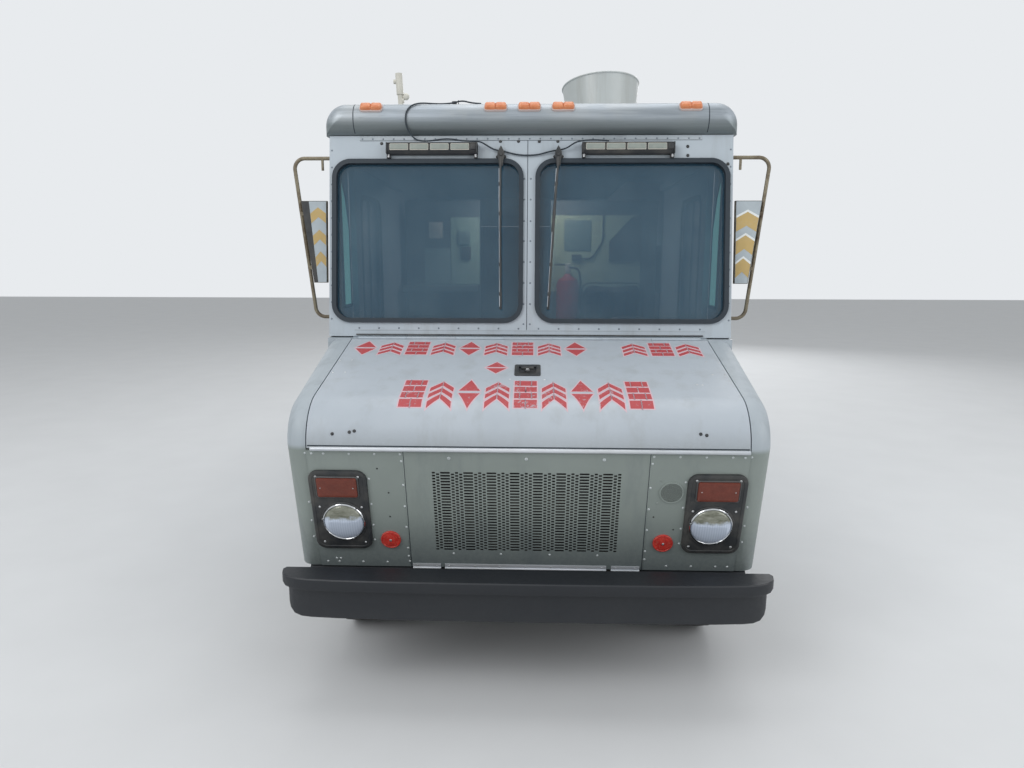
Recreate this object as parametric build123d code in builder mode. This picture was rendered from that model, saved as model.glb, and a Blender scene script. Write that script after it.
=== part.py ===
from build123d import *
from math import atan, cos, radians, sin, tan
import os

# A forward-control walk-in van on a ladder chassis, fitted out as a food truck.
# Millimetres. The front faces -Y, the driver sits at +X, and the ground is Z = 0.
# The origin is on the ground in the middle of the overall length.

os.makedirs("parts", exist_ok=True)

# Overall sizes
OVERALL_LENGTH = 6500
BODY_WIDTH = 2146
ROOF_Z = 2718
WALL = 40
GAP = 0.3
RUNNING_GAP = 8

# Stations along the truck
FRONT_BUMPER_REACH = 130
REAR_BUMPER_REACH = 120
NOSE_Y = -OVERALL_LENGTH / 2 + FRONT_BUMPER_REACH
REAR_Y = OVERALL_LENGTH / 2 - REAR_BUMPER_REACH
FRONT_OVERHANG = 680
WHEELBASE = 3990
FRONT_AXLE_Y = NOSE_Y + FRONT_OVERHANG
REAR_AXLE_Y = FRONT_AXLE_Y + WHEELBASE

# Nose: hood, front panel and rounded corners
BODY_HALF = BODY_WIDTH / 2
NOSE_TAPER = 33
NOSE_HALF = BODY_HALF - NOSE_TAPER
SHOULDER = 95
HOOD_HALF = NOSE_HALF - SHOULDER
HOOD_EDGE_Z = 1110
HOOD_BEND = 210
HOOD_SLOPE = 14.7
COWL_SETBACK = 834
PANEL_LEAN = 14.1
PANEL_BOTTOM_Z = 510
PANEL_THICK = 25
NOSE_CORNER = 60
SKIRT_Z = 400
COWL_Y = NOSE_Y + COWL_SETBACK

# Windshield wall, leaning back
SHIELD_LEAN = 8.79
SHIELD_SETBACK = 27
SHIELD_THICK = 45
EAVES_Z = 2555
GLASS_INNER_X = 55
GLASS_OUTER_X = 1033
GLASS_LOW = 105
GLASS_HIGH = 929
GLASS_CORNER = 75
GLASS_THICK = 6
GASKET_LIP = 24
GASKET_PROUD = 12

# Roof and its front cap
ROOF_OVERHANG = 5
ROOF_EDGE = 116
ROOF_THICK = 45
CAP_LENGTH = 455
CAP_PROUD = 55
CAP_OVERHANG = 20
CAP_ROUND = 80
CAP_TUCK = 75

# Tyres and wheels
TYRE_RADIUS = 375
TYRE_HALF = 107
RIM_RADIUS = 208
RIM_HALF = 88
RIM_FLANGE = 16
RIM_WALL = 10
DISH = 127
FRONT_WHEEL_X = 840
REAR_WHEEL_X = 922
TWIN_SPACING = 2 * DISH
KINGPIN_X = FRONT_WHEEL_X - 125
FRONT_ARCH = TYRE_RADIUS + 85
REAR_ARCH = TYRE_RADIUS + 45
WHEEL_Z = TYRE_RADIUS

# Ladder frame, carried over the axles
RAIL_HALF = 432
RAIL_HEIGHT = 200
RAIL_FLANGE = 70
RAIL_PLATE = 8
RAIL_Z = WHEEL_Z + 155
RAIL_LOW_Z = RAIL_Z - RAIL_HEIGHT / 2
RAIL_HIGH_Z = RAIL_Z + RAIL_HEIGHT / 2

# Floor, on sills over the frame
FLOOR_THICK = 60
SILL_HEIGHT = 70
FLOOR_Z = RAIL_HIGH_Z + SILL_HEIGHT + FLOOR_THICK
FLOOR_FRONT_SETBACK = 1120
TOE_BOARD_Z = 1180

# Cab doors slide to the rear inside the walls
DOOR_SETBACK = 1220
DOOR_WIDTH = 750
DOOR_HIGH_Z = 2400
STEP_Z = 450
DOOR_THICK = 35
DOOR_LAP = 20
DOOR_TRAVEL = 730

# Serving window on the kerb side
HATCH_SETBACK = 3000
HATCH_LENGTH = 1700
HATCH_LOW_Z = 1290
HATCH_HIGH_Z = 2150
SHELF_DEPTH = 330
SHELF_THICK = 28

# Rear doorway
REAR_OPENING_HALF = BODY_HALF - 383
REAR_OPENING_HIGH_Z = 2330
REAR_DOOR_THICK = 36

# Places that follow from those sizes
SIN_SLOPE = sin(radians(HOOD_SLOPE))
COS_SLOPE = cos(radians(HOOD_SLOPE))
KNEE_Y = NOSE_Y + HOOD_BEND * (1 - SIN_SLOPE)
KNEE_Z = HOOD_EDGE_Z + HOOD_BEND * COS_SLOPE
COWL_Z = KNEE_Z + (COWL_Y - KNEE_Y) * tan(radians(HOOD_SLOPE))
SHIELD_Y = COWL_Y + SHIELD_SETBACK
SHIELD_TOP = (EAVES_Z - COWL_Z) / cos(radians(SHIELD_LEAN))
SHIELD_LOW = SHIELD_THICK * tan(radians(SHIELD_LEAN)) + GAP
PANEL_BOTTOM_Y = NOSE_Y + (HOOD_EDGE_Z - PANEL_BOTTOM_Z) * tan(radians(PANEL_LEAN))
DOOR_Y0 = NOSE_Y + DOOR_SETBACK
DOOR_Y1 = DOOR_Y0 + DOOR_WIDTH
HATCH_Y0 = NOSE_Y + HATCH_SETBACK
HATCH_Y1 = HATCH_Y0 + HATCH_LENGTH
FLOOR_FRONT_Y = NOSE_Y + FLOOR_FRONT_SETBACK
FENDER_REAR_Y = DOOR_Y0 - 30
SIDES = (("left", 1), ("right", -1))

shield_plane = Plane(
    origin=(0, SHIELD_Y, COWL_Z),
    x_dir=(1, 0, 0),
    z_dir=(0, -cos(radians(SHIELD_LEAN)), sin(radians(SHIELD_LEAN))),
)
panel_plane = Plane(
    origin=(0, NOSE_Y, HOOD_EDGE_Z),
    x_dir=(1, 0, 0),
    z_dir=(0, -cos(radians(PANEL_LEAN)), -sin(radians(PANEL_LEAN))),
)


def save(built, node):
    """Label a finished piece and write it as one STEP file."""
    built.part.label = node
    export_step(built.part, f"parts/{node}.step")


def block(x, y, z, mode=Mode.ADD):
    """A box from its lowest and highest x, y and z, in the open part."""
    centre = ((x[0] + x[1]) / 2, (y[0] + y[1]) / 2, (z[0] + z[1]) / 2)
    with Locations(centre):
        Box(abs(x[1] - x[0]), abs(y[1] - y[0]), abs(z[1] - z[0]), mode=mode)


def drum(x, y, z, radius, mode=Mode.ADD):
    """A round bar along X from x[0] to x[1], in the open part."""
    with Locations(Plane(origin=((x[0] + x[1]) / 2, y, z), z_dir=(1, 0, 0))):
        Cylinder(radius, abs(x[1] - x[0]), mode=mode)


def wheel_plane(x, y, side):
    """A plane through a wheel's axis, with outboard as its x and up as its y."""
    return Plane(origin=(x, y, WHEEL_Z), x_dir=(side, 0, 0), z_dir=(0, -side, 0))


# Hinges: barrels in a row on one pin, every second one on the moving piece
BARREL_RADIUS = 7
PIN_RADIUS = 3
BARRELS = 7


def hinge_barrels(start, length, direction, moving):
    """One half of a piano hinge: its barrels, with the pin on the fixed half."""
    step = length / BARRELS
    for place in range(BARRELS):
        if (place % 2 == 1) == moving:
            middle = Vector(*start) + Vector(*direction) * (place + 0.5) * step
            with Locations(Plane(origin=middle, z_dir=direction)):
                Cylinder(BARREL_RADIUS, step - 2)
                if moving:
                    Cylinder(PIN_RADIUS + GAP, step + 2, mode=Mode.SUBTRACT)
    if not moving:
        middle = Vector(*start) + Vector(*direction) * length / 2
        with Locations(Plane(origin=middle, z_dir=direction)):
            Cylinder(PIN_RADIUS, length - 2)


# Ladder frame: two channel rails, cross-members and the brackets of both bumpers
RAIL_FRONT_Y = NOSE_Y + 200
RAIL_REAR_Y = REAR_Y - 60
CROSS_MEMBERS = (
    RAIL_FRONT_Y + 48,
    FRONT_AXLE_Y + 0.195 * WHEELBASE,
    FRONT_AXLE_Y + 0.39 * WHEELBASE,
    FRONT_AXLE_Y + 0.615 * WHEELBASE,
    FRONT_AXLE_Y + 0.78 * WHEELBASE,
    REAR_AXLE_Y + 680,
    RAIL_REAR_Y - 120,
)
CROSS_WIDTH = 60
CROSS_HEIGHT = 120
BUMPER_PLATE = 10
BUMPER_ARM_LOW = RAIL_LOW_Z
BUMPER_ARM_HIGH = RAIL_LOW_Z + 70
SHAFT_RADIUS = 40
SHAFT_Z = WHEEL_Z + 90

# Leaf springs: where each pack sits and where its eyes are
FRONT_SPRING_X = 396
FRONT_SPRING_SPAN = 560
FRONT_SEAT_Z = WHEEL_Z - 32
REAR_SPRING_X = 490
REAR_SPRING_SPAN = 660
REAR_SEAT_Z = WHEEL_Z + 62
LEAF_CAMBER = 47
LEAF_PACK = 50
LEAF_WIDTH = 64
EYE = 26
SPRING_PIN = 12

with BuildPart() as chassis_frame:
    for name, side in SIDES:
        with BuildSketch(Plane.XZ.offset(-RAIL_FRONT_Y)):
            with Locations((side * (RAIL_HALF - RAIL_FLANGE / 2), RAIL_Z)):
                Rectangle(RAIL_FLANGE, RAIL_HEIGHT)
            with Locations((side * (RAIL_HALF - RAIL_FLANGE / 2 - RAIL_PLATE), RAIL_Z)):
                Rectangle(RAIL_FLANGE, RAIL_HEIGHT - 2 * RAIL_PLATE, mode=Mode.SUBTRACT)
        extrude(amount=-(RAIL_REAR_Y - RAIL_FRONT_Y))
    for y in CROSS_MEMBERS:
        reach = RAIL_HALF - RAIL_PLATE
        block((-reach, reach), (y - CROSS_WIDTH / 2, y + CROSS_WIDTH / 2),
              (RAIL_Z - CROSS_HEIGHT / 2, RAIL_Z + CROSS_HEIGHT / 2))
    with Locations(Plane(origin=(0, (FRONT_AXLE_Y + REAR_AXLE_Y) / 2, SHAFT_Z), z_dir=(0, 1, 0))):
        Cylinder(SHAFT_RADIUS + 15, WHEELBASE, mode=Mode.SUBTRACT)
    for name, side in SIDES:
        rail = (side * (RAIL_HALF - RAIL_FLANGE), side * RAIL_HALF)
        block(rail, (NOSE_Y - FRONT_BUMPER_REACH + BUMPER_PLATE + GAP, RAIL_FRONT_Y),
              (BUMPER_ARM_LOW, BUMPER_ARM_HIGH))
        block(rail, (RAIL_REAR_Y, REAR_Y + REAR_BUMPER_REACH - BUMPER_PLATE - GAP),
              (BUMPER_ARM_LOW, BUMPER_ARM_HIGH))
        for end in (-1, 1):
            y = FRONT_AXLE_Y + end * FRONT_SPRING_SPAN
            block((side * FRONT_SPRING_X - 32, side * FRONT_SPRING_X + 32), (y - 30, y + 30),
                  (FRONT_SEAT_Z + LEAF_CAMBER + EYE + GAP, RAIL_LOW_Z))
            y = REAR_AXLE_Y + end * REAR_SPRING_SPAN
            drum((side * (RAIL_HALF - RAIL_PLATE), side * (REAR_SPRING_X + 40)), y,
                 REAR_SEAT_Z + LEAF_CAMBER, SPRING_PIN)
save(chassis_frame, "chassis_frame")

# Leaf springs: a bowed pack of leaves with an eye at each end
SPRINGS = (
    # axle y, x, half span, seat z
    (FRONT_AXLE_Y, FRONT_SPRING_X, FRONT_SPRING_SPAN, FRONT_SEAT_Z),
    (REAR_AXLE_Y, REAR_SPRING_X, REAR_SPRING_SPAN, REAR_SEAT_Z),
)

with BuildPart() as leaf_springs:
    for axle_y, x, span, seat_z in SPRINGS:
        for name, side in SIDES:
            with BuildSketch(Plane.YZ.offset(side * x - LEAF_WIDTH / 2)):
                eye_z = seat_z + LEAF_CAMBER
                with BuildLine():
                    low = ThreePointArc((axle_y - span, eye_z - 8), (axle_y, seat_z + GAP),
                                        (axle_y + span, eye_z - 8))
                    high = ThreePointArc((axle_y - span, eye_z + 8), (axle_y, seat_z + LEAF_PACK),
                                         (axle_y + span, eye_z + 8))
                    Line(low @ 0, high @ 0)
                    Line(low @ 1, high @ 1)
                make_face()
                with Locations((axle_y - span, eye_z), (axle_y + span, eye_z)):
                    Circle(EYE)
                with Locations((axle_y - span, eye_z), (axle_y + span, eye_z)):
                    Circle(SPRING_PIN + GAP, mode=Mode.SUBTRACT)
            extrude(amount=LEAF_WIDTH)
save(leaf_springs, "leaf_springs")

# Front axle: a dropped beam with a bored boss for each kingpin
BEAM_DROP = 70
BEAM_HALF = 38
BEAM_DEPTH = 90
BOSS_RADIUS = 38
BOSS_HALF = 55
KINGPIN_RADIUS = 17

with BuildPart() as front_axle:
    with BuildSketch(Plane.XZ.offset(-(FRONT_AXLE_Y + BEAM_DEPTH / 2))):
        with BuildLine():
            Polyline(
                (-KINGPIN_X, WHEEL_Z - BEAM_HALF),
                (-KINGPIN_X + 48, WHEEL_Z - BEAM_HALF),
                (-KINGPIN_X + 150, WHEEL_Z - BEAM_HALF - BEAM_DROP),
                (KINGPIN_X - 150, WHEEL_Z - BEAM_HALF - BEAM_DROP),
                (KINGPIN_X - 48, WHEEL_Z - BEAM_HALF),
                (KINGPIN_X, WHEEL_Z - BEAM_HALF),
                (KINGPIN_X, WHEEL_Z + BEAM_HALF),
                (KINGPIN_X - 60, WHEEL_Z + BEAM_HALF),
                (KINGPIN_X - 170, WHEEL_Z + BEAM_HALF - BEAM_DROP),
                (-KINGPIN_X + 170, WHEEL_Z + BEAM_HALF - BEAM_DROP),
                (-KINGPIN_X + 60, WHEEL_Z + BEAM_HALF),
                (-KINGPIN_X, WHEEL_Z + BEAM_HALF),
                close=True,
            )
        make_face()
    extrude(amount=BEAM_DEPTH)
    for name, side in SIDES:
        with Locations((side * KINGPIN_X, FRONT_AXLE_Y, WHEEL_Z)):
            Cylinder(BOSS_RADIUS, 2 * BOSS_HALF)
        block((side * FRONT_SPRING_X - 32, side * FRONT_SPRING_X + 32),
              (FRONT_AXLE_Y - 60, FRONT_AXLE_Y + 60), (WHEEL_Z - 60, FRONT_SEAT_Z))
    for name, side in SIDES:
        with Locations((side * KINGPIN_X, FRONT_AXLE_Y, WHEEL_Z)):
            Cylinder(KINGPIN_RADIUS + GAP, 4 * BOSS_HALF, mode=Mode.SUBTRACT)
save(front_axle, "front_axle")

# Steering knuckles: a fork round the boss, the spindle and the steering arm
LUG_GAP = 1
LUG_THICK = 24
SPINDLE_RADIUS = 24
FORK_X = KINGPIN_X + BOSS_RADIUS + RUNNING_GAP
ARM_REACH = 160
ARM_Z = WHEEL_Z - BOSS_HALF - LUG_GAP - LUG_THICK / 2
BALL_RADIUS = 9

for name, side in SIDES:
    with BuildPart() as knuckle:
        for up in (1, -1):
            z = WHEEL_Z + up * (BOSS_HALF + LUG_GAP + LUG_THICK / 2)
            with Locations((side * KINGPIN_X, FRONT_AXLE_Y, z)):
                Cylinder(BOSS_RADIUS, LUG_THICK)
            block((side * KINGPIN_X, side * (FORK_X + 20)),
                  (FRONT_AXLE_Y - 32, FRONT_AXLE_Y + 32), (z - LUG_THICK / 2, z + LUG_THICK / 2))
        with Locations((side * KINGPIN_X, FRONT_AXLE_Y, WHEEL_Z)):
            Cylinder(KINGPIN_RADIUS, 2 * (BOSS_HALF + LUG_THICK))
        block((side * FORK_X, side * (FORK_X + 20)), (FRONT_AXLE_Y - 32, FRONT_AXLE_Y + 32),
              (WHEEL_Z - BOSS_HALF - LUG_THICK, WHEEL_Z + BOSS_HALF + LUG_THICK))
        drum((side * FORK_X, side * (FRONT_WHEEL_X + DISH + 6)), FRONT_AXLE_Y, WHEEL_Z,
             SPINDLE_RADIUS)
        block((side * (KINGPIN_X - 18), side * (KINGPIN_X + 18)),
              (FRONT_AXLE_Y, FRONT_AXLE_Y + ARM_REACH), (ARM_Z - 11, ARM_Z + 11))
        with Locations((side * KINGPIN_X, FRONT_AXLE_Y + ARM_REACH, ARM_Z)):
            Cylinder(20, 22)
        with Locations((side * KINGPIN_X, FRONT_AXLE_Y + ARM_REACH, ARM_Z - 26)):
            Cylinder(BALL_RADIUS, 40)
    save(knuckle, f"steering_knuckle_{name}")

# Tie rod between the two steering arms
TIE_Z = ARM_Z - 11 - 1 - 15
with BuildPart() as tie_rod:
    for name, side in SIDES:
        with Locations((side * KINGPIN_X, FRONT_AXLE_Y + ARM_REACH, TIE_Z)):
            Cylinder(22, 28)
    drum((-KINGPIN_X, KINGPIN_X), FRONT_AXLE_Y + ARM_REACH, TIE_Z, 13)
    for name, side in SIDES:
        with Locations((side * KINGPIN_X, FRONT_AXLE_Y + ARM_REACH, TIE_Z)):
            Cylinder(BALL_RADIUS + GAP, 60, mode=Mode.SUBTRACT)
save(tie_rod, "tie_rod")

# Rear axle: round housing with a differential, a spring seat and a brake plate each side
HOUSING_RADIUS = 52
DIFFERENTIAL_RADIUS = 165
BRAKE_RADIUS = 172
PLATE_X = REAR_WHEEL_X - TWIN_SPACING / 2 - 195
with BuildPart() as rear_axle:
    drum((-PLATE_X, PLATE_X), REAR_AXLE_Y, WHEEL_Z, HOUSING_RADIUS)
    with Locations((0, REAR_AXLE_Y, WHEEL_Z)):
        Sphere(DIFFERENTIAL_RADIUS)
    with Locations(Plane(origin=(0, REAR_AXLE_Y - DIFFERENTIAL_RADIUS, SHAFT_Z - 20), z_dir=(0, 1, 0))):
        Cone(60, 100, 170)
    for name, side in SIDES:
        drum((side * (PLATE_X - 12), side * PLATE_X), REAR_AXLE_Y, WHEEL_Z, BRAKE_RADIUS)
        block((side * REAR_SPRING_X - 36, side * REAR_SPRING_X + 36),
              (REAR_AXLE_Y - 60, REAR_AXLE_Y + 60), (WHEEL_Z, REAR_SEAT_Z))
        drum((side * PLATE_X, side * (REAR_WHEEL_X - 60)), REAR_AXLE_Y, WHEEL_Z, 30)
save(rear_axle, "rear_axle")

# Tyres: one ring on each rim, seated between its flanges
TYRES = (
    # node, places along x, axle y
    ("front_tyre", (FRONT_WHEEL_X,), FRONT_AXLE_Y),
    ("rear_tyres", (REAR_WHEEL_X, REAR_WHEEL_X - TWIN_SPACING), REAR_AXLE_Y),
)
BEAD_HALF = RIM_HALF - 8

for node, places, y in TYRES:
    for name, side in SIDES:
        with BuildPart() as tyres:
            for x in places:
                with BuildSketch(wheel_plane(side * x, y, side)):
                    with BuildLine():
                        Polyline(
                            (-BEAD_HALF, RIM_RADIUS),
                            (-BEAD_HALF, RIM_RADIUS + RIM_FLANGE),
                            (-TYRE_HALF + 4, RIM_RADIUS + 45),
                            (-TYRE_HALF, RIM_RADIUS + 85),
                            (-TYRE_HALF + 8, TYRE_RADIUS - 30),
                            (-TYRE_HALF + 30, TYRE_RADIUS),
                            (TYRE_HALF - 30, TYRE_RADIUS),
                            (TYRE_HALF - 8, TYRE_RADIUS - 30),
                            (TYRE_HALF, RIM_RADIUS + 85),
                            (TYRE_HALF - 4, RIM_RADIUS + 45),
                            (BEAD_HALF, RIM_RADIUS + RIM_FLANGE),
                            (BEAD_HALF, RIM_RADIUS),
                            close=True,
                        )
                    make_face()
                revolve(axis=Axis((side * x, y, WHEEL_Z), (1, 0, 0)))
        save(tyres, f"{node}_{name}")


def rim_profile(x, y, side, dish):
    """Half section of a steel wheel: barrel, two flanges and a dished centre."""
    flip = 1 if dish > 0 else -1
    with BuildSketch(wheel_plane(x, y, side)) as profile:
        with Locations((0, RIM_RADIUS - RIM_WALL / 2)):
            Rectangle(2 * RIM_HALF, RIM_WALL)
        for end in (-1, 1):
            with Locations((end * (RIM_HALF - 4), RIM_RADIUS + RIM_FLANGE / 2 - RIM_WALL / 2)):
                Rectangle(8, RIM_FLANGE + RIM_WALL)
        with BuildLine():
            Polyline(
                (flip * 20, RIM_RADIUS - RIM_WALL + 1),
                (flip * (DISH - 45), 150),
                (flip * (DISH - 12), 126),
                (flip * (DISH - 12), 60),
                (flip * DISH, 60),
                (flip * DISH, 132),
                (flip * (DISH - 33), 158),
                (flip * 36, RIM_RADIUS - RIM_WALL + 1),
                close=True,
            )
        make_face()
    return profile.sketch


HAND_HOLES = 8
HAND_HOLE_RADIUS = 21
HAND_HOLE_CIRCLE = 152
HUB_RADIUS = 70

# Front wheels: dished outwards, with the hub that runs on the spindle
for name, side in SIDES:
    x = side * FRONT_WHEEL_X
    axis = Axis((x, FRONT_AXLE_Y, WHEEL_Z), (1, 0, 0))
    with BuildPart() as front_wheel:
        revolve(rim_profile(x, FRONT_AXLE_Y, side, DISH), axis=axis)
        with Locations(Plane(origin=(x + side * (DISH - 40), FRONT_AXLE_Y, WHEEL_Z), z_dir=(1, 0, 0))):
            with PolarLocations(HAND_HOLE_CIRCLE, HAND_HOLES):
                Cylinder(HAND_HOLE_RADIUS, 160, mode=Mode.SUBTRACT)
        drum((x - side * 30, x + side * (DISH + 50)), FRONT_AXLE_Y, WHEEL_Z, HUB_RADIUS)
        drum((x - side * 30, x + side * 30), FRONT_AXLE_Y, WHEEL_Z, 150)
        drum((x - side * 31, x + side * (DISH + 12)), FRONT_AXLE_Y, WHEEL_Z, SPINDLE_RADIUS + GAP,
             mode=Mode.SUBTRACT)
    save(front_wheel, f"front_wheel_{name}")

# Rear twin wheels: two dished wheels back to back on one hub and brake drum
for name, side in SIDES:
    outer = side * REAR_WHEEL_X
    inner = side * (REAR_WHEEL_X - TWIN_SPACING)
    middle = side * (REAR_WHEEL_X - DISH)
    axis = Axis((outer, REAR_AXLE_Y, WHEEL_Z), (1, 0, 0))
    with BuildPart() as rear_wheels:
        revolve(rim_profile(outer, REAR_AXLE_Y, side, -DISH), axis=axis)
        revolve(rim_profile(inner, REAR_AXLE_Y, side, DISH), axis=axis)
        with Locations(Plane(origin=(middle, REAR_AXLE_Y, WHEEL_Z), z_dir=(1, 0, 0))):
            with PolarLocations(HAND_HOLE_CIRCLE, HAND_HOLES):
                Cylinder(HAND_HOLE_RADIUS, 200, mode=Mode.SUBTRACT)
        drum((side * (PLATE_X + 8), middle), REAR_AXLE_Y, WHEEL_Z, BRAKE_RADIUS - 44)
        drum((middle - side * 20, outer + side * 20), REAR_AXLE_Y, WHEEL_Z, HUB_RADIUS)
        drum((side * PLATE_X, outer - side * 50), REAR_AXLE_Y, WHEEL_Z, 30 + GAP,
             mode=Mode.SUBTRACT)
    save(rear_wheels, f"rear_wheels_{name}")

# Engine, drive line, tank and silencer
ENGINE_REAR_Y = FLOOR_FRONT_Y - 40
ENGINE_HALF = 270
ENGINE_HIGH_Z = 1080
with BuildPart() as engine:
    block((-ENGINE_HALF, ENGINE_HALF), (FRONT_AXLE_Y - 260, ENGINE_REAR_Y),
          (WHEEL_Z + 100, ENGINE_HIGH_Z))
save(engine, "engine")

NOSE_LENGTH = 250
with BuildPart() as drive_shaft:
    shaft_y = (ENGINE_REAR_Y + GAP, REAR_AXLE_Y - NOSE_LENGTH - GAP)
    with Locations(Plane(origin=(0, sum(shaft_y) / 2, SHAFT_Z), z_dir=(0, 1, 0))):
        Cylinder(SHAFT_RADIUS, shaft_y[1] - shaft_y[0])
save(drive_shaft, "drive_shaft")

TANK_LENGTH = 900
TANK_WIDTH = 420
TANK_Y0 = DOOR_Y1 + 250
with BuildPart() as fuel_tank:
    block((RAIL_HALF + GAP, RAIL_HALF + TANK_WIDTH), (TANK_Y0, TANK_Y0 + TANK_LENGTH),
          (RAIL_Z - 120, RAIL_Z + 95))
    fillet(fuel_tank.edges().filter_by(Axis.Y), 40)
save(fuel_tank, "fuel_tank")

SILENCER_X = -RAIL_HALF - 130
SILENCER_Y = DOOR_Y1 + 700
SILENCER_Z = RAIL_Z - 30
SILENCER_RADIUS = 105
SILENCER_LENGTH = 700
PIPE_RADIUS = 28
PIPE_Y0 = DOOR_Y1 + 30
TAIL_Z = SKIRT_Z - 70
with BuildPart() as exhaust:
    with Locations(Plane(origin=(SILENCER_X, SILENCER_Y, SILENCER_Z), z_dir=(0, 1, 0))):
        Cylinder(SILENCER_RADIUS, SILENCER_LENGTH)
    block((SILENCER_X, -RAIL_HALF - GAP), (SILENCER_Y - 20, SILENCER_Y + 20),
          (SILENCER_Z - 30, SILENCER_Z + 30))
    with Locations(Plane(origin=(SILENCER_X, PIPE_Y0, SILENCER_Z), z_dir=(0, 1, 0))):
        Cylinder(PIPE_RADIUS, SILENCER_Y - PIPE_Y0, align=(Align.CENTER, Align.CENTER, Align.MIN))
    with BuildLine() as tail:
        FilletPolyline((SILENCER_X, SILENCER_Y + 300, SILENCER_Z), (SILENCER_X, SILENCER_Y + 450, SILENCER_Z),
                       (SILENCER_X - 100, SILENCER_Y + 600, TAIL_Z),
                       (-BODY_HALF - 10, SILENCER_Y + 700, TAIL_Z), radius=70)
    with BuildSketch(Plane(origin=tail.line @ 0, z_dir=tail.line % 0)):
        Circle(PIPE_RADIUS)
    sweep()
save(exhaust, "exhaust")

# Floor: deck, cross sills, step wells with their treads, wheel boxes and toe board
DECK_HALF = BODY_HALF - WALL - GAP
NARROW_HALF = BODY_HALF - WALL - RUNNING_GAP - DOOR_THICK - RUNNING_GAP
WELL_DEPTH = 230
TREAD_THICK = 30
BOX_WALL = 14
BOX_TOP = WHEEL_Z + REAR_ARCH + BOX_WALL
BOX_INNER_X = REAR_WHEEL_X - TWIN_SPACING - TYRE_HALF - 35
POCKET_END_Y = DOOR_Y1 + DOOR_TRAVEL + DOOR_LAP + 40
with BuildPart() as floor:
    block((-NARROW_HALF, NARROW_HALF), (FLOOR_FRONT_Y, POCKET_END_Y), (FLOOR_Z - FLOOR_THICK, FLOOR_Z))
    block((-DECK_HALF, DECK_HALF), (POCKET_END_Y, REAR_Y - WALL - GAP),
          (FLOOR_Z - FLOOR_THICK, FLOOR_Z))
    block((-NARROW_HALF, NARROW_HALF), (FLOOR_FRONT_Y, FLOOR_FRONT_Y + BOX_WALL),
          (FLOOR_Z, TOE_BOARD_Z))
    for side in (1, -1):
        well = (side * (NARROW_HALF - WELL_DEPTH), side * NARROW_HALF)
        block(well, (DOOR_Y0, DOOR_Y1), (FLOOR_Z - FLOOR_THICK, FLOOR_Z), mode=Mode.SUBTRACT)
        block((well[0] - side * BOX_WALL, well[1]), (DOOR_Y0 - BOX_WALL, DOOR_Y1 + BOX_WALL),
              (STEP_Z - TREAD_THICK, STEP_Z))
        block((well[0] - side * BOX_WALL, well[0]), (DOOR_Y0 - BOX_WALL, DOOR_Y1 + BOX_WALL),
              (STEP_Z, FLOOR_Z))
        for y in (DOOR_Y0 - BOX_WALL, DOOR_Y1):
            block(well, (y, y + BOX_WALL), (STEP_Z, FLOOR_Z))
        box_x = (side * BOX_INNER_X, side * DECK_HALF)
        box_y = (REAR_AXLE_Y - REAR_ARCH - BOX_WALL, REAR_AXLE_Y + REAR_ARCH + BOX_WALL)
        block(box_x, box_y, (FLOOR_Z - FLOOR_THICK, BOX_TOP))
        block((box_x[0] + side * BOX_WALL, box_x[1]), (box_y[0] + BOX_WALL, box_y[1] - BOX_WALL),
              (FLOOR_Z - FLOOR_THICK, BOX_TOP - BOX_WALL), mode=Mode.SUBTRACT)
    for y in range(int(POCKET_END_Y) + 60, int(REAR_AXLE_Y - REAR_ARCH) - 60, 500):
        block((-DECK_HALF, DECK_HALF), (y, y + 50), (RAIL_HIGH_Z, FLOOR_Z - FLOOR_THICK))
    for y in (FLOOR_FRONT_Y + 60, DOOR_Y1 + 60):
        block((-RAIL_HALF, RAIL_HALF), (y, y + 50), (RAIL_HIGH_Z, FLOOR_Z - FLOOR_THICK))
    block((-DECK_HALF, DECK_HALF), (REAR_Y - WALL - 80, REAR_Y - WALL - 30),
          (RAIL_HIGH_Z, FLOOR_Z - FLOOR_THICK))
save(floor, "floor")


def lean_y(z):
    """Y of the windshield wall's front face at a height."""
    return SHIELD_Y + (z - COWL_Z) * tan(radians(SHIELD_LEAN))


SHIELD_BACK = SHIELD_THICK / cos(radians(SHIELD_LEAN))
DOOR_OPENING_LOW_Z = STEP_Z + 20

# Windshield wall with two rounded openings
HALF_GLASS = (GLASS_OUTER_X - GLASS_INNER_X) / 2
GLASS_X = (GLASS_OUTER_X + GLASS_INNER_X) / 2
GLASS_V = (GLASS_LOW + GLASS_HIGH) / 2
GLASS_V_HALF = (GLASS_HIGH - GLASS_LOW) / 2
LIP_HALF = GASKET_LIP / 2

with BuildPart() as windshield_glass:
    with BuildSketch(shield_plane.offset(-SHIELD_THICK / 2 + GLASS_THICK / 2)):
        with Locations((-GLASS_X, GLASS_V), (GLASS_X, GLASS_V)):
            RectangleRounded(2 * HALF_GLASS, 2 * GLASS_V_HALF, GLASS_CORNER)
    extrude(amount=-GLASS_THICK)
save(windshield_glass, "windshield_glass")

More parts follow.
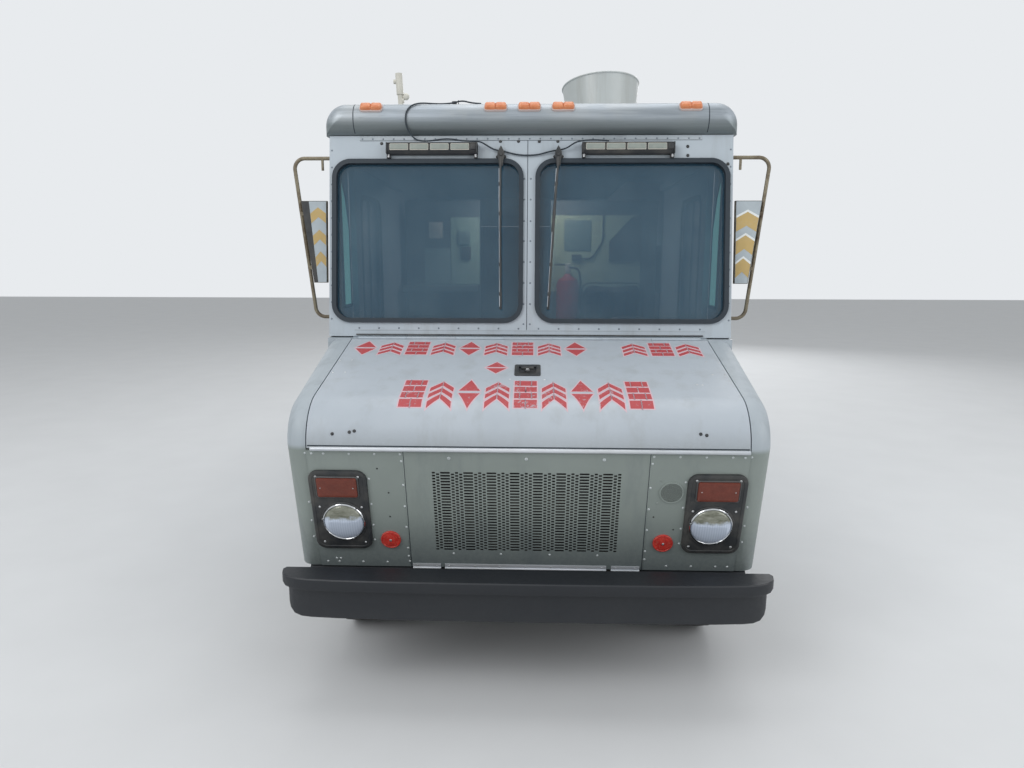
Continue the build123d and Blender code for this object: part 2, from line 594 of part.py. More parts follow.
with BuildPart() as windshield_gaskets:
    with BuildSketch(shield_plane.offset(GAP)):
        with Locations((-GLASS_X, GLASS_V), (GLASS_X, GLASS_V)):
            RectangleRounded(2 * (HALF_GLASS + GASKET_LIP), 2 * (GLASS_V_HALF + GASKET_LIP),
                             GLASS_CORNER + GASKET_LIP)
            RectangleRounded(2 * HALF_GLASS, 2 * GLASS_V_HALF, GLASS_CORNER, mode=Mode.SUBTRACT)
    extrude(amount=GASKET_PROUD)
    with BuildSketch(shield_plane.offset(GAP)):
        with Locations((-GLASS_X, GLASS_V), (GLASS_X, GLASS_V)):
            RectangleRounded(2 * (HALF_GLASS + LIP_HALF - GAP), 2 * (GLASS_V_HALF + LIP_HALF - GAP),
                             GLASS_CORNER + LIP_HALF)
            RectangleRounded(2 * (HALF_GLASS + GAP), 2 * (GLASS_V_HALF + GAP), GLASS_CORNER,
                             mode=Mode.SUBTRACT)
    extrude(amount=-SHIELD_THICK / 2 - GLASS_THICK)
save(windshield_gaskets, "windshield_gaskets")

# Roof: a shell with rounded eaves, and a bull-nosed cap on its front end
ROOF_HALF = BODY_HALF + ROOF_OVERHANG
CAP_HALF = BODY_HALF + CAP_OVERHANG
CAP_FRONT_Y = lean_y(EAVES_Z) - CAP_PROUD
CAP_REAR_Y = CAP_FRONT_Y + CAP_LENGTH


def roof_section(y, half, inset):
    """The cross section of the roof or its cap on a plane facing forward, drawn in by an inset."""
    side = half - inset
    top = ROOF_Z - inset
    radius = ROOF_EDGE - inset
    with BuildSketch(Plane.XZ.offset(-y)) as section:
        with BuildLine():
            Line((-side, EAVES_Z), (side, EAVES_Z))
            Line((side, EAVES_Z), (side, top - radius))
            RadiusArc((side, top - radius), (side - radius, top), -radius)
            Line((side - radius, top), (-side + radius, top))
            RadiusArc((-side + radius, top), (-side, top - radius), -radius)
            Line((-side, top - radius), (-side, EAVES_Z))
        make_face()
    return section.sketch


with BuildPart() as roof:
    extrude(roof_section(CAP_REAR_Y + GAP, ROOF_HALF, 0), amount=-(REAR_Y - CAP_REAR_Y))
    extrude(roof_section(CAP_REAR_Y + GAP, ROOF_HALF, ROOF_THICK),
            amount=-(REAR_Y - WALL - CAP_REAR_Y), mode=Mode.SUBTRACT)
save(roof, "roof")

with BuildPart() as roof_cap:
    extrude(roof_section(CAP_FRONT_Y, CAP_HALF, 0), amount=-CAP_LENGTH)
    front = roof_cap.faces().sort_by(Axis.Y)[0]
    fillet([edge for edge in front.edges() if edge.center().Z > EAVES_Z + 5], CAP_ROUND)
    with BuildSketch(Plane.YZ.offset(-CAP_HALF - 1)):
        with BuildLine():
            tuck_low = (CAP_FRONT_Y + CAP_TUCK, EAVES_Z)
            tuck_high = (CAP_FRONT_Y, EAVES_Z + CAP_TUCK)
            RadiusArc(tuck_low, tuck_high, CAP_TUCK)
            Polyline(tuck_high, (CAP_FRONT_Y - 1, EAVES_Z + CAP_TUCK), (CAP_FRONT_Y - 1, EAVES_Z - 1),
                     (CAP_FRONT_Y + CAP_TUCK, EAVES_Z - 1), tuck_low)
        make_face()
    extrude(amount=2 * CAP_HALF + 2, mode=Mode.SUBTRACT)
    extrude(roof_section(CAP_FRONT_Y + CAP_ROUND + ROOF_THICK, CAP_HALF, ROOF_THICK),
            amount=-CAP_LENGTH, mode=Mode.SUBTRACT)
save(roof_cap, "roof_cap")

# Nose: front panel, perforated grille, corner fenders and hood
GRILLE_HALF = 525
GRILLE_TOP_Z = 1085
SLOPE_SCALE = 1 / cos(radians(PANEL_LEAN))
PANEL_LOW = (PANEL_BOTTOM_Z - HOOD_EDGE_Z) * SLOPE_SCALE
GRILLE_HIGH = (GRILLE_TOP_Z - HOOD_EDGE_Z) * SLOPE_SCALE
PANEL_TOP = -12
PANEL_HALF = HOOD_HALF - GAP
LAMP_X = NOSE_HALF - 214
LAMP_HALF = 122
BEZEL_LOW_Z = 600
BEZEL_HIGH_Z = 995
BEZEL_LOW = (BEZEL_LOW_Z - HOOD_EDGE_Z) * SLOPE_SCALE
BEZEL_HIGH = (BEZEL_HIGH_Z - HOOD_EDGE_Z) * SLOPE_SCALE
BEZEL_V = (BEZEL_LOW + BEZEL_HIGH) / 2
BEZEL_V_HALF = (BEZEL_HIGH - BEZEL_LOW) / 2
HEADLAMP_Z = 736
HEADLAMP_V = (HEADLAMP_Z - HOOD_EDGE_Z) * SLOPE_SCALE
HEADLAMP_RADIUS = 89
TURN_Z = 912
TURN_V = (TURN_Z - HOOD_EDGE_Z) * SLOPE_SCALE
TURN_HALF = (92, 47)
LAMP_HOLE = 8

with BuildPart() as front_panel:
    with BuildSketch(panel_plane):
        with BuildLine():
            Polyline((-PANEL_HALF, PANEL_LOW), (PANEL_HALF, PANEL_LOW), (PANEL_HALF, PANEL_TOP),
                     (-PANEL_HALF, PANEL_TOP), close=True)
        make_face()
        with BuildLine():
            Polyline((-GRILLE_HALF, PANEL_LOW - 1), (GRILLE_HALF, PANEL_LOW - 1),
                     (GRILLE_HALF, GRILLE_HIGH), (-GRILLE_HALF, GRILLE_HIGH), close=True)
        make_face(mode=Mode.SUBTRACT)
        with Locations((-LAMP_X, BEZEL_V), (LAMP_X, BEZEL_V)):
            Rectangle(2 * LAMP_HALF - 50, 2 * BEZEL_V_HALF - 50, mode=Mode.SUBTRACT)
    extrude(amount=-PANEL_THICK)
save(front_panel, "front_panel")

# The grille: rows of slots punched in the middle panel, long and short in turn
MESH_HALF = 406
MESH_LOW = (600 - HOOD_EDGE_Z) * SLOPE_SCALE
MESH_HIGH = (1000 - HOOD_EDGE_Z) * SLOPE_SCALE
SLOT_ROWS = 20
SLOT_GROUPS = 8
SLOT_SHARE = 0.42
LONG_SLOT = 41
SHORT_SLOT = 15
GRILLE_GAP = 0.6
GRILLE_THICK = 6
row_pitch = (MESH_HIGH - MESH_LOW) / SLOT_ROWS
group_pitch = 2 * MESH_HALF / (SLOT_GROUPS + 0.25)

with BuildPart() as grille:
    with BuildSketch(panel_plane):
        with BuildLine():
            Polyline((-GRILLE_HALF + GRILLE_GAP, PANEL_LOW), (GRILLE_HALF - GRILLE_GAP, PANEL_LOW),
                     (GRILLE_HALF - GRILLE_GAP, GRILLE_HIGH - GRILLE_GAP),
                     (-GRILLE_HALF + GRILLE_GAP, GRILLE_HIGH - GRILLE_GAP), close=True)
        make_face()
        long_slots = []
        short_slots = []
        for row in range(SLOT_ROWS):
            v = MESH_LOW + (row + 0.5) * row_pitch
            for group in range(SLOT_GROUPS):
                u = -MESH_HALF + (group + 0.625) * group_pitch
                long_slots.append((u, v))
                short_slots.append((u + group_pitch / 2, v))
        with Locations(*long_slots):
            Rectangle(LONG_SLOT, row_pitch * SLOT_SHARE, mode=Mode.SUBTRACT)
        with Locations(*short_slots):
            Rectangle(SHORT_SLOT, row_pitch * SLOT_SHARE, mode=Mode.SUBTRACT)
    extrude(amount=-GRILLE_THICK)
save(grille, "grille")

RADIATOR_HALF = 330
RADIATOR_HIGH_Z = 1030
with BuildPart() as radiator:
    block((-RADIATOR_HALF, RADIATOR_HALF), (PANEL_BOTTOM_Y + 90, PANEL_BOTTOM_Y + 160),
          (RAIL_Z + 60, RADIATOR_HIGH_Z))
save(radiator, "radiator")


def hood_outline(lower, start):
    """The hood's side profile band from the nose edge to the cowl, as a wire's face."""
    edge = (NOSE_Y + lower, HOOD_EDGE_Z)
    knee = (KNEE_Y + lower * SIN_SLOPE, KNEE_Z - lower * COS_SLOPE)
    cowl_z = COWL_Z - lower / COS_SLOPE
    return edge, knee, (COWL_Y - start, cowl_z - start * tan(radians(HOOD_SLOPE)))


HOOD_THICK = 22
HOOD_SIDE_GAP = 6
HOOD_REAR_GAP = 14

HOOD_AXIS_Y = COWL_Y - HOOD_REAR_GAP + 5
HOOD_AXIS_Z = COWL_Z + 2
HOOD_HINGE_HALF = HOOD_HALF - 40
LATCH_SETBACK = 430
LATCH_LENGTH = 134
LATCH_WIDTH = 124

LATCH_Y = NOSE_Y + LATCH_SETBACK
LATCH_Z = KNEE_Z + (LATCH_Y - KNEE_Y) * tan(radians(HOOD_SLOPE))
latch_plane = Plane(origin=(0, LATCH_Y, LATCH_Z), x_dir=(1, 0, 0),
                    z_dir=(0, -SIN_SLOPE, COS_SLOPE))

with BuildPart() as hood:
    with BuildSketch(Plane.YZ.offset(-HOOD_HALF + HOOD_SIDE_GAP)):
        with BuildLine():
            outer = hood_outline(0, HOOD_REAR_GAP)
            inner = hood_outline(HOOD_THICK, HOOD_REAR_GAP)
            RadiusArc(outer[0], outer[1], HOOD_BEND)
            Line(outer[1], outer[2])
            Line(outer[2], inner[2])
            Line(inner[2], inner[1])
            RadiusArc(inner[1], inner[0], -(HOOD_BEND - HOOD_THICK))
            Line(inner[0], outer[0])
        make_face()
    extrude(amount=2 * (HOOD_HALF - HOOD_SIDE_GAP))
    with BuildSketch(latch_plane.offset(40)):
        RectangleRounded(LATCH_WIDTH + 2 * GAP, LATCH_LENGTH + 2 * GAP, 12)
    extrude(amount=-80, mode=Mode.SUBTRACT)
    step = 2 * HOOD_HINGE_HALF / BARRELS
    for place in range(1, BARRELS, 2):
        x = -HOOD_HINGE_HALF + place * step
        block((x + 1, x + step - 1), (HOOD_AXIS_Y - 20, HOOD_AXIS_Y), (COWL_Z - 14, COWL_Z - 3))
    hinge_barrels((-HOOD_HINGE_HALF, HOOD_AXIS_Y, HOOD_AXIS_Z), 2 * HOOD_HINGE_HALF, (1, 0, 0), True)
save(hood, "hood")

with BuildPart() as hood_latch:
    with BuildSketch(latch_plane.offset(-18)):
        RectangleRounded(LATCH_WIDTH, LATCH_LENGTH, 12)
    extrude(amount=20)
    with BuildSketch(latch_plane.offset(2)):
        Rectangle(84, 84)
    extrude(amount=-10, mode=Mode.SUBTRACT)
save(hood_latch, "hood_latch")

FENDER_WALL = 22
SHOULDER_RADIUS = 74


NOSE_TOE = atan(NOSE_TAPER / COWL_SETBACK)


def fender_body(inset):
    """The left nose corner as a filled body, drawn in by an inset from its outer skin."""
    skin = Plane(
        origin=(BODY_HALF - inset, COWL_Y, 0),
        x_dir=(sin(NOSE_TOE), cos(NOSE_TOE), 0),
        z_dir=(cos(NOSE_TOE), -sin(NOSE_TOE), 0),
    )
    front = NOSE_Y - COWL_Y + inset
    with BuildPart() as body:
        with BuildSketch(skin):
            knee = (KNEE_Y - COWL_Y + inset * SIN_SLOPE, KNEE_Z - inset * COS_SLOPE)
            with BuildLine():
                Polyline(
                    (front, HOOD_EDGE_Z),
                    (PANEL_BOTTOM_Y - COWL_Y + inset, PANEL_BOTTOM_Z - inset),
                    (FRONT_AXLE_Y - COWL_Y, PANEL_BOTTOM_Z - inset),
                    (0, PANEL_BOTTOM_Z - inset),
                    (0, COWL_Z - inset / COS_SLOPE),
                    knee,
                )
                RadiusArc(knee, (front, HOOD_EDGE_Z), -(HOOD_BEND - inset))
            make_face()
        extrude(amount=-3 * SHOULDER)
        outer_face = body.faces().sort_by(Axis.X)[-1]
        fillet(outer_face.edges().filter_by(lambda edge: edge.center().Y < COWL_Y - 150
                                            and edge.center().Z > PANEL_BOTTOM_Z - inset + 5),
               SHOULDER_RADIUS - inset)
        block((HOOD_HALF, BODY_HALF - inset), (COWL_Y - 1, FENDER_REAR_Y),
              (SKIRT_Z - inset, COWL_Z - inset))
        block((0, HOOD_HALF), (NOSE_Y - 50, COWL_Y + 100), (SKIRT_Z - 50, COWL_Z + 50),
              mode=Mode.SUBTRACT)
    return body.part


with BuildPart() as fenders:
    add(fender_body(0))
    add(fender_body(FENDER_WALL), mode=Mode.SUBTRACT)
    drum((BODY_HALF - 300, BODY_HALF + 300), FRONT_AXLE_Y, WHEEL_Z, FRONT_ARCH, mode=Mode.SUBTRACT)
    mirror(about=Plane.YZ)
save(fenders, "fenders")

# The windshield wall carries the cowl and the fixed half of the hood's hinge
with BuildPart() as windshield_wall:
    with BuildSketch(shield_plane):
        with BuildLine():
            Polyline((-BODY_HALF, SHIELD_LOW), (BODY_HALF, SHIELD_LOW),
                     (BODY_HALF, SHIELD_TOP), (-BODY_HALF, SHIELD_TOP),
                     close=True)
        make_face()
        with Locations((-GLASS_X, GLASS_V), (GLASS_X, GLASS_V)):
            RectangleRounded(2 * (HALF_GLASS + LIP_HALF), 2 * (GLASS_V_HALF + LIP_HALF),
                             GLASS_CORNER + LIP_HALF, mode=Mode.SUBTRACT)
    extrude(amount=-SHIELD_THICK)
    block((-HOOD_HALF, HOOD_HALF), (COWL_Y, SHIELD_Y + SHIELD_BACK), (COWL_Z - 30, COWL_Z - GAP))
    block((-HOOD_HALF, HOOD_HALF), (SHIELD_Y + 8, SHIELD_Y + SHIELD_BACK), (COWL_Z - 30, COWL_Z + 20))
    step = 2 * HOOD_HINGE_HALF / BARRELS
    for place in range(0, BARRELS, 2):
        x = -HOOD_HINGE_HALF + place * step
        block((x + 1, x + step - 1), (HOOD_AXIS_Y, COWL_Y), (COWL_Z - 5, COWL_Z - GAP))
    hinge_barrels((-HOOD_HINGE_HALF, HOOD_AXIS_Y, HOOD_AXIS_Z), 2 * HOOD_HINGE_HALF, (1, 0, 0), False)
save(windshield_wall, "windshield_wall")

# Headlamp housings and what sits in them
BEZEL_PROUD = 14

with BuildPart() as headlamp_bezels:
    with BuildSketch(panel_plane.offset(GAP)):
        with Locations((-LAMP_X, BEZEL_V), (LAMP_X, BEZEL_V)):
            RectangleRounded(2 * LAMP_HALF, 2 * BEZEL_V_HALF, 30)
    extrude(amount=BEZEL_PROUD)
    with BuildSketch(panel_plane.offset(GAP)):
        with Locations((-LAMP_X, BEZEL_V), (LAMP_X, BEZEL_V)):
            Rectangle(2 * LAMP_HALF - 52, 2 * BEZEL_V_HALF - 52)
    extrude(amount=-PANEL_THICK - 35)
    with BuildSketch(panel_plane.offset(30)):
        with Locations((-LAMP_X, HEADLAMP_V), (LAMP_X, HEADLAMP_V)):
            Circle(HEADLAMP_RADIUS)
        with Locations((-LAMP_X, TURN_V), (LAMP_X, TURN_V)):
            Rectangle(2 * TURN_HALF[0], 2 * TURN_HALF[1])
    extrude(amount=-50, mode=Mode.SUBTRACT)
save(headlamp_bezels, "headlamp_bezels")

with BuildPart() as front_lamps:
    for x in (-LAMP_X, LAMP_X):
        centre = panel_plane.from_local_coords(Vector(x, HEADLAMP_V, -20 + GAP))
        with Locations(Plane(origin=centre, x_dir=(1, 0, 0), z_dir=panel_plane.z_dir)):
            Cylinder(HEADLAMP_RADIUS - GAP, 30, align=(Align.CENTER, Align.CENTER, Align.MIN))
    with BuildSketch(panel_plane.offset(-20 + GAP)):
        with Locations((-LAMP_X, TURN_V), (LAMP_X, TURN_V)):
            Rectangle(2 * (TURN_HALF[0] - GAP), 2 * (TURN_HALF[1] - GAP))
    extrude(amount=38)
save(front_lamps, "front_lamps")

# Front bumper: a pressed channel with swept-back ends and rounded lower corners
BUMPER_HALF = BODY_HALF - 18
BUMPER_SWEEP = 150
BUMPER_RETURN = 60
BUMPER_CORNER = 62
BUMPER_END_Y = NOSE_Y - 10
BUMPER_LOW_Z = RAIL_Z - 175
BUMPER_HIGH_Z = RAIL_Z + 48
BUMPER_BACK = -20
BUMPER_FRONT_Y = NOSE_Y - FRONT_BUMPER_REACH


def bumper_body(inset):
    """The front bumper as a filled body, drawn in by an inset from its outer skin."""
    half = BUMPER_HALF - inset
    low = BUMPER_LOW_Z + inset
    high = BUMPER_HIGH_Z - inset
    rear = BUMPER_END_Y + BUMPER_RETURN
    with BuildPart() as body:
        with BuildSketch(Plane.XY.offset(low)):
            with BuildLine():
                FilletPolyline(
                    (-half, rear),
                    (-half, BUMPER_END_Y),
                    (-half + BUMPER_SWEEP, BUMPER_FRONT_Y + inset),
                    (half - BUMPER_SWEEP, BUMPER_FRONT_Y + inset),
                    (half, BUMPER_END_Y),
                    (half, rear),
                    radius=(40, 120, 120, 40),
                )
                Line((-half, rear), (half, rear))
            make_face()
        extrude(amount=high - low)
        with BuildSketch(Plane.XZ.offset(-rear - 1)):
            with Locations((0, low)):
                RectangleRounded(2 * half, 4 * (high - low), BUMPER_CORNER - inset,
                                 align=(Align.CENTER, Align.MIN))
        extrude(amount=2 * FRONT_BUMPER_REACH + BUMPER_RETURN, mode=Mode.INTERSECT)
    return body.part


with BuildPart() as front_bumper:
    add(bumper_body(0))
    add(bumper_body(BUMPER_PLATE), mode=Mode.SUBTRACT)
    block((-BUMPER_HALF - 1, BUMPER_HALF + 1), (NOSE_Y + BUMPER_BACK - GAP, NOSE_Y + 100),
          (BUMPER_LOW_Z - 1, BUMPER_HIGH_Z + 1), mode=Mode.SUBTRACT)
save(front_bumper, "front_bumper")

# Rear bumper: a step plate on the ends of the rails
REAR_BUMPER_HIGH_Z = RAIL_Z + 30
REAR_BUMPER_LOW_Z = RAIL_Z - 130
HITCH_BORE = 26
with BuildPart() as rear_bumper:
    block((-BODY_HALF + 20, BODY_HALF - 20), (REAR_Y + 40 + GAP, OVERALL_LENGTH / 2),
          (REAR_BUMPER_LOW_Z, REAR_BUMPER_HIGH_Z))
    block((-BODY_HALF, BODY_HALF), (REAR_Y, OVERALL_LENGTH / 2 - BUMPER_PLATE),
          (REAR_BUMPER_LOW_Z - 10, REAR_BUMPER_HIGH_Z - BUMPER_PLATE), mode=Mode.SUBTRACT)
    block((-200, 200), (OVERALL_LENGTH / 2 - 80, OVERALL_LENGTH / 2 - BUMPER_PLATE),
          (REAR_BUMPER_LOW_Z, REAR_BUMPER_LOW_Z + 12))
    with Locations((0, OVERALL_LENGTH / 2 - 42, REAR_BUMPER_LOW_Z)):
        Cylinder(HITCH_BORE / 2, 60, mode=Mode.SUBTRACT)
save(rear_bumper, "rear_bumper")

# Sliding cab doors on their tracks
DOOR_FACE_X = BODY_HALF - WALL - RUNNING_GAP
DOOR_X = (DOOR_FACE_X - DOOR_THICK, DOOR_FACE_X)
DOOR_TOP_Z = DOOR_HIGH_Z + DOOR_LAP
DOOR_BOTTOM_Z = DOOR_OPENING_LOW_Z - 12
TONGUE = 10
TRACK_HEIGHT = 44
PANE_LOW_Z = 1480
PANE_HIGH_Z = 2270
PANE_MARGIN = 110
PANE_CORNER = 70

for name, side in SIDES:
    middle_x = side * (DOOR_X[0] + DOOR_X[1]) / 2
    pane_y = (DOOR_Y0 + DOOR_Y1) / 2
    pane_size = (DOOR_WIDTH - 2 * PANE_MARGIN, PANE_HIGH_Z - PANE_LOW_Z)
    with BuildPart() as cab_door:
        block((side * DOOR_X[0], side * DOOR_X[1]), (DOOR_Y0 - DOOR_LAP, DOOR_Y1 + DOOR_LAP),
              (DOOR_BOTTOM_Z, DOOR_TOP_Z))
        with BuildSketch(Plane.YZ.offset(side * DOOR_X[0] - 50)):
            with Locations((pane_y, (PANE_LOW_Z + PANE_HIGH_Z) / 2)):
                RectangleRounded(pane_size[0], pane_size[1], PANE_CORNER)
        extrude(amount=100, mode=Mode.SUBTRACT)
        block((middle_x - TONGUE / 2, middle_x + TONGUE / 2), (DOOR_Y0, DOOR_Y1),
              (DOOR_TOP_Z, DOOR_TOP_Z + 24))
    save(cab_door, f"cab_door_{name}")

# Rear wall with its double doors
with BuildPart() as rear_wall:
    block((-BODY_HALF + WALL + GAP, BODY_HALF - WALL - GAP), (REAR_Y - WALL, REAR_Y),
          (SKIRT_Z + 170, EAVES_Z))
    block((-REAR_OPENING_HALF, REAR_OPENING_HALF), (REAR_Y - WALL - 1, REAR_Y + 1),
          (FLOOR_Z, REAR_OPENING_HIGH_Z), mode=Mode.SUBTRACT)
    for name, side in SIDES:
        axis_x = side * (REAR_OPENING_HALF - 3)
        hinge_barrels((axis_x, REAR_Y + 8, FLOOR_Z + 60), REAR_OPENING_HIGH_Z - FLOOR_Z - 120,
                      (0, 0, 1), False)
        step = (REAR_OPENING_HIGH_Z - FLOOR_Z - 120) / BARRELS
        for place in range(0, BARRELS, 2):
            z = FLOOR_Z + 60 + place * step
            block((axis_x, axis_x + side * 26), (REAR_Y, REAR_Y + 5), (z + 1, z + step - 1))
save(rear_wall, "rear_wall")

REAR_PANE = (420, 520)
REAR_PANE_Z = 1830
for name, side in SIDES:
    axis_x = side * (REAR_OPENING_HALF - 3)
    edge_x = side * (REAR_OPENING_HALF - RUNNING_GAP)
    middle_x = (side * 3 + edge_x) / 2
    with BuildPart() as rear_door:
        block((side * 3, edge_x), (REAR_Y - REAR_DOOR_THICK, REAR_Y),
              (FLOOR_Z + 6, REAR_OPENING_HIGH_Z - 6))
        with BuildSketch(Plane.XZ.offset(-REAR_Y - 50)):
            with Locations((middle_x, REAR_PANE_Z)):
                RectangleRounded(REAR_PANE[0], REAR_PANE[1], 60)
        extrude(amount=200, mode=Mode.SUBTRACT)
        step = (REAR_OPENING_HIGH_Z - FLOOR_Z - 120) / BARRELS
        for place in range(1, BARRELS, 2):
            z = FLOOR_Z + 60 + place * step
            block((axis_x, axis_x - side * 30), (REAR_Y - 1, REAR_Y + 5), (z + 1, z + step - 1))
        hinge_barrels((axis_x, REAR_Y + 8, FLOOR_Z + 60), REAR_OPENING_HIGH_Z - FLOOR_Z - 120,
                      (0, 0, 1), True)
    save(rear_door, f"rear_door_{name}")

# Serving flap, hinged at its top, and the folding shelf under it
FLAP_AXIS_X = -BODY_HALF - 8
FLAP_AXIS_Z = HATCH_HIGH_Z - 3
FLAP_THICK = 30
with BuildPart() as serving_flap:
    block((-BODY_HALF, -BODY_HALF + FLAP_THICK), (HATCH_Y0 + RUNNING_GAP, HATCH_Y1 - RUNNING_GAP),
          (HATCH_LOW_Z + RUNNING_GAP, HATCH_HIGH_Z - RUNNING_GAP))
    step = HATCH_LENGTH / BARRELS
    for place in range(1, BARRELS, 2):
        y = HATCH_Y0 + place * step
        block((-BODY_HALF - 5, -BODY_HALF + 1), (y + 1, y + step - 1), (FLAP_AXIS_Z - 30, FLAP_AXIS_Z))
    hinge_barrels((FLAP_AXIS_X, HATCH_Y0, FLAP_AXIS_Z), HATCH_LENGTH, (0, 1, 0), True)
save(serving_flap, "serving_flap")

SHELF_AXIS_Z = HATCH_LOW_Z - 36
SHELF_Y = (HATCH_Y0 + 20, HATCH_Y1 - 20)
with BuildPart() as serving_shelf:
    block((-BODY_HALF - 6 - SHELF_THICK, -BODY_HALF - 6), SHELF_Y,
          (SHELF_AXIS_Z - 12 - SHELF_DEPTH, SHELF_AXIS_Z - 12))
    step = (SHELF_Y[1] - SHELF_Y[0]) / BARRELS
    for place in range(1, BARRELS, 2):
        y = SHELF_Y[0] + place * step
        block((-BODY_HALF - 11, -BODY_HALF - 6), (y + 1, y + step - 1),
              (SHELF_AXIS_Z - 13, SHELF_AXIS_Z))
    hinge_barrels((FLAP_AXIS_X, SHELF_Y[0], SHELF_AXIS_Z), SHELF_Y[1] - SHELF_Y[0], (0, 1, 0), True)
save(serving_shelf, "serving_shelf")

# Side walls, with the door tracks inside and the hatch hinges outside
TRACK_Y = (DOOR_Y0 - DOOR_LAP, DOOR_Y1 + DOOR_TRAVEL + DOOR_LAP)

for name, side in SIDES:
    with BuildPart() as side_wall:
        with BuildSketch(Plane.YZ.offset(side * BODY_HALF - (WALL if side > 0 else 0))):
            with BuildLine():
                Polyline(
                    (lean_y(COWL_Z) + SHIELD_BACK + GAP, COWL_Z),
                    (lean_y(EAVES_Z) + SHIELD_BACK + GAP, EAVES_Z),
                    (REAR_Y, EAVES_Z),
                    (REAR_Y, SKIRT_Z),
                    (FENDER_REAR_Y + GAP, SKIRT_Z),
                    (FENDER_REAR_Y + GAP, COWL_Z),
                    close=True,
                )
            make_face()
            with BuildLine():
                Polyline((DOOR_Y0, DOOR_OPENING_LOW_Z), (DOOR_Y1, DOOR_OPENING_LOW_Z),
                         (DOOR_Y1, DOOR_HIGH_Z), (DOOR_Y0, DOOR_HIGH_Z), close=True)
            make_face(mode=Mode.SUBTRACT)
            with Locations((REAR_AXLE_Y, WHEEL_Z)):
                Circle(REAR_ARCH, mode=Mode.SUBTRACT)
            if side < 0:
                with Locations(((HATCH_Y0 + HATCH_Y1) / 2, (HATCH_LOW_Z + HATCH_HIGH_Z) / 2)):
                    Rectangle(HATCH_LENGTH, HATCH_HIGH_Z - HATCH_LOW_Z, mode=Mode.SUBTRACT)
        extrude(amount=WALL)
        middle_x = side * (DOOR_X[0] + DOOR_X[1]) / 2
        block((side * DOOR_X[0], side * (BODY_HALF - WALL)), TRACK_Y,
              (DOOR_TOP_Z + 5, DOOR_TOP_Z + 5 + TRACK_HEIGHT))
        block((middle_x - TONGUE / 2 - GAP, middle_x + TONGUE / 2 + GAP),
              (TRACK_Y[0] - 1, TRACK_Y[1] + 1), (DOOR_TOP_Z, DOOR_TOP_Z + 24 + GAP),
              mode=Mode.SUBTRACT)
        if side < 0:
            for axis_z, y0, length in ((FLAP_AXIS_Z, HATCH_Y0, HATCH_LENGTH),
                                       (SHELF_AXIS_Z, SHELF_Y[0], SHELF_Y[1] - SHELF_Y[0])):
                step = length / BARRELS
                for place in range(0, BARRELS, 2):
                    y = y0 + place * step
                    block((-BODY_HALF - 5, -BODY_HALF), (y + 1, y + step - 1), (axis_z, axis_z + 26))
                hinge_barrels((FLAP_AXIS_X, y0, axis_z), length, (0, 1, 0), False)
    save(side_wall, f"side_wall_{name}")

# Marker lamps, seated on the round of the roof cap
MARKER_X = (223 - BODY_HALF, -182, 0, 182, BODY_HALF - 223)
MARKER_LENGTH = 118
MARKER_WIDTH = 52
MARKER_HEIGHT = 22
MARKER_RISE = 40
cap_axis_y = CAP_FRONT_Y + CAP_ROUND
cap_axis_z = ROOF_Z - CAP_ROUND
with BuildPart() as marker_lamps:
    for x in MARKER_X:
        with Locations(Plane(origin=(x, cap_axis_y, cap_axis_z), x_dir=(1, 0, 0),
                             z_dir=(0, -cos(radians(MARKER_RISE)), sin(radians(MARKER_RISE))))):
            Box(MARKER_LENGTH, MARKER_WIDTH, CAP_ROUND + MARKER_HEIGHT,
                align=(Align.CENTER, Align.CENTER, Align.MIN))
    drum((-CAP_HALF, CAP_HALF), cap_axis_y, cap_axis_z, CAP_ROUND + GAP, mode=Mode.SUBTRACT)
save(marker_lamps, "marker_lamps")

# The cooking fan: a flared bucket that leans a little on its curb
FAN_X = 562
FAN_Y = NOSE_Y + 3250
FAN_RIM_Z = 3310
FAN_RIM_RADIUS = 310
FAN_FOOT_RADIUS = 245
FAN_WALL = 12
FAN_DEPTH = 555
FAN_DECK = 500
FAN_CURB = 290
FAN_CURB_HEIGHT = 90
FAN_LEAN_BACK = 8.5
FAN_LEAN_SIDE = 3

fan_across = Vector(cos(radians(FAN_LEAN_SIDE)), 0, sin(radians(FAN_LEAN_SIDE)))
fan_up = Vector(-sin(radians(FAN_LEAN_SIDE)) * cos(radians(FAN_LEAN_BACK)), sin(radians(FAN_LEAN_BACK)),
                cos(radians(FAN_LEAN_SIDE)) * cos(radians(FAN_LEAN_BACK)))
with BuildPart() as exhaust_fan:
    block((FAN_X - FAN_CURB, FAN_X + FAN_CURB), (FAN_Y - FAN_CURB, FAN_Y + FAN_CURB),
          (ROOF_Z + GAP, ROOF_Z + FAN_CURB_HEIGHT))
    with BuildSketch(Plane(origin=(FAN_X, FAN_Y, FAN_RIM_Z), x_dir=fan_across,
                           z_dir=fan_across.cross(fan_up))):
        with BuildLine():
            Polyline((0, -FAN_DEPTH), (FAN_FOOT_RADIUS, -FAN_DEPTH), (FAN_RIM_RADIUS, 0),
                     (FAN_RIM_RADIUS - FAN_WALL, 0), (FAN_FOOT_RADIUS - FAN_WALL, -FAN_DECK),
                     (0, -FAN_DECK), close=True)
        make_face()
    revolve(axis=Axis((FAN_X, FAN_Y, FAN_RIM_Z), fan_up))
save(exhaust_fan, "exhaust_fan")

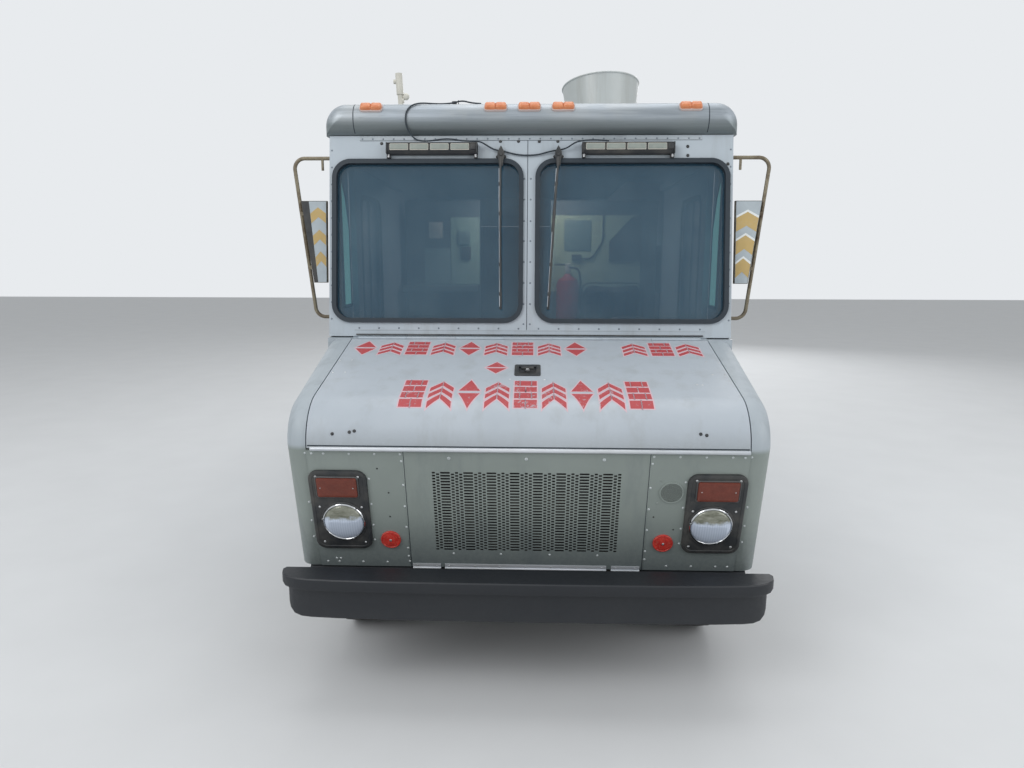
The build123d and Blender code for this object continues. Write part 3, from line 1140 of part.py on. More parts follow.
# The roof pipe: a flange, a thin pipe with a thicker sleeve on top, and two knobs
PIPE_X = -783
PIPE_Y = NOSE_Y + 1600
PIPE_LEAN = 3
PIPE_SLEEVE_Z = 2890
PIPE_TOP_Z = 3012
pipe_up = Vector(-sin(radians(PIPE_LEAN)), 0, cos(radians(PIPE_LEAN)))
with BuildPart() as roof_pipe:
    with Locations((PIPE_X, PIPE_Y, ROOF_Z + GAP)):
        Cylinder(36, 18, align=(Align.CENTER, Align.CENTER, Align.MIN))
    for start_z, end_z, radius in ((ROOF_Z + 10, PIPE_SLEEVE_Z, 16), (PIPE_SLEEVE_Z, PIPE_TOP_Z, 21)):
        start = Vector(PIPE_X, PIPE_Y, ROOF_Z) + pipe_up * (start_z - ROOF_Z)
        with Locations(Plane(origin=start, z_dir=pipe_up)):
            Cylinder(radius, end_z - start_z, align=(Align.CENTER, Align.CENTER, Align.MIN))
    for knob_z, knob_x, radius in ((2965, -34, 13), (2857, 22, 14)):
        start = Vector(PIPE_X, PIPE_Y, ROOF_Z) + pipe_up * (knob_z - ROOF_Z)
        with Locations(Plane(origin=start + Vector(knob_x / 2, 0, 0), z_dir=(1, 0, 0))):
            Cylinder(radius, abs(knob_x))
save(roof_pipe, "roof_pipe")

# Lamp bars over the windshield: a lamp box over a drawn-in tray
BAR_X = 518
BAR_HALF = 242
BAR_V = (2475 - COWL_Z) / cos(radians(SHIELD_LEAN))
BAR_V_HALF = 39
BAR_PROUD = 50
BAR_PROFILE = (
    # out from the shield, up from the bar's middle
    (0, -BAR_V_HALF),
    (28, -BAR_V_HALF),
    (28, -BAR_V_HALF + 10),
    (BAR_PROUD, -2),
    (BAR_PROUD, BAR_V_HALF),
    (0, BAR_V_HALF),
)
with BuildPart() as lamp_bars:
    for x in (-BAR_X, BAR_X):
        start = shield_plane.from_local_coords(Vector(x + BAR_HALF, BAR_V, GAP))
        with BuildSketch(Plane(origin=start, x_dir=shield_plane.z_dir, z_dir=(-1, 0, 0))):
            with BuildLine():
                Polyline(*BAR_PROFILE, close=True)
            make_face()
        extrude(amount=2 * BAR_HALF)
save(lamp_bars, "lamp_bars")

WIPER_X = 152
WIPER_V = (2450 - COWL_Z) / cos(radians(SHIELD_LEAN))
WIPER_TIP_V = (1640 - COWL_Z) / cos(radians(SHIELD_LEAN))
WIPER_TIPS = ((1, 103), (-1, -149))
WIPER_RISE = 22
with BuildPart() as wipers:
    for side, tip_x in WIPER_TIPS:
        pivot = shield_plane.from_local_coords(Vector(side * WIPER_X, WIPER_V, GAP))
        with Locations(Plane(origin=pivot, x_dir=(1, 0, 0), z_dir=shield_plane.z_dir)):
            Cylinder(14, 34, align=(Align.CENTER, Align.CENTER, Align.MIN))
        with BuildSketch(shield_plane.offset(WIPER_RISE)):
            with BuildLine():
                Line((side * WIPER_X, WIPER_V), (tip_x, WIPER_TIP_V))
            trace(line_width=12)
        extrude(amount=9)
save(wipers, "wipers")

# The lamp cable: over the roof cap, along one lamp bar, past the wipers to the other bar
CABLE_RADIUS = 4.5
CABLE_LIFT = CABLE_RADIUS + 0.5
CABLE_SLACK = 2
CABLE_REACH = 0.45


def over_cap(x, angle):
    """A point of the cable's middle on the cap's round, by its angle above level."""
    if angle >= 0:
        centre = (CAP_FRONT_Y + CAP_ROUND, ROOF_Z - CAP_ROUND, CAP_ROUND)
    else:
        centre = (CAP_FRONT_Y + CAP_TUCK, EAVES_Z + CAP_TUCK, CAP_TUCK)
    reach = centre[2] + CABLE_LIFT + CABLE_SLACK
    return Vector(x, centre[0] - reach * cos(radians(angle)), centre[1] + reach * sin(radians(angle)))


def over_shield(x, v, out):
    """A point over the windshield wall, up its slope and out from it."""
    return shield_plane.from_local_coords(Vector(x, v, out))


BAR_TOP_V = BAR_V + BAR_V_HALF + CABLE_LIFT
BAR_EDGE = BAR_PROUD - 8
CABLE_ON_ROOF = ((-260, 0), (-310, 6), (-362, 20), (-410, 6), (-460, 0), (-510, 0))
CABLE_ON_CAP = ((-570, 76), (-607, 55), (-630, 34), (-643, 12), (-645, -12), (-636, -38))
CABLE_ON_SHIELD = (
    # x, up the slope, out from the wall
    (-609, BAR_TOP_V + 10, 38),
    (-566, BAR_TOP_V, BAR_EDGE),
    (-512, BAR_TOP_V + 3, BAR_EDGE),
    (-460, BAR_TOP_V + 13, BAR_EDGE),
    (-405, BAR_TOP_V + 12, BAR_EDGE),
    (-366, BAR_TOP_V + 3, BAR_EDGE),
    (-320, BAR_TOP_V, BAR_EDGE),
    (-262, BAR_TOP_V, BAR_EDGE - 4),
    (-230, BAR_TOP_V - 18, 26),
    (-190, WIPER_V + 27, 12),
    (-145, WIPER_V + 21, 9),
    (-60, WIPER_V - 2, 7),
    (40, WIPER_V, 7),
    (110, WIPER_V + 20, 9),
    (190, WIPER_V + 30, 14),
    (228, BAR_TOP_V - 12, 28),
    (262, BAR_TOP_V + 1, BAR_EDGE - 4),
    (350, BAR_TOP_V + 6, BAR_EDGE),
    (415, BAR_TOP_V, BAR_EDGE),
)
cable_path = [Vector(x, cap_axis_y + 8, ROOF_Z + CABLE_LIFT + rise) for x, rise in CABLE_ON_ROOF]
cable_path += [over_cap(x, angle) for x, angle in CABLE_ON_CAP]
cable_path += [over_shield(x, v, out) for x, v, out in CABLE_ON_SHIELD]
cable_start = cable_path[0]
with BuildPart() as roof_cable:
    with BuildLine() as run:
        for before, corner, after in zip(cable_path, cable_path[1:], cable_path[2:]):
            back = before - corner
            ahead = after - corner
            reach = CABLE_REACH * min(back.length, ahead.length)
            half = radians(back.get_angle(ahead)) / 2
            arc_start = corner + back.normalized() * reach
            arc_end = corner + ahead.normalized() * reach
            inward = (back.normalized() + ahead.normalized()).normalized()
            arc_middle = corner + inward * (reach / cos(half) - reach * tan(half))
            Line(cable_start, arc_start)
            ThreePointArc(arc_start, arc_middle, arc_end)
            cable_start = arc_end
        Line(cable_start, cable_path[-1])
    with BuildSketch(Plane(origin=run.line @ 0, z_dir=run.line % 0)):
        Circle(CABLE_RADIUS)
    sweep()
save(roof_cable, "roof_cable")

# Mirrors on bent tube arms, with a tapered head on each and a hook at the top
MIRROR_Y = NOSE_Y + 1035
ARM_HIGH_Z = 2441
ARM_LOW_Z = 1588
ARM_HIGH_X = BODY_HALF + 205
ARM_LOW_X = BODY_HALF + 115
ARM_RADIUS = 10
HEAD_Y = (MIRROR_Y - 34, MIRROR_Y - 6)
HEAD_OUTLINE = (
    # out from the body side, height
    (24, 2216),
    (164, 2216),
    (112, 1778),
    (40, 1778),
)
BRACKET_Z = (2150, 1860)
with BuildPart() as mirrors:
    for name, side in SIDES:
        root_x = side * (BODY_HALF + GAP)
        with BuildLine() as arm:
            FilletPolyline(
                (root_x, MIRROR_Y, ARM_HIGH_Z),
                (side * ARM_HIGH_X, MIRROR_Y, ARM_HIGH_Z),
                (side * ARM_LOW_X, MIRROR_Y, ARM_LOW_Z),
                (root_x, MIRROR_Y, ARM_LOW_Z),
                radius=55,
            )
        with BuildSketch(Plane(origin=arm.line @ 0, z_dir=arm.line % 0)):
            Circle(ARM_RADIUS)
        sweep()
        with BuildSketch(Plane.XZ.offset(-HEAD_Y[0])):
            with BuildLine():
                Polyline(*((side * (BODY_HALF + out), z) for out, z in HEAD_OUTLINE), close=True)
            make_face()
        extrude(amount=-(HEAD_Y[1] - HEAD_Y[0]))
        for z in BRACKET_Z:
            arm_x = ARM_LOW_X + (ARM_HIGH_X - ARM_LOW_X) * (z - ARM_LOW_Z) / (ARM_HIGH_Z - ARM_LOW_Z)
            block((side * (BODY_HALF + 60), side * arm_x), (MIRROR_Y - 12, MIRROR_Y + 4), (z - 10, z + 10))
        with Locations((side * (BODY_HALF + 47), MIRROR_Y, ARM_HIGH_Z - 30)):
            Cylinder(7, 66)
save(mirrors, "mirrors")

TAIL_LAMP_X = BODY_HALF - 190
TAIL_LAMP_Z = (1050, 1190)
with BuildPart() as tail_lamps:
    for name, side in SIDES:
        for z in TAIL_LAMP_Z:
            with Locations(Plane(origin=(side * TAIL_LAMP_X, REAR_Y + GAP, z), z_dir=(0, 1, 0))):
                Cylinder(55, 30, align=(Align.CENTER, Align.CENTER, Align.MIN))
save(tail_lamps, "tail_lamps")

# Cab: dash, engine cover, driver's seat and steering wheel
DASH_REAR_Y = FLOOR_FRONT_Y + 180
SEAT_X = BODY_HALF - 493
SEAT_Y = DOOR_Y0 + 690
COLUMN_RADIUS = 19
WHEEL_PLANE = Plane(origin=(SEAT_X, DASH_REAR_Y + 60, 1470), x_dir=(1, 0, 0),
                    z_dir=(0, 0.5, 0.866))
with BuildPart() as dashboard:
    with BuildSketch(Plane.YZ.offset(-BODY_HALF + WALL + 60)):
        with BuildLine():
            Polyline((SHIELD_Y + SHIELD_BACK + 6, COWL_Z - 34), (SHIELD_Y + SHIELD_BACK + 6, COWL_Z - 80),
                     (FLOOR_FRONT_Y - 2, TOE_BOARD_Z + GAP), (DASH_REAR_Y - 60, TOE_BOARD_Z + GAP),
                     (DASH_REAR_Y, TOE_BOARD_Z + 60),
                     (DASH_REAR_Y - 50, COWL_Z - 60), close=True)
        make_face()
    extrude(amount=BODY_WIDTH - 2 * WALL - 120)
    with Locations(WHEEL_PLANE.offset(-130)):
        Cylinder(COLUMN_RADIUS + GAP, 400, mode=Mode.SUBTRACT)
save(dashboard, "dashboard")

COVER_HALF = SEAT_X - 250
with BuildPart() as engine_cover:
    block((-COVER_HALF, COVER_HALF), (FLOOR_FRONT_Y + BOX_WALL + GAP, DOOR_Y1 - 150),
          (FLOOR_Z + GAP, TOE_BOARD_Z - 20))
    fillet(engine_cover.edges().filter_by(Axis.Y).group_by(Axis.Z)[-1], 60)
save(engine_cover, "engine_cover")

PEDESTAL_HEIGHT = 350
CUSHION_HEIGHT = 120
with BuildPart() as driver_seat:
    block((SEAT_X - 160, SEAT_X + 160), (SEAT_Y - 170, SEAT_Y + 170),
          (FLOOR_Z + GAP, FLOOR_Z + PEDESTAL_HEIGHT))
save(driver_seat, "driver_seat")

with BuildPart() as seat_cushions:
    block((SEAT_X - 235, SEAT_X + 235), (SEAT_Y - 230, SEAT_Y + 220),
          (FLOOR_Z + PEDESTAL_HEIGHT + GAP, FLOOR_Z + PEDESTAL_HEIGHT + CUSHION_HEIGHT))
    block((SEAT_X - 225, SEAT_X + 225), (SEAT_Y + 160, SEAT_Y + 260),
          (FLOOR_Z + PEDESTAL_HEIGHT + 50, FLOOR_Z + 1000))
save(seat_cushions, "seat_cushions")

RIM_MIDDLE = 205
RIM_THICK = 13
rim_plane = Plane(origin=WHEEL_PLANE.origin, x_dir=WHEEL_PLANE.x_dir, z_dir=-WHEEL_PLANE.y_dir)
with BuildPart() as steering_wheel:
    with BuildSketch(rim_plane):
        with Locations((RIM_MIDDLE, 0)):
            RegularPolygon(RIM_THICK, 10)
    revolve(axis=Axis(WHEEL_PLANE.origin, WHEEL_PLANE.z_dir))
    with Locations(WHEEL_PLANE):
        Cylinder(40, 36)
    with Locations(WHEEL_PLANE.offset(-6)):
        with PolarLocations(0, 3):
            Box(200, 26, 10, align=(Align.MIN, Align.CENTER, Align.CENTER))
    with Locations(WHEEL_PLANE.offset(-130)):
        Cylinder(COLUMN_RADIUS, 260)
save(steering_wheel, "steering_wheel")

# Galley: cook line with its hood on the driver's side, counter at the hatch
COOK_START_Y = POCKET_END_Y + 20
COOK_DEPTH = 620
COOK_HIGH_Z = 1650
COUNTER_DEPTH = 520
WHEEL_BOX_FRONT_Y = REAR_AXLE_Y - REAR_ARCH - BOX_WALL
LINER = 6
with BuildPart() as galley_counters:
    block((BODY_HALF - WALL - LINER - COOK_DEPTH, BODY_HALF - WALL - LINER),
          (COOK_START_Y, WHEEL_BOX_FRONT_Y - GAP), (FLOOR_Z + GAP, COOK_HIGH_Z))
    block((-BODY_HALF + WALL + LINER, -BODY_HALF + WALL + LINER + COUNTER_DEPTH),
          (HATCH_Y0 - 60, WHEEL_BOX_FRONT_Y - GAP), (FLOOR_Z + GAP, HATCH_LOW_Z - 20))
save(galley_counters, "galley_counters")

HOOD_LOW_Z = 2020
HOOD_HIGH_Z = 2500
HOOD_LIP = 100
HOOD_LENGTH = 1500
with BuildPart() as range_hood:
    wall_x = BODY_HALF - WALL - GAP
    front_x = BODY_HALF - WALL - COOK_DEPTH - 80
    with BuildSketch(Plane.XZ.offset(-COOK_START_Y)):
        with BuildLine():
            Polyline((wall_x, HOOD_LOW_Z), (front_x, HOOD_LOW_Z), (front_x, HOOD_LOW_Z + HOOD_LIP),
                     (wall_x - 300, HOOD_HIGH_Z), (wall_x, HOOD_HIGH_Z), close=True)
        make_face()
    extrude(amount=-HOOD_LENGTH)
save(range_hood, "range_hood")
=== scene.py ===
"""The looks of a parked food truck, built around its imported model.
Metres: the front at -Y, the driver's side at +X, the ground at Z = 0."""
from math import acos, cos, pi, radians, sin, sqrt, tan

import bmesh
import bpy
from mathutils import Matrix, Vector, geometry
from mathutils.bvhtree import BVHTree


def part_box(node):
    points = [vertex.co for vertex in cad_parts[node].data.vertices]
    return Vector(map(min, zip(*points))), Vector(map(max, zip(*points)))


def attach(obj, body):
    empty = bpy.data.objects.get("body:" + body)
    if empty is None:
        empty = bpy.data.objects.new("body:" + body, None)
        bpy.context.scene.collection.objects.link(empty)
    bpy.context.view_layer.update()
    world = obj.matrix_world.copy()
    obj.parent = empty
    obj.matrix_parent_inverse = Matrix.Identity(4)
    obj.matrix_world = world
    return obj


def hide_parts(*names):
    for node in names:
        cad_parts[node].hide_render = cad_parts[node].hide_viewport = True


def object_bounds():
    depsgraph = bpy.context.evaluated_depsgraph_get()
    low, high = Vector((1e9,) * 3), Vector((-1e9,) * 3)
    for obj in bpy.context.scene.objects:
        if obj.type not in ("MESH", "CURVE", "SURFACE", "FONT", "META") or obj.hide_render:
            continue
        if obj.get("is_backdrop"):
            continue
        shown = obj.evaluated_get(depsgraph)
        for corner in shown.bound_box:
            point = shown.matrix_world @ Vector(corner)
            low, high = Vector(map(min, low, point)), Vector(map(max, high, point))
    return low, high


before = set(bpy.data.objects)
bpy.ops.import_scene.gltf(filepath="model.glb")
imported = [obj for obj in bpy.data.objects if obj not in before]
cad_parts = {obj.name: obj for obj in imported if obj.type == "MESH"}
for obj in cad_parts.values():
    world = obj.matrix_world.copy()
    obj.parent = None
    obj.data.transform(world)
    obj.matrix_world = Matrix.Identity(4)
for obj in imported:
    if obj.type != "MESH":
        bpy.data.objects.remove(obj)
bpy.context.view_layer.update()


def middle_of(name, axis):
    """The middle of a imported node's box along one axis."""
    low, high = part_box(name)
    return (low[axis] + high[axis]) / 2


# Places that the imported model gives
LEFT = 1
RIGHT = -1
SIDES = ((LEFT, "left"), (RIGHT, "right"))
NOSE_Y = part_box("hood")[0].y
HOOD_EDGE_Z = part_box("hood")[0].z
BODY_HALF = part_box("side_wall_left")[1].x
BODY_REAR_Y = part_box("roof")[1].y
ROOF_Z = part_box("roof")[1].z
FLOOR_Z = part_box("driver_seat")[0].z
SEAT_X = middle_of("driver_seat", 0)
AXLE_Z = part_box("front_tyre_left")[1].z / 2
REAR_AXLE_Y = middle_of("rear_tyres_left", 1)
REAR_TYRE_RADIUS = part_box("rear_tyres_left")[1].z / 2

# Slopes of the nose, as fitted to the photograph
PANEL_LEAN = radians(-14.1)
SHIELD_LEAN = radians(8.79)
SHIELD_FOOT = (0, NOSE_Y + 0.861, HOOD_EDGE_Z + 0.3808)
HOOD_BEND = 0.21
HOOD_SLOPE = radians(14.7)


def stand(origin, across, up=(0, 0, 1)):
    """A frame on a surface: its X runs across, its Y up, and its Z out of the surface."""
    across = Vector(across).normalized()
    up = Vector(up).normalized()
    place = Matrix((across, up, across.cross(up))).transposed().to_4x4()
    place.translation = Vector(origin)
    return place


def standing(point, facing):
    """A frame on a point whose Z looks along a direction and whose X is level."""
    facing = Vector(facing).normalized()
    across = Vector((0, 1, 0)).cross(facing)
    return stand(point, across, facing.cross(across))


def moved(place, x, y, z=0.0):
    """A frame moved along its own axes."""
    return place @ Matrix.Translation((x, y, z))


PANEL = stand((0, NOSE_Y, HOOD_EDGE_Z), (1, 0, 0), (0, sin(PANEL_LEAN), cos(PANEL_LEAN)))
SHIELD = stand(SHIELD_FOOT, (1, 0, 0), (0, sin(SHIELD_LEAN), cos(SHIELD_LEAN)))
ROOF = stand((0, 0, ROOF_Z), (1, 0, 0), (0, 1, 0))
WALLS = {side: stand((side * BODY_HALF, 0, 0), (0, side, 0)) for side, _ in SIDES}
REAR = stand((0, BODY_REAR_Y, 0), (-1, 0, 0))


# Shapes: each of these adds closed surfaces to a bmesh


def skin(shape, rings, place=Matrix(), paint=0, looped=False, capped=True):
    """Joins rings of equally many points, one after the other."""
    made = [[shape.verts.new(place @ Vector(point)) for point in ring] for ring in rings]
    pairs = list(zip(made, made[1:]))
    if looped:
        pairs.append((made[-1], made[0]))
    faces = []
    for near, far in pairs:
        for i in range(len(near)):
            j = (i + 1) % len(near)
            faces.append(shape.faces.new((near[i], near[j], far[j], far[i])))
    if capped and not looped:
        faces.append(shape.faces.new(made[0]))
        faces.append(shape.faces.new(list(reversed(made[-1]))))
    for face in faces:
        face.material_index = paint


def block(shape, low, high, place=Matrix(), soften=0.0, steps=2, paint=0):
    """A box between two corners, with its edges rounded off."""
    low = Vector(low)
    high = Vector(high)
    first = len(shape.faces)
    size = Matrix.Diagonal((*(high - low), 1))
    made = bmesh.ops.create_cube(shape, size=1, matrix=Matrix.Translation((low + high) / 2) @ size)
    if soften:
        edges = list({edge for corner in made["verts"] for edge in corner.link_edges})
        bmesh.ops.bevel(shape, geom=edges, offset=soften, segments=steps, profile=0.5, affect="EDGES")
    shape.faces.ensure_lookup_table()
    corners = {corner for face in shape.faces[first:] for corner in face.verts}
    bmesh.ops.transform(shape, matrix=place, verts=list(corners))
    for face in shape.faces[first:]:
        face.material_index = paint


def circle(radius, height=0.0, steps=24, turned=0.0):
    """Points round a circle; turned is a share of one step."""
    turns = [2 * pi * (i + turned) / steps for i in range(steps)]
    return [(radius * cos(t), radius * sin(t), height) for t in turns]


def oblong(left, low, right, high):
    """The corners of an upright rectangle."""
    return ((left, low), (right, low), (right, high), (left, high))


def rounded(width, length, radius, height=0.0, steps=4, centre=(0, 0)):
    """Points round a rectangle with rounded corners."""
    points = []
    corners = ((1, 1, 0), (-1, 1, 1), (-1, -1, 2), (1, -1, 3))
    for right, top, quarter in corners:
        for i in range(steps + 1):
            turn = (quarter + i / steps) * pi / 2
            x = centre[0] + right * (width / 2 - radius) + radius * cos(turn)
            y = centre[1] + top * (length / 2 - radius) + radius * sin(turn)
            points.append((x, y, height))
    return points


def pillow(shape, width, length, radius, levels, place=Matrix(), paint=0, steps=5, centre=(0, 0)):
    """A rounded rectangle drawn in over levels of (inset, height)."""
    sharpest = 0.0005
    rings = []
    for inset, height in levels:
        corner = max(radius - inset, sharpest)
        rings.append(rounded(width - 2 * inset, length - 2 * inset, corner, height, steps, centre))
    skin(shape, rings, place, paint)


def lathe(shape, profile, place=Matrix(), steps=32, paint=0, looped=False):
    """Turns a profile of (radius, height) round the local Z."""
    skin(shape, [circle(radius, height, steps) for radius, height in profile], place, paint, looped)


def prism(shape, outline, low, high, place=Matrix(), paint=0):
    """A flat outline raised from one height to another."""
    skin(shape, [[(*point[:2], height) for point in outline] for height in (low, high)], place, paint)


def picture_frame(shape, outer, inner, low, high, place=Matrix()):
    """A flat ring between two outlines with equally many points."""
    levels = ((outer, low), (outer, high), (inner, high), (inner, low))
    skin(shape, [[(*point[:2], height) for point in line] for line, height in levels], place, looped=True)


def tube(shape, path, radius, place=Matrix(), sides=10, paint=0, looped=False):
    """A round bar along a path of points; the radius may differ from point to point."""
    path = [Vector(point) for point in path]
    count = len(path)
    radii = radius if isinstance(radius, (list, tuple)) else [radius] * count
    ahead = []
    for i in range(count):
        before = path[i - 1] if looped or i else path[i]
        after = path[(i + 1) % count] if looped or i < count - 1 else path[i]
        ahead.append((after - before).normalized())
    guide = Vector((0, 0, 1)) if abs(ahead[0].z) < 0.9 else Vector((1, 0, 0))
    rings = []
    for point, way, size in zip(path, ahead, radii):
        guide = (guide - way * guide.dot(way)).normalized()
        over = way.cross(guide)
        rings.append([point + guide * x + over * y for x, y, _ in circle(size, steps=sides)])
    skin(shape, rings, place, paint, looped)


def bend_path(corners, radius, steps=5):
    """A path through corners that are rounded to a radius."""
    corners = [Vector(corner) for corner in corners]
    path = [corners[0]]
    for before, corner, after in zip(corners, corners[1:], corners[2:]):
        back = (before - corner).normalized()
        ahead = (after - corner).normalized()
        half = back.angle(ahead) / 2
        reach = min(radius / tan(half), (before - corner).length * 0.49, (after - corner).length * 0.49)
        middle = corner + (back + ahead).normalized() * (reach / cos(half))
        start = corner + back * reach - middle
        end = corner + ahead * reach - middle
        turn = start.angle(end)
        for i in range(steps + 1):
            share = i / steps
            path.append(middle + (start * sin(turn * (1 - share)) + end * sin(turn * share)) / sin(turn))
    path.append(corners[-1])
    return path


def placed(name, data):
    """An object in the scene with the data it shows."""
    made = bpy.data.objects.new(name, data)
    bpy.context.scene.collection.objects.link(made)
    return made


def as_mesh(name, shape, near=1e-6):
    """Turns a bmesh into a mesh, with its near points joined and its faces turned outwards."""
    bmesh.ops.remove_doubles(shape, verts=shape.verts, dist=near)
    bmesh.ops.recalc_face_normals(shape, faces=shape.faces)
    mesh = bpy.data.meshes.new(name)
    shape.to_mesh(mesh)
    shape.free()
    return mesh


def frozen(made, name):
    """The plain mesh of an object and its modifiers, in place of the object."""
    scene_graph = bpy.context.evaluated_depsgraph_get()
    mesh = bpy.data.meshes.new_from_object(made.evaluated_get(scene_graph), depsgraph=scene_graph)
    made.modifiers.clear()
    bpy.data.objects.remove(made)
    mesh.name = name
    return mesh


def show(name, mesh, finishes, stands_for=(), body="truck", crease=32):
    """Puts a finished mesh in the scene as a piece that rides on a body."""
    if mesh.materials:
        mesh.materials.clear()
    for finish in finishes if isinstance(finishes, list) else [finishes]:
        mesh.materials.append(finish)
    for face in mesh.polygons:
        face.use_smooth = True
    mesh.set_sharp_from_angle(angle=radians(crease))
    made = placed(name, mesh)
    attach(made, body)
    if stands_for:
        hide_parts(*stands_for)
    return made


def piece(name, shape, finishes, stands_for=(), body="truck", crease=32):
    """Turns a bmesh of closed surfaces into a piece."""
    return show(name, as_mesh(name, shape), finishes, stands_for, body, crease)


def step(tree, kind, values=None, result=0, **settings):
    """Adds a node with its settings and its inputs, which are constants or other steps' results."""
    node = tree.nodes.new(kind)
    for label, value in settings.items():
        setattr(node, label, value)
    for label, value in (values or {}).items():
        if isinstance(value, bpy.types.NodeSocket):
            tree.links.new(value, node.inputs[label])
        else:
            node.inputs[label].default_value = value
    return node.outputs[result] if node.outputs else node


# Geometry Nodes: templates set on points, for fasteners and other things that repeat
SETTING_INPUTS = (("Geometry", "Geometry"), ("Template", "Object"), ("Size", "Float"), ("Spin", "Float"),
                  ("Seed", "Int"), ("Finish", "Material"))


def build_setting_tree():
    """Sets a template on every point, standing on the point's facing direction and turned at random."""
    tree = bpy.data.node_groups.new("set_on_points", "GeometryNodeTree")
    for label, kind in SETTING_INPUTS:
        tree.interface.new_socket(label, in_out="INPUT", socket_type="NodeSocket" + kind)
    tree.interface.new_socket("Geometry", in_out="OUTPUT", socket_type="NodeSocketGeometry")
    given = tree.nodes.new("NodeGroupInput").outputs
    what = step(tree, "GeometryNodeObjectInfo", {"Object": given["Template"]}, "Geometry")
    facing = step(tree, "GeometryNodeInputNamedAttribute", {"Name": "facing"}, "Attribute",
                  data_type="FLOAT_VECTOR")
    upright = step(tree, "FunctionNodeAlignRotationToVector", {"Vector": facing}, axis="Z")
    chance = step(tree, "FunctionNodeRandomValue", {3: given["Spin"], "Seed": given["Seed"]}, 1)
    turn = step(tree, "FunctionNodeAxisAngleToRotation", {"Axis": (0, 0, 1), "Angle": chance})
    turned = step(tree, "FunctionNodeRotateRotation", {"Rotation": upright, "Rotate By": turn},
                  rotation_space="LOCAL")
    copies = step(tree, "GeometryNodeInstanceOnPoints", {"Points": given["Geometry"], "Instance": what,
                                                         "Rotation": turned, "Scale": given["Size"]})
    real = step(tree, "GeometryNodeRealizeInstances", {"Geometry": copies})
    painted = step(tree, "GeometryNodeSetMaterial", {"Geometry": real, "Material": given["Finish"]})
    step(tree, "NodeGroupOutput", {"Geometry": painted})
    return tree


SETTING_TREE = build_setting_tree()
FREE_SPIN = 2 * pi
templates = []


def template(name, shape):
    """A small shape kept aside to be set on points; it is removed before the end."""
    made = placed(name, as_mesh(name, shape))
    templates.append(made)
    return made


def copies_of(name, places, what, size, finish, spin):
    """The mesh that the setting tree makes of a template on places of (point, facing)."""
    points = bpy.data.meshes.new(name + "_points")
    points.from_pydata([point for point, _ in places], [], [])
    facing = points.attributes.new("facing", "FLOAT_VECTOR", "POINT")
    facing.data.foreach_set("vector", [c for _, way in places for c in Vector(way).normalized()])
    carrier = placed(name + "_carrier", points)
    modifier = carrier.modifiers.new(name, "NODES")
    modifier.node_group = SETTING_TREE
    values = {"Template": what, "Size": size, "Spin": spin, "Seed": 1, "Finish": finish}
    for item in SETTING_TREE.interface.items_tree:
        if item.in_out == "INPUT" and item.name in values:
            modifier[item.identifier] = values[item.name]
    return frozen(carrier, name)


def set_on(name, places, what, size, finish, body="truck", spin=FREE_SPIN):
    """Sets a template on places of (point, facing), as one piece."""
    mesh = copies_of(name, places, what, size, finish, spin)
    return show(name, mesh, finish, body=body, crease=40)


def on(place, spots, lift=0.0):
    """Places of (point, facing) for spots of (x, y) on a surface's frame."""
    facing = place.to_3x3() @ Vector((0, 0, 1))
    return [(place @ Vector((x, y, lift)), facing) for x, y in spots]


def spread(start, end, count):
    """Evenly spaced values from one to another."""
    return [start + (end - start) * i / (count - 1) for i in range(count)]


def head(name, *parts):
    """A fastener's head of radius 1, turned from parts of (steps round, profile)."""
    shape = bmesh.new()
    for steps, profile in parts:
        lathe(shape, profile, steps=steps)
    return template(name, shape)


ROUNDING = [(cos(share * pi / 2), 0.45 * sin(share * pi / 2)) for share in (0, 0.4, 0.75)]
RIVET = head("rivet_head", (8, [(1.0, -0.1), *ROUNDING, (0.06, 0.45)]))
SCREW = head("screw_head", (12, [(1.0, -0.1), (1.0, 0.18), (0.8, 0.42), (0.45, 0.5), (0.4, 0.5), (0.3, 0.2),
                                 (0.02, 0.15)]))
HEX_BOLT = head("hex_head", (14, [(1.35, -0.1), (1.35, 0.12), (1.25, 0.2), (0.02, 0.2)]),
                (6, [(1.0, 0.15), (1.0, 0.78), (0.86, 0.9), (0.02, 0.9)]))


# Finishes: procedural materials, each on Object coordinates


def rgb(red, green, blue):
    """A colour given as it looks on a screen, 0 to 255, as Blender's linear values."""
    def linear(level):
        level /= 255
        return level / 12.92 if level <= 0.04045 else ((level + 0.055) / 1.055) ** 2.4
    return (linear(red), linear(green), linear(blue), 1.0)


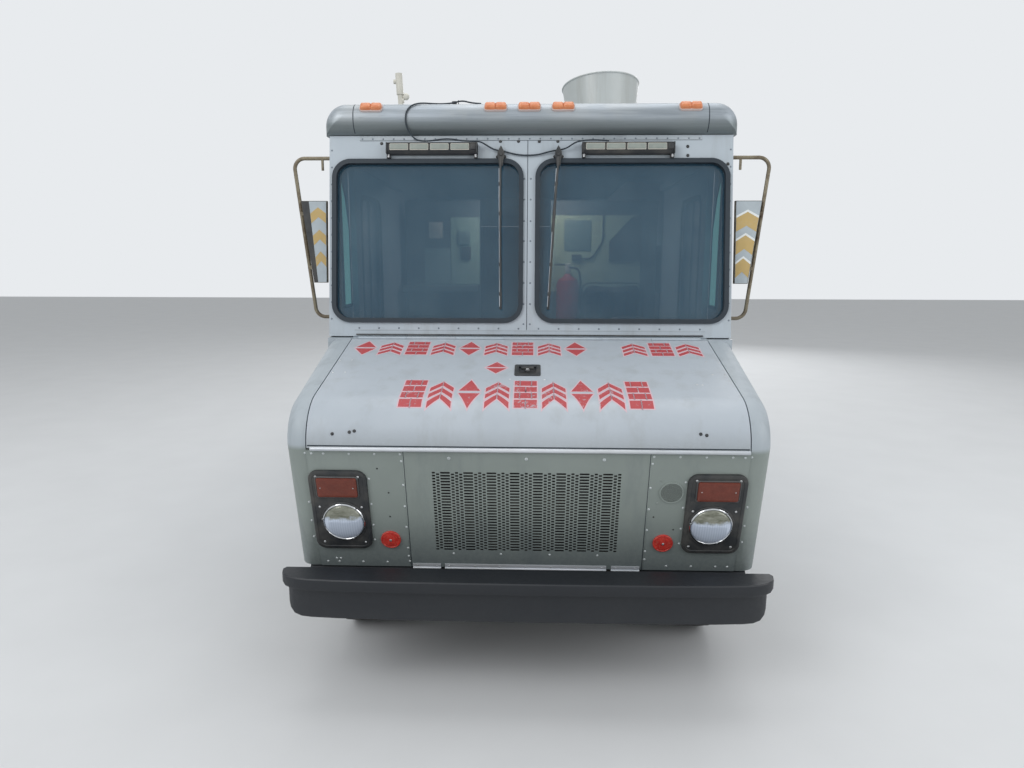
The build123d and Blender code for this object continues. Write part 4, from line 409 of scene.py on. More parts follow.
class Finish:
    """One material in the making. Its methods add steps and give back the socket that holds their result."""

    def __init__(self, name, **constants):
        self.material = bpy.data.materials.new(name)
        self.material.use_nodes = True
        self.tree = self.material.node_tree
        self.tree.nodes.clear()
        self.shader = self.tree.nodes.new("ShaderNodeBsdfPrincipled")
        step(self.tree, "ShaderNodeOutputMaterial", {"Surface": self.shader.outputs["BSDF"]})
        self.spot = step(self.tree, "ShaderNodeTexCoord", result="Object")
        for label, value in constants.items():
            self.shader.inputs[label.replace("_", " ")].default_value = value

    def stretched(self, amounts, turn=(0, 0, 0)):
        """The place on the object, scaled along each axis."""
        values = {"Vector": self.spot, "Scale": amounts, "Rotation": turn}
        return step(self.tree, "ShaderNodeMapping", values)

    def noise(self, scale, detail=4.0, rough=0.55, where=None):
        """Clouds, with scale as their number in a metre."""
        values = {"Vector": where or self.spot, "Scale": scale, "Detail": detail, "Roughness": rough}
        return step(self.tree, "ShaderNodeTexNoise", values, "Fac")

    def cells(self, scale, where=None):
        """The distance from scattered points."""
        return step(self.tree, "ShaderNodeTexVoronoi", {"Vector": where or self.spot, "Scale": scale},
                    "Distance")

    def axis(self, label, where=None):
        """The place along one axis."""
        return step(self.tree, "ShaderNodeSeparateXYZ", {"Vector": where or self.spot}, label)

    def band(self, value, low, high, to_low=0.0, to_high=1.0):
        """Maps a range of a value to another range, and holds it there."""
        values = {"Value": value, "From Min": low, "From Max": high, "To Min": to_low, "To Max": to_high}
        return step(self.tree, "ShaderNodeMapRange", values)

    def sums(self, operation, first, second):
        """Two values taken together."""
        return step(self.tree, "ShaderNodeMath", {0: first, 1: second}, operation=operation)

    def times(self, first, second):
        """One value times another."""
        return self.sums("MULTIPLY", first, second)

    def plus(self, first, second):
        """One value and another added up."""
        return self.sums("ADD", first, second)

    def mix(self, amount, first, second):
        """A colour between two colours."""
        return step(self.tree, "ShaderNodeMix", {0: amount, 6: first, 7: second}, 2, data_type="RGBA")

    def feed(self, label, value):
        """Gives the shader one of its inputs."""
        self.tree.links.new(value, self.shader.inputs[label])

    def done(self, tone, rough=None, layers=()):
        """Connects the colour, the roughness and the bumps, which are (height, depth in metres)."""
        self.feed("Base Color", tone)
        if rough:
            self.feed("Roughness", rough)
        normal = None
        for height, depth in layers:
            values = {"Height": height, "Distance": depth, "Strength": 1.0}
            if normal:
                values["Normal"] = normal
            normal = step(self.tree, "ShaderNodeBump", values)
        if normal:
            self.feed("Normal", normal)
        return self.material


def old_paint(name, colour, dull, grime, low_z, high_z, rough=0.42, streak=0.35, below=None):
    """Aged paint on sheet metal: chalky patches, dirt that runs down, specks and shallow dents.
    below is (edge height, colour, dull colour) where the sheet has another colour lower down."""
    made = Finish(name)
    if below:
        edge, low_colour, low_dull = below
        upper = made.band(made.axis("Z"), edge - 0.012, edge + 0.012)
        colour = made.mix(upper, low_colour, colour)
        dull = made.mix(upper, low_dull, dull)
    patches = made.band(made.noise(1.3, 5.0, 0.6), 0.38, 0.68)
    runs = made.band(made.noise(9.0, 5.0, 0.65, made.stretched((1.0, 1.0, 0.07))), 0.5, 0.78)
    specks = made.band(made.cells(90.0, made.stretched((1, 1, 0.6))), 0.0, 0.05, 1.0, 0.0)
    kept = made.band(made.noise(6.0, 2.0), 0.55, 0.62)
    fine = made.noise(60.0, 3.0, 0.7)
    height = made.band(made.axis("Z"), low_z, high_z, 1.0, 0.0)
    tone = made.mix(made.times(patches, 0.7), colour, dull)
    tone = made.mix(made.times(runs, streak), tone, grime)
    low_dirt = made.times(height, made.band(fine, 0.25, 0.75, 0.55, 1.0))
    tone = made.mix(made.times(low_dirt, 0.8), tone, grime)
    tone = made.mix(made.times(made.times(specks, kept), 0.45), tone, rgb(70, 66, 60))
    sheen = made.band(made.plus(fine, patches), 0.4, 1.6, rough - 0.07, rough + 0.2)
    dents = ((made.noise(2.2, 2.0), 0.006), (made.noise(7.0, 2.0), 0.0012), (made.noise(330.0, 2.0), 0.00012))
    return made.done(tone, sheen, dents)


def bare_aluminium(name, colour, dark, rough=0.34, along=(0.35, 8.0, 8.0), metal=0.85, shade=None):
    """Weathered bare aluminium, streaked along its length.
    shade is (low height, high height, colour): painted shade that darkens it below those heights."""
    made = Finish(name, Metallic=metal)
    streaks = made.noise(3.0, 6.0, 0.62, made.stretched(along))
    clouds = made.noise(2.4, 4.0, 0.6)
    scratches = made.band(made.noise(40.0, 2.0, 0.5, made.stretched(along)), 0.6, 0.72)
    tone = made.mix(made.band(streaks, 0.35, 0.7), colour, dark)
    tone = made.mix(made.times(made.band(clouds, 0.45, 0.75), 0.5), tone, rgb(176, 176, 170))
    if shade:
        low_z, high_z, shade_tone = shade
        tone = made.mix(made.times(made.band(made.axis("Z"), low_z, high_z, 1.0, 0.0), 0.85), tone, shade_tone)
    sheen = made.band(made.plus(streaks, scratches), 0.3, 1.4, rough, rough + 0.3)
    return made.done(tone, sheen, ((made.noise(2.0, 2.0), 0.004), (scratches, 0.00008),
                                   (made.noise(120.0, 3.0), 0.0001)))


def black_paint(name, colour, dust, rough=0.48, bare=0.0, low_z=0.2, high_z=0.7):
    """Black paint on steel with road dust from below and bare worn spots."""
    made = Finish(name)
    fine = made.noise(45.0, 4.0, 0.7)
    clouds = made.noise(3.0, 5.0, 0.6)
    film = made.times(made.band(made.axis("Z"), low_z, high_z, 0.75, 0.15), made.band(clouds, 0.3, 0.75))
    tone = made.mix(film, colour, dust)
    chips = made.band(made.plus(made.noise(14.0, 5.0, 0.75), made.times(fine, 0.3)), 0.88, 0.93)
    tone = made.mix(made.times(chips, bare), tone, rgb(128, 126, 122))
    sheen = made.band(made.plus(fine, clouds), 0.5, 1.5, rough, rough + 0.25)
    return made.done(tone, sheen, ((made.noise(5.0, 3.0), 0.0015), (made.noise(220.0, 3.0), 0.00015)))


def rusty_steel(name, base, rust, amount=0.6, rough=0.6, metal=0.4):
    """Bare or thinly painted steel with rust in patches."""
    made = Finish(name, Metallic=metal)
    patches = made.band(made.noise(11.0, 6.0, 0.7), 0.62 - 0.35 * amount, 0.72)
    fine = made.noise(150.0, 4.0, 0.75)
    tone = made.mix(patches, base, rust)
    tone = made.mix(made.times(fine, 0.35), tone, rgb(52, 38, 30))
    sheen = made.band(made.plus(patches, fine), 0.3, 1.6, rough - 0.15, rough + 0.25)
    return made.done(tone, sheen, ((made.noise(30.0, 5.0, 0.7), 0.0006), (fine, 0.0002)))


def moulded(name, colour, rough=0.55, dust=rgb(120, 116, 108), dusty=0.25):
    """Plastic or rubber with a fine grain and a film of dust."""
    made = Finish(name)
    clouds = made.band(made.noise(9.0, 4.0, 0.6), 0.42, 0.78)
    fine = made.noise(260.0, 3.0, 0.6)
    tone = made.mix(made.times(clouds, dusty), colour, dust)
    sheen = made.band(made.plus(clouds, fine), 0.3, 1.5, rough - 0.08, rough + 0.2)
    return made.done(tone, sheen, ((made.cells(420.0), 0.00012),))


def coloured_lens(name, colour, deep, hazy=0.3):
    """A moulded lamp lens, deeper in colour in waves and hazy in spots."""
    made = Finish(name, Roughness=0.3, IOR=1.46)
    waves = made.noise(35.0, 3.0, 0.6)
    haze = made.band(made.noise(160.0, 3.0, 0.7), 0.45, 0.8)
    tone = made.mix(made.band(waves, 0.3, 0.7), colour, deep)
    tone = made.mix(made.times(haze, hazy), tone, rgb(206, 170, 140))
    return made.done(tone, layers=((made.noise(90.0, 2.0), 0.0002),))


def tinted_glass(name, tint, dust, clear=0.45, film=0.12, painted_glow=0.0):
    """Window glass seen as a tint with a thin film of dust; it can be made to glow, as painted daylight that
    comes through it.
    """
    made = Finish(name, IOR=1.5, Specular_IOR_Level=0.75, Emission_Color=tint, Emission_Strength=painted_glow)
    clouds = made.noise(3.2, 4.0, 0.6)
    fine = made.noise(140.0, 3.0, 0.7)
    haze = made.times(made.band(clouds, 0.35, 0.8), made.band(fine, 0.3, 0.8, 0.6, 1.0))
    made.feed("Alpha", made.band(haze, 0.0, 1.0, 1 - clear, 1 - clear + film))
    return made.done(made.mix(made.times(haze, 0.5), tint, dust), made.band(haze, 0.0, 1.0, 0.03, 0.12))


def brushed(name, colour):
    """Brushed stainless steel with faint smears."""
    made = Finish(name, Metallic=1.0)
    grain = made.noise(25.0, 4.0, 0.6, made.stretched((30.0, 1.0, 30.0)))
    smear = made.noise(2.5, 4.0, 0.6)
    tone = made.mix(made.band(smear, 0.35, 0.75), colour, rgb(150, 150, 148))
    return made.done(tone, made.band(made.plus(grain, smear), 0.4, 1.5, 0.3, 0.55), ((grain, 0.00005),))


def leather_grain(name, colour, worn):
    """Vinyl with a pebbled grain, paler where it is worn."""
    made = Finish(name, Sheen_Weight=0.1)
    pebbles = made.cells(520.0)
    wear = made.band(made.noise(7.0, 4.0, 0.6), 0.5, 0.8)
    sheen = made.band(made.plus(wear, pebbles), 0.0, 1.6, 0.42, 0.68)
    return made.done(made.mix(made.times(wear, 0.5), colour, worn), sheen,
                     ((made.noise(26.0, 3.0), 0.0008), (pebbles, 0.00025)))


def tread_plate(name):
    """Aluminium chequer plate with its raised bars, worn and dirty between them."""
    made = Finish(name, Metallic=0.75)
    bars = []
    for turn in (pi / 4, -pi / 4):
        cell = made.stretched((26.0, 26.0, 26.0), (0, 0, turn))
        across = made.sums("PINGPONG", made.axis("X", cell), 1.0)
        along = made.sums("PINGPONG", made.axis("Y", cell), 0.5)
        bars.append(made.times(made.band(across, 0.8, 0.95), made.band(along, 0.12, 0.22)))
    raised = made.sums("MAXIMUM", *bars)
    dirt = made.band(made.noise(4.0, 5.0, 0.65), 0.35, 0.7)
    tone = made.mix(raised, made.mix(dirt, rgb(150, 152, 152), rgb(96, 92, 86)), rgb(182, 184, 184))
    return made.done(tone, made.band(dirt, 0.0, 1.0, 0.34, 0.62),
                     ((raised, 0.0016), (made.noise(150.0, 3.0), 0.0001)))


def tyre_rubber(name):
    """Black rubber, greyed by dust and fine cracks."""
    made = Finish(name, Roughness=0.8)
    dust = made.band(made.noise(7.0, 5.0, 0.65), 0.35, 0.75)
    fine = made.noise(120.0, 4.0, 0.7)
    tone = made.mix(made.times(dust, 0.55), rgb(34, 34, 36), rgb(92, 88, 80))
    return made.done(tone, made.band(fine, 0.2, 0.8, 0.72, 0.92),
                     ((fine, 0.0003), (made.cells(900.0), 0.0001)))


def fluted_glass(name):
    """The clear moulded front of a headlamp with faint flutes, with a painted reflection: pale blue below a
    wavy line near its middle, olive-brown above.
    """
    made = Finish(name, Roughness=0.08, IOR=1.5, Metallic=0.2)
    flutes = made.sums("PINGPONG", made.times(made.axis("X"), 95.0), 0.5)
    # Painted reflection: the lamp's mirror shows olive-brown above the wavy line and pale blue below it.
    edge = made.plus(made.axis("Z"), made.band(made.noise(24.0, 5.0, 0.7), 0.2, 0.8, -0.018, 0.018))
    upper_reflection_mask = made.band(edge, 0.766, 0.784)
    streaks = made.noise(55.0, 4.0, 0.7, made.stretched((0.3, 1.0, 1.0)))
    upper_reflection_tone = made.mix(made.band(streaks, 0.3, 0.7), rgb(96, 98, 84), rgb(150, 152, 140))
    clear = made.mix(made.band(flutes, 0.0, 0.5), rgb(188, 200, 218), rgb(206, 216, 232))
    return made.done(made.mix(upper_reflection_mask, clear, upper_reflection_tone),
                     layers=((flutes, 0.0004), (made.noise(70.0, 3.0), 0.0004)))


def plain_metal(name, colour, rough=0.25, scratch=0.00005, metal=1.0):
    """Polished or plated metal with fine scratches and dull spots."""
    made = Finish(name, Metallic=metal)
    spots = made.band(made.noise(30.0, 4.0, 0.7), 0.5, 0.8)
    tone = made.mix(made.times(spots, 0.5), colour, rgb(110, 100, 88))
    return made.done(tone, made.band(spots, 0.0, 1.0, rough, rough + 0.3),
                     ((made.noise(180.0, 3.0), scratch),))


def stencil_paint(name, colour, under, amount):
    """Sprayed paint that has faded and rubbed thin in spots."""
    made = Finish(name, Roughness=0.6)
    clouds = made.band(made.noise(14.0, 5.0, 0.6), 0.35, 0.75)
    worn = made.plus(made.noise(60.0, 5.0, 0.75), made.times(made.noise(5.0, 2.0), 0.5))
    tone = made.mix(made.times(clouds, 0.5), colour, under)
    tone = made.mix(made.times(made.band(worn, 0.86, 0.94), amount), tone, rgb(170, 174, 182))
    return made.done(tone, layers=((made.noise(120.0, 3.0), 0.0001),))


NOSE_TONES = (rgb(138, 147, 143), rgb(126, 135, 131))
BODY_WHITE = old_paint("body_white_paint", rgb(178, 188, 196), rgb(163, 174, 184), rgb(128, 128, 124), 0.35,
                       0.95)
HOOD_GREY = old_paint("hood_grey_white_paint", rgb(178, 186, 194), rgb(160, 169, 178), rgb(138, 140, 136),
                      1.02, 1.2)
NOSE_GREY = old_paint("nose_grey_green_paint", *NOSE_TONES, rgb(80, 89, 98), 0.45, 0.8, streak=0.3)
CORNER_GREY = old_paint("nose_corner_paint", rgb(168, 177, 184), rgb(154, 163, 169), rgb(84, 92, 98), 0.45,
                        0.8, below=(HOOD_EDGE_Z, *NOSE_TONES))
RIVET_GREY = old_paint("rivet_grey_paint", rgb(196, 202, 204), rgb(176, 184, 186), rgb(96, 102, 106), 0.2,
                       0.4)
# The rivets of the windshield wall are painted mid-grey, darker than the pale wall, as painted shade round
# their heads.
FACE_RIVET_SHADE_GREY = old_paint("rivet_painted_shade_grey", rgb(118, 128, 138), rgb(104, 114, 124), rgb(96, 102, 106),
                            0.2, 0.4)
INSIDE_WALL = old_paint("inside_wall_paint", rgb(96, 108, 112), rgb(84, 96, 100), rgb(70, 76, 78), 0.6, 1.1)
BOARD_GREEN = old_paint("inside_board_paint", rgb(186, 214, 196), rgb(168, 198, 180), rgb(130, 140, 130), 0.6,
                        1.1)
BOARD_DULL = old_paint("inside_board_dull_paint", rgb(140, 164, 160), rgb(126, 150, 146), rgb(110, 122, 118),
                       0.6, 1.1)
BOARD_YELLOW = old_paint("inside_board_cream_paint", rgb(200, 212, 176), rgb(166, 192, 176),
                         rgb(150, 150, 130), 0.6, 1.1)
ROOF_METAL = bare_aluminium("roof_bare_aluminium", rgb(176, 183, 190), rgb(140, 146, 150), 0.42,
                            (5.0, 0.35, 3.0), 0.55)
# The roof cap is darker below about 2.6 m: painted shade on the lower half of the cap, where its front round
# turns down.
CAP_METAL = bare_aluminium("roof_cap_aluminium", rgb(170, 178, 186), rgb(128, 136, 142), 0.42, metal=0.45,
                           shade=(2.6, 2.645, rgb(112, 121, 122)))
TRIM_METAL = bare_aluminium("trim_aluminium", rgb(212, 216, 222), rgb(184, 190, 196), 0.3, (0.6, 0.6, 8.0),
                            0.35)
FRAME_BLACK = black_paint("frame_black_paint", rgb(30, 30, 32), rgb(96, 88, 76), bare=0.2)
BUMPER_BLACK = black_paint("bumper_black_paint", rgb(24, 28, 34), rgb(50, 52, 54), rough=0.4, bare=0.05,
                           low_z=0.25, high_z=0.6)
RUSTED = rusty_steel("rusted_steel", rgb(86, 78, 72), rgb(112, 66, 40))
ENGINE_IRON = rusty_steel("engine_cast_iron", rgb(58, 60, 62), rgb(84, 62, 46), amount=0.3)
EXHAUST_STEEL = rusty_steel("exhaust_steel", rgb(120, 112, 104), rgb(118, 78, 52), amount=0.8)
TYRE_BLACK = tyre_rubber("tyre_rubber_dusty")
WHEEL_WHITE = old_paint("wheel_white_paint", rgb(196, 198, 196), rgb(176, 176, 170), rgb(110, 96, 80), 0.0,
                        0.75)
CHEQUER_PLATE = tread_plate("chequer_plate")
GLASS = tinted_glass("tinted_window_glass", rgb(38, 76, 98), rgb(92, 120, 134), clear=0.36, film=0.08)
# The outer quarter pane is opaque and dark: painted shade of the cab seen through it.
QUARTER_SHADED_GLASS = tinted_glass("quarter_window_painted_shade", rgb(26, 44, 56), rgb(80, 100, 110), clear=0.0, film=0.0)
# The inner quarter pane glows: painted daylight that comes through the window.
QUARTER_PAINTED_DAYLIGHT = tinted_glass("quarter_window_painted_daylight", rgb(150, 226, 220), rgb(180, 226, 212), clear=0.0,
                             film=0.0, painted_glow=1.0)
GASKET = moulded("gasket_rubber_dull", rgb(30, 41, 50), 0.6, rgb(86, 96, 104), 0.2)
BLACK_PLASTIC = moulded("black_moulded_plastic", rgb(40, 43, 46), 0.5, dusty=0.35)
BEZEL_EDGE = moulded("lamp_rim_plastic", rgb(70, 72, 74), 0.32, dusty=0.3)
DASH_GREY = moulded("dash_grey_vinyl", rgb(62, 66, 68), 0.6)
AMBER_LENS = coloured_lens("amber_lens", rgb(218, 142, 98), rgb(198, 112, 70))
LAMP_PAD = moulded("lamp_pad_rubber", rgb(196, 180, 176), 0.6)
TURN_LENS = coloured_lens("turn_lamp_lens", rgb(112, 50, 36), rgb(98, 42, 30), 0.05)
RED_LENS = coloured_lens("red_lens", rgb(184, 34, 30), rgb(140, 18, 20))
REFLECTOR_RED = coloured_lens("red_reflector", rgb(206, 52, 46), rgb(168, 36, 36))
CREAM_LENS = coloured_lens("cream_lens", rgb(146, 154, 148), rgb(134, 142, 138), 0.1)
HEADLAMP_GLASS = fluted_glass("headlamp_fluted_glass")
CHROME = plain_metal("worn_chrome", rgb(206, 208, 210), 0.14)
ZINC = plain_metal("zinc_fasteners", rgb(196, 198, 200), 0.35, metal=0.8)
MIRROR_TUBE = rusty_steel("mirror_tube_steel", rgb(138, 130, 110), rgb(72, 52, 38), amount=0.55, rough=0.5,
                          metal=0.3)
MIRROR_GLASS = plain_metal("mirror_glass", rgb(216, 220, 224), 0.03, 0.0)
FAN_METAL = old_paint("fan_grey_metal", rgb(182, 188, 188), rgb(168, 172, 168), rgb(128, 122, 108), 2.6, 2.86,
                      rough=0.36, streak=0.4)
STAINLESS = brushed("brushed_stainless", rgb(196, 198, 200))
RADIATOR_BLACK = moulded("radiator_black", rgb(26, 26, 27), 0.7, dusty=0.5)
PALE_PLASTIC = moulded("pale_plastic", rgb(206, 204, 194), 0.5)
SEAT_STEEL = black_paint("seat_frame_paint", rgb(34, 34, 36), rgb(80, 78, 74), low_z=0.7, high_z=1.1)
SEAT_VINYL = leather_grain("black_seat_vinyl", rgb(42, 43, 46), rgb(84, 84, 84))
MOTIF_RED = stencil_paint("stencil_red", rgb(176, 70, 74), rgb(160, 60, 64), 0.75)
MOTIF_PALE = stencil_paint("stencil_overspray", rgb(206, 176, 184), rgb(190, 180, 190), 0.9)
RIM_PALE = moulded("steering_rim_pale", rgb(176, 184, 192), 0.45)
EXTINGUISHER_RED = moulded("red_enamel", rgb(170, 40, 40), 0.3, dusty=0.1)
CHEVRON_BASE = stencil_paint("pale_blue_sheeting", rgb(174, 184, 190), rgb(150, 160, 166), 0.2)
SIGN_YELLOW = stencil_paint("reflective_yellow", rgb(190, 164, 108), rgb(176, 150, 96), 0.2)
SIGN_WHITE = stencil_paint("reflective_white", rgb(226, 230, 230), rgb(206, 210, 208), 0.2)

NODE_FINISHES = {
    FRAME_BLACK: ("chassis_frame", "front_axle", "steering_knuckle_left", "steering_knuckle_right", "tie_rod",
                  "rear_axle", "drive_shaft", "fuel_tank"),
    RUSTED: ("leaf_springs",),
    BUMPER_BLACK: ("front_bumper", "rear_bumper"),
    TYRE_BLACK: ("front_tyre_left", "front_tyre_right", "rear_tyres_left", "rear_tyres_right"),
    WHEEL_WHITE: ("front_wheel_left", "front_wheel_right", "rear_wheels_left", "rear_wheels_right"),
    ENGINE_IRON: ("engine",),
    EXHAUST_STEEL: ("exhaust",),
    BODY_WHITE: ("side_wall_left", "side_wall_right", "windshield_wall", "cab_door_left", "cab_door_right",
                 "rear_wall", "rear_door_left", "rear_door_right", "serving_flap"),
    HOOD_GREY: ("hood",),
    NOSE_GREY: ("front_panel", "grille"),
    CORNER_GREY: ("fenders",),
    ROOF_METAL: ("roof", "serving_shelf"),
    CAP_METAL: ("roof_cap",),
    CHEQUER_PLATE: ("floor",),
    GLASS: ("windshield_glass",),
    GASKET: ("windshield_gaskets",),
    BLACK_PLASTIC: ("headlamp_bezels", "hood_latch", "lamp_bars", "wipers", "steering_wheel",
                    "roof_cable"),
    DASH_GREY: ("dashboard", "engine_cover"),
    AMBER_LENS: ("front_lamps", "marker_lamps"),
    RED_LENS: ("tail_lamps",),
    MIRROR_TUBE: ("mirrors",),
    FAN_METAL: ("exhaust_fan",),
    STAINLESS: ("galley_counters", "range_hood"),
    RADIATOR_BLACK: ("radiator",),
    PALE_PLASTIC: ("roof_pipe",),
    SEAT_STEEL: ("driver_seat",),
    SEAT_VINYL: ("seat_cushions",),
}
for finish, names in NODE_FINISHES.items():
    for name in names:
        paint_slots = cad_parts[name].data.materials
        paint_slots.clear()
        paint_slots.append(finish)


# The lamp cable, one loose run from the left marker lamp over the cap and along the lamp bars
CABLE_DIAMETER = 0.008
CABLE_ROUTE = (
    (-0.26, -2.0634, 2.723), (-0.31, -2.0614, 2.726), (-0.362, -2.0614, 2.74), (-0.41, -2.0614, 2.727),
    (-0.46, -2.0614, 2.723), (-0.51, -2.064, 2.723), (-0.575, -2.0905, 2.7224), (-0.614, -2.1193, 2.7093),
    (-0.638, -2.1416, 2.6866), (-0.65, -2.1545, 2.6561), (-0.652, -2.1547, 2.613), (-0.643, -2.1411, 2.5755),
    (-0.609, -2.1381, 2.5302), (-0.566, -2.1446, 2.5189), (-0.512, -2.1441, 2.5219), (-0.46, -2.1426, 2.5307),
    (-0.405, -2.1428, 2.5298), (-0.366, -2.1441, 2.5219), (-0.32, -2.1446, 2.5189), (-0.262, -2.1406, 2.5183),
    (-0.23, -2.1305, 2.5017), (-0.19, -2.1204, 2.4785), (-0.145, -2.1204, 2.4731), (-0.06, -2.1204, 2.4501),
    (0.04, -2.1201, 2.4501), (0.11, -2.1205, 2.4711), (0.19, -2.1219, 2.4808), (0.228, -2.1316, 2.5069),
    (0.262, -2.1405, 2.5203), (0.35, -2.1437, 2.5248), (0.415, -2.1446, 2.5189),
)
cable_line = bpy.data.curves.new("lamp_cable", "CURVE")
cable_line.dimensions = "3D"
cable_line.bevel_depth = CABLE_DIAMETER / 2
cable_line.bevel_resolution = 3
cable_line.use_fill_caps = True
spline = cable_line.splines.new("NURBS")
spline.points.add(len(CABLE_ROUTE) - 1)
for point, spot in zip(spline.points, CABLE_ROUTE):
    point.co = (*spot, 1)
spline.order_u = 3
spline.use_endpoint_u = True
spline.resolution_u = 6
cable_line.materials.append(GASKET)
cable = placed("lamp_cable", cable_line)
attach(cable, "truck")
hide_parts("roof_cable")

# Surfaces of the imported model, to set small things on


def surface(*names):
    """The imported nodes' faces, for finding the place under a point."""
    corners = []
    faces = []
    for name in names:
        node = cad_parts[name]
        first = len(corners)
        corners += [node.matrix_world @ corner.co for corner in node.data.vertices]
        faces += [[first + i for i in face.vertices] for face in node.data.polygons]
    return BVHTree.FromPolygons(corners, faces)


def landed(skin_tree, place, spots, reach=0.3):
    """Places of (point, facing) where spots on a frame meet a surface behind it."""
    way = place.to_3x3() @ Vector((0, 0, -1))
    found = []
    for x, y, *_ in spots:
        point, normal, _, _ = skin_tree.ray_cast(place @ Vector((x, y, reach)), way, 2 * reach)
        if point is not None:
            found.append((point, -normal if normal.dot(way) > 0 else normal))
    return found


def mirrored(spots):
    """The spots with their twins across the middle."""
    return [*spots, *[(-x, y) for x, y in spots]]


NOSE_SKIN = surface("front_panel", "fenders", "grille")
FACE_SKIN = surface("windshield_wall", "roof_cap", "windshield_gaskets")

# Perforated grille sheet: columns of wide slots between columns of short ones, every other column shifted
GRILLE_HALF = 0.525
RETURN_DEPTH = 0.016
GRILLE_LOW_V = -0.6187
GRILLE_HIGH_V = -0.0258
SLOTS_LOW_V = -0.5258
SLOT_ROWS = 28
SLOT_PITCH = 0.01491
SLOT_HEIGHT = 0.009
SLOT_CORNER = 0.0018
SHEET_THICKNESS = 0.0015
SHORT_COLUMN = (0.0178, 0.015)
WIDE_COLUMN = (0.0468, 0.043)
SHORT = (SHORT_COLUMN, False)
SHIFTED = (SHORT_COLUMN, True)
WIDE = (WIDE_COLUMN, False)
GRILLE_COLUMNS = [SHORT, SHIFTED] + [WIDE, SHIFTED, SHORT, SHIFTED] * 7 + [WIDE, SHIFTED, SHORT]


def slot_cell(width, slot_width):
    """One slot with the sheet around it: front, back and the slot's walls, open at the outer edge."""
    half = width / 2
    high = SLOT_PITCH / 2
    outer = ((half, 0), (half, high), (0, high), (-half, high), (-half, 0), (-half, -high), (0, -high),
             (half, -high))
    across = slot_width / 2
    up = SLOT_HEIGHT / 2
    inner = ((across, 0), (across - SLOT_CORNER, up), (0, up), (-across + SLOT_CORNER, up),
             (-across, 0), (-across + SLOT_CORNER, -up), (0, -up), (across - SLOT_CORNER, -up))
    shape = bmesh.new()
    levels = ((outer, -SHEET_THICKNESS), (inner, -SHEET_THICKNESS), (inner, 0), (outer, 0))
    skin(shape, [[(*point, z) for point in line] for line, z in levels], capped=False)
    return shape


def sheet_patch(shape, left, low, right, high):
    """A plain bit of the sheet, front and back."""
    for z in (0, -SHEET_THICKNESS):
        shape.faces.new([shape.verts.new((*point, z)) for point in oblong(left, low, right, high)])


column_edges = [-sum(column[0][0] for column in GRILLE_COLUMNS) / 2]
for column in GRILLE_COLUMNS:
    column_edges.append(column_edges[-1] + column[0][0])
slot_spots = {SHORT_COLUMN: [], WIDE_COLUMN: []}
slots_high_v = SLOTS_LOW_V + SLOT_ROWS * SLOT_PITCH
grille_shape = bmesh.new()
for (kind, shifted), left, right in zip(GRILLE_COLUMNS, column_edges, column_edges[1:]):
    middle = (left + right) / 2
    drop = SLOT_PITCH / 2 if shifted else 0
    for i in range(SLOT_ROWS - shifted):
        slot_spots[kind].append((Vector((middle, SLOTS_LOW_V + drop + (i + 0.5) * SLOT_PITCH, 0)), (0, 0, 1)))
    for near, far in ((left, middle), (middle, right)):
        sheet_patch(grille_shape, near, GRILLE_LOW_V, far, SLOTS_LOW_V)
        sheet_patch(grille_shape, near, slots_high_v, far, GRILLE_HIGH_V)
        if shifted:
            sheet_patch(grille_shape, near, SLOTS_LOW_V, far, SLOTS_LOW_V + drop)
            sheet_patch(grille_shape, near, slots_high_v - drop, far, slots_high_v)
for near, far in ((-GRILLE_HALF, column_edges[0]), (column_edges[-1], GRILLE_HALF)):
    sheet_patch(grille_shape, near, GRILLE_LOW_V, far, SLOTS_LOW_V)
    sheet_patch(grille_shape, near, slots_high_v, far, GRILLE_HIGH_V)
    for i in range(2 * SLOT_ROWS):
        low_v = SLOTS_LOW_V + i * SLOT_PITCH / 2
        sheet_patch(grille_shape, near, low_v, far, low_v + SLOT_PITCH / 2)
for kind, spots in slot_spots.items():
    cell = template("slot_cell", slot_cell(*kind))
    cells = copies_of("slots", spots, cell, 1.0, NOSE_GREY, 0.0)
    grille_shape.from_mesh(cells)
    bpy.data.meshes.remove(cells)
bmesh.ops.remove_doubles(grille_shape, verts=grille_shape.verts, dist=3e-5)
rim = [edge for edge in grille_shape.edges if len(edge.link_faces) == 1]
bmesh.ops.bridge_loops(grille_shape, edges=rim)
bmesh.ops.transform(grille_shape, matrix=PANEL, verts=grille_shape.verts)
for face in grille_shape.faces:
    face.material_index = 0
piece("grille_sheet", grille_shape, NOSE_GREY, ["grille"])

returns = bmesh.new()
picture_frame(returns, oblong(-0.523, -0.617, 0.523, -0.0275), oblong(-0.5215, -0.6155, 0.5215, -0.029),
              -RETURN_DEPTH, -SHEET_THICKNESS, PANEL)
piece("grille_sheet_returns", returns, NOSE_GREY)

# Rivets of the nose
NOSE_RIVET = 0.0058
nose_rivets = mirrored([(u, -0.026) for u in (0.54, 0.65, 0.76, 0.87, 0.921, 0.95)])
nose_rivets += mirrored([(0.536, v) for v in (-0.06, -0.18, -0.29, -0.4, -0.515, -0.56)])
nose_rivets += mirrored([(0.685, v) for v in (-0.15, -0.28, -0.39, -0.47)])
nose_rivets += mirrored([(0.962, v) for v in (-0.275, -0.373, -0.46)])
nose_rivets += mirrored([(u, -0.595) for u in (0.637, 0.749, 0.859, 0.912)])
nose_rivets += [(u, -0.542) for u in (-0.329, -0.114, 0.107, 0.323)]
nose_rivets += [(-0.87, -0.577), (-0.851, -0.577), (-0.532, -0.588)]
set_on("nose_rivets", landed(NOSE_SKIN, PANEL, nose_rivets), RIVET, NOSE_RIVET, RIVET_GREY)
sheet_screws = [(u, -0.043) for u in (-0.331, 0.0, 0.331)]
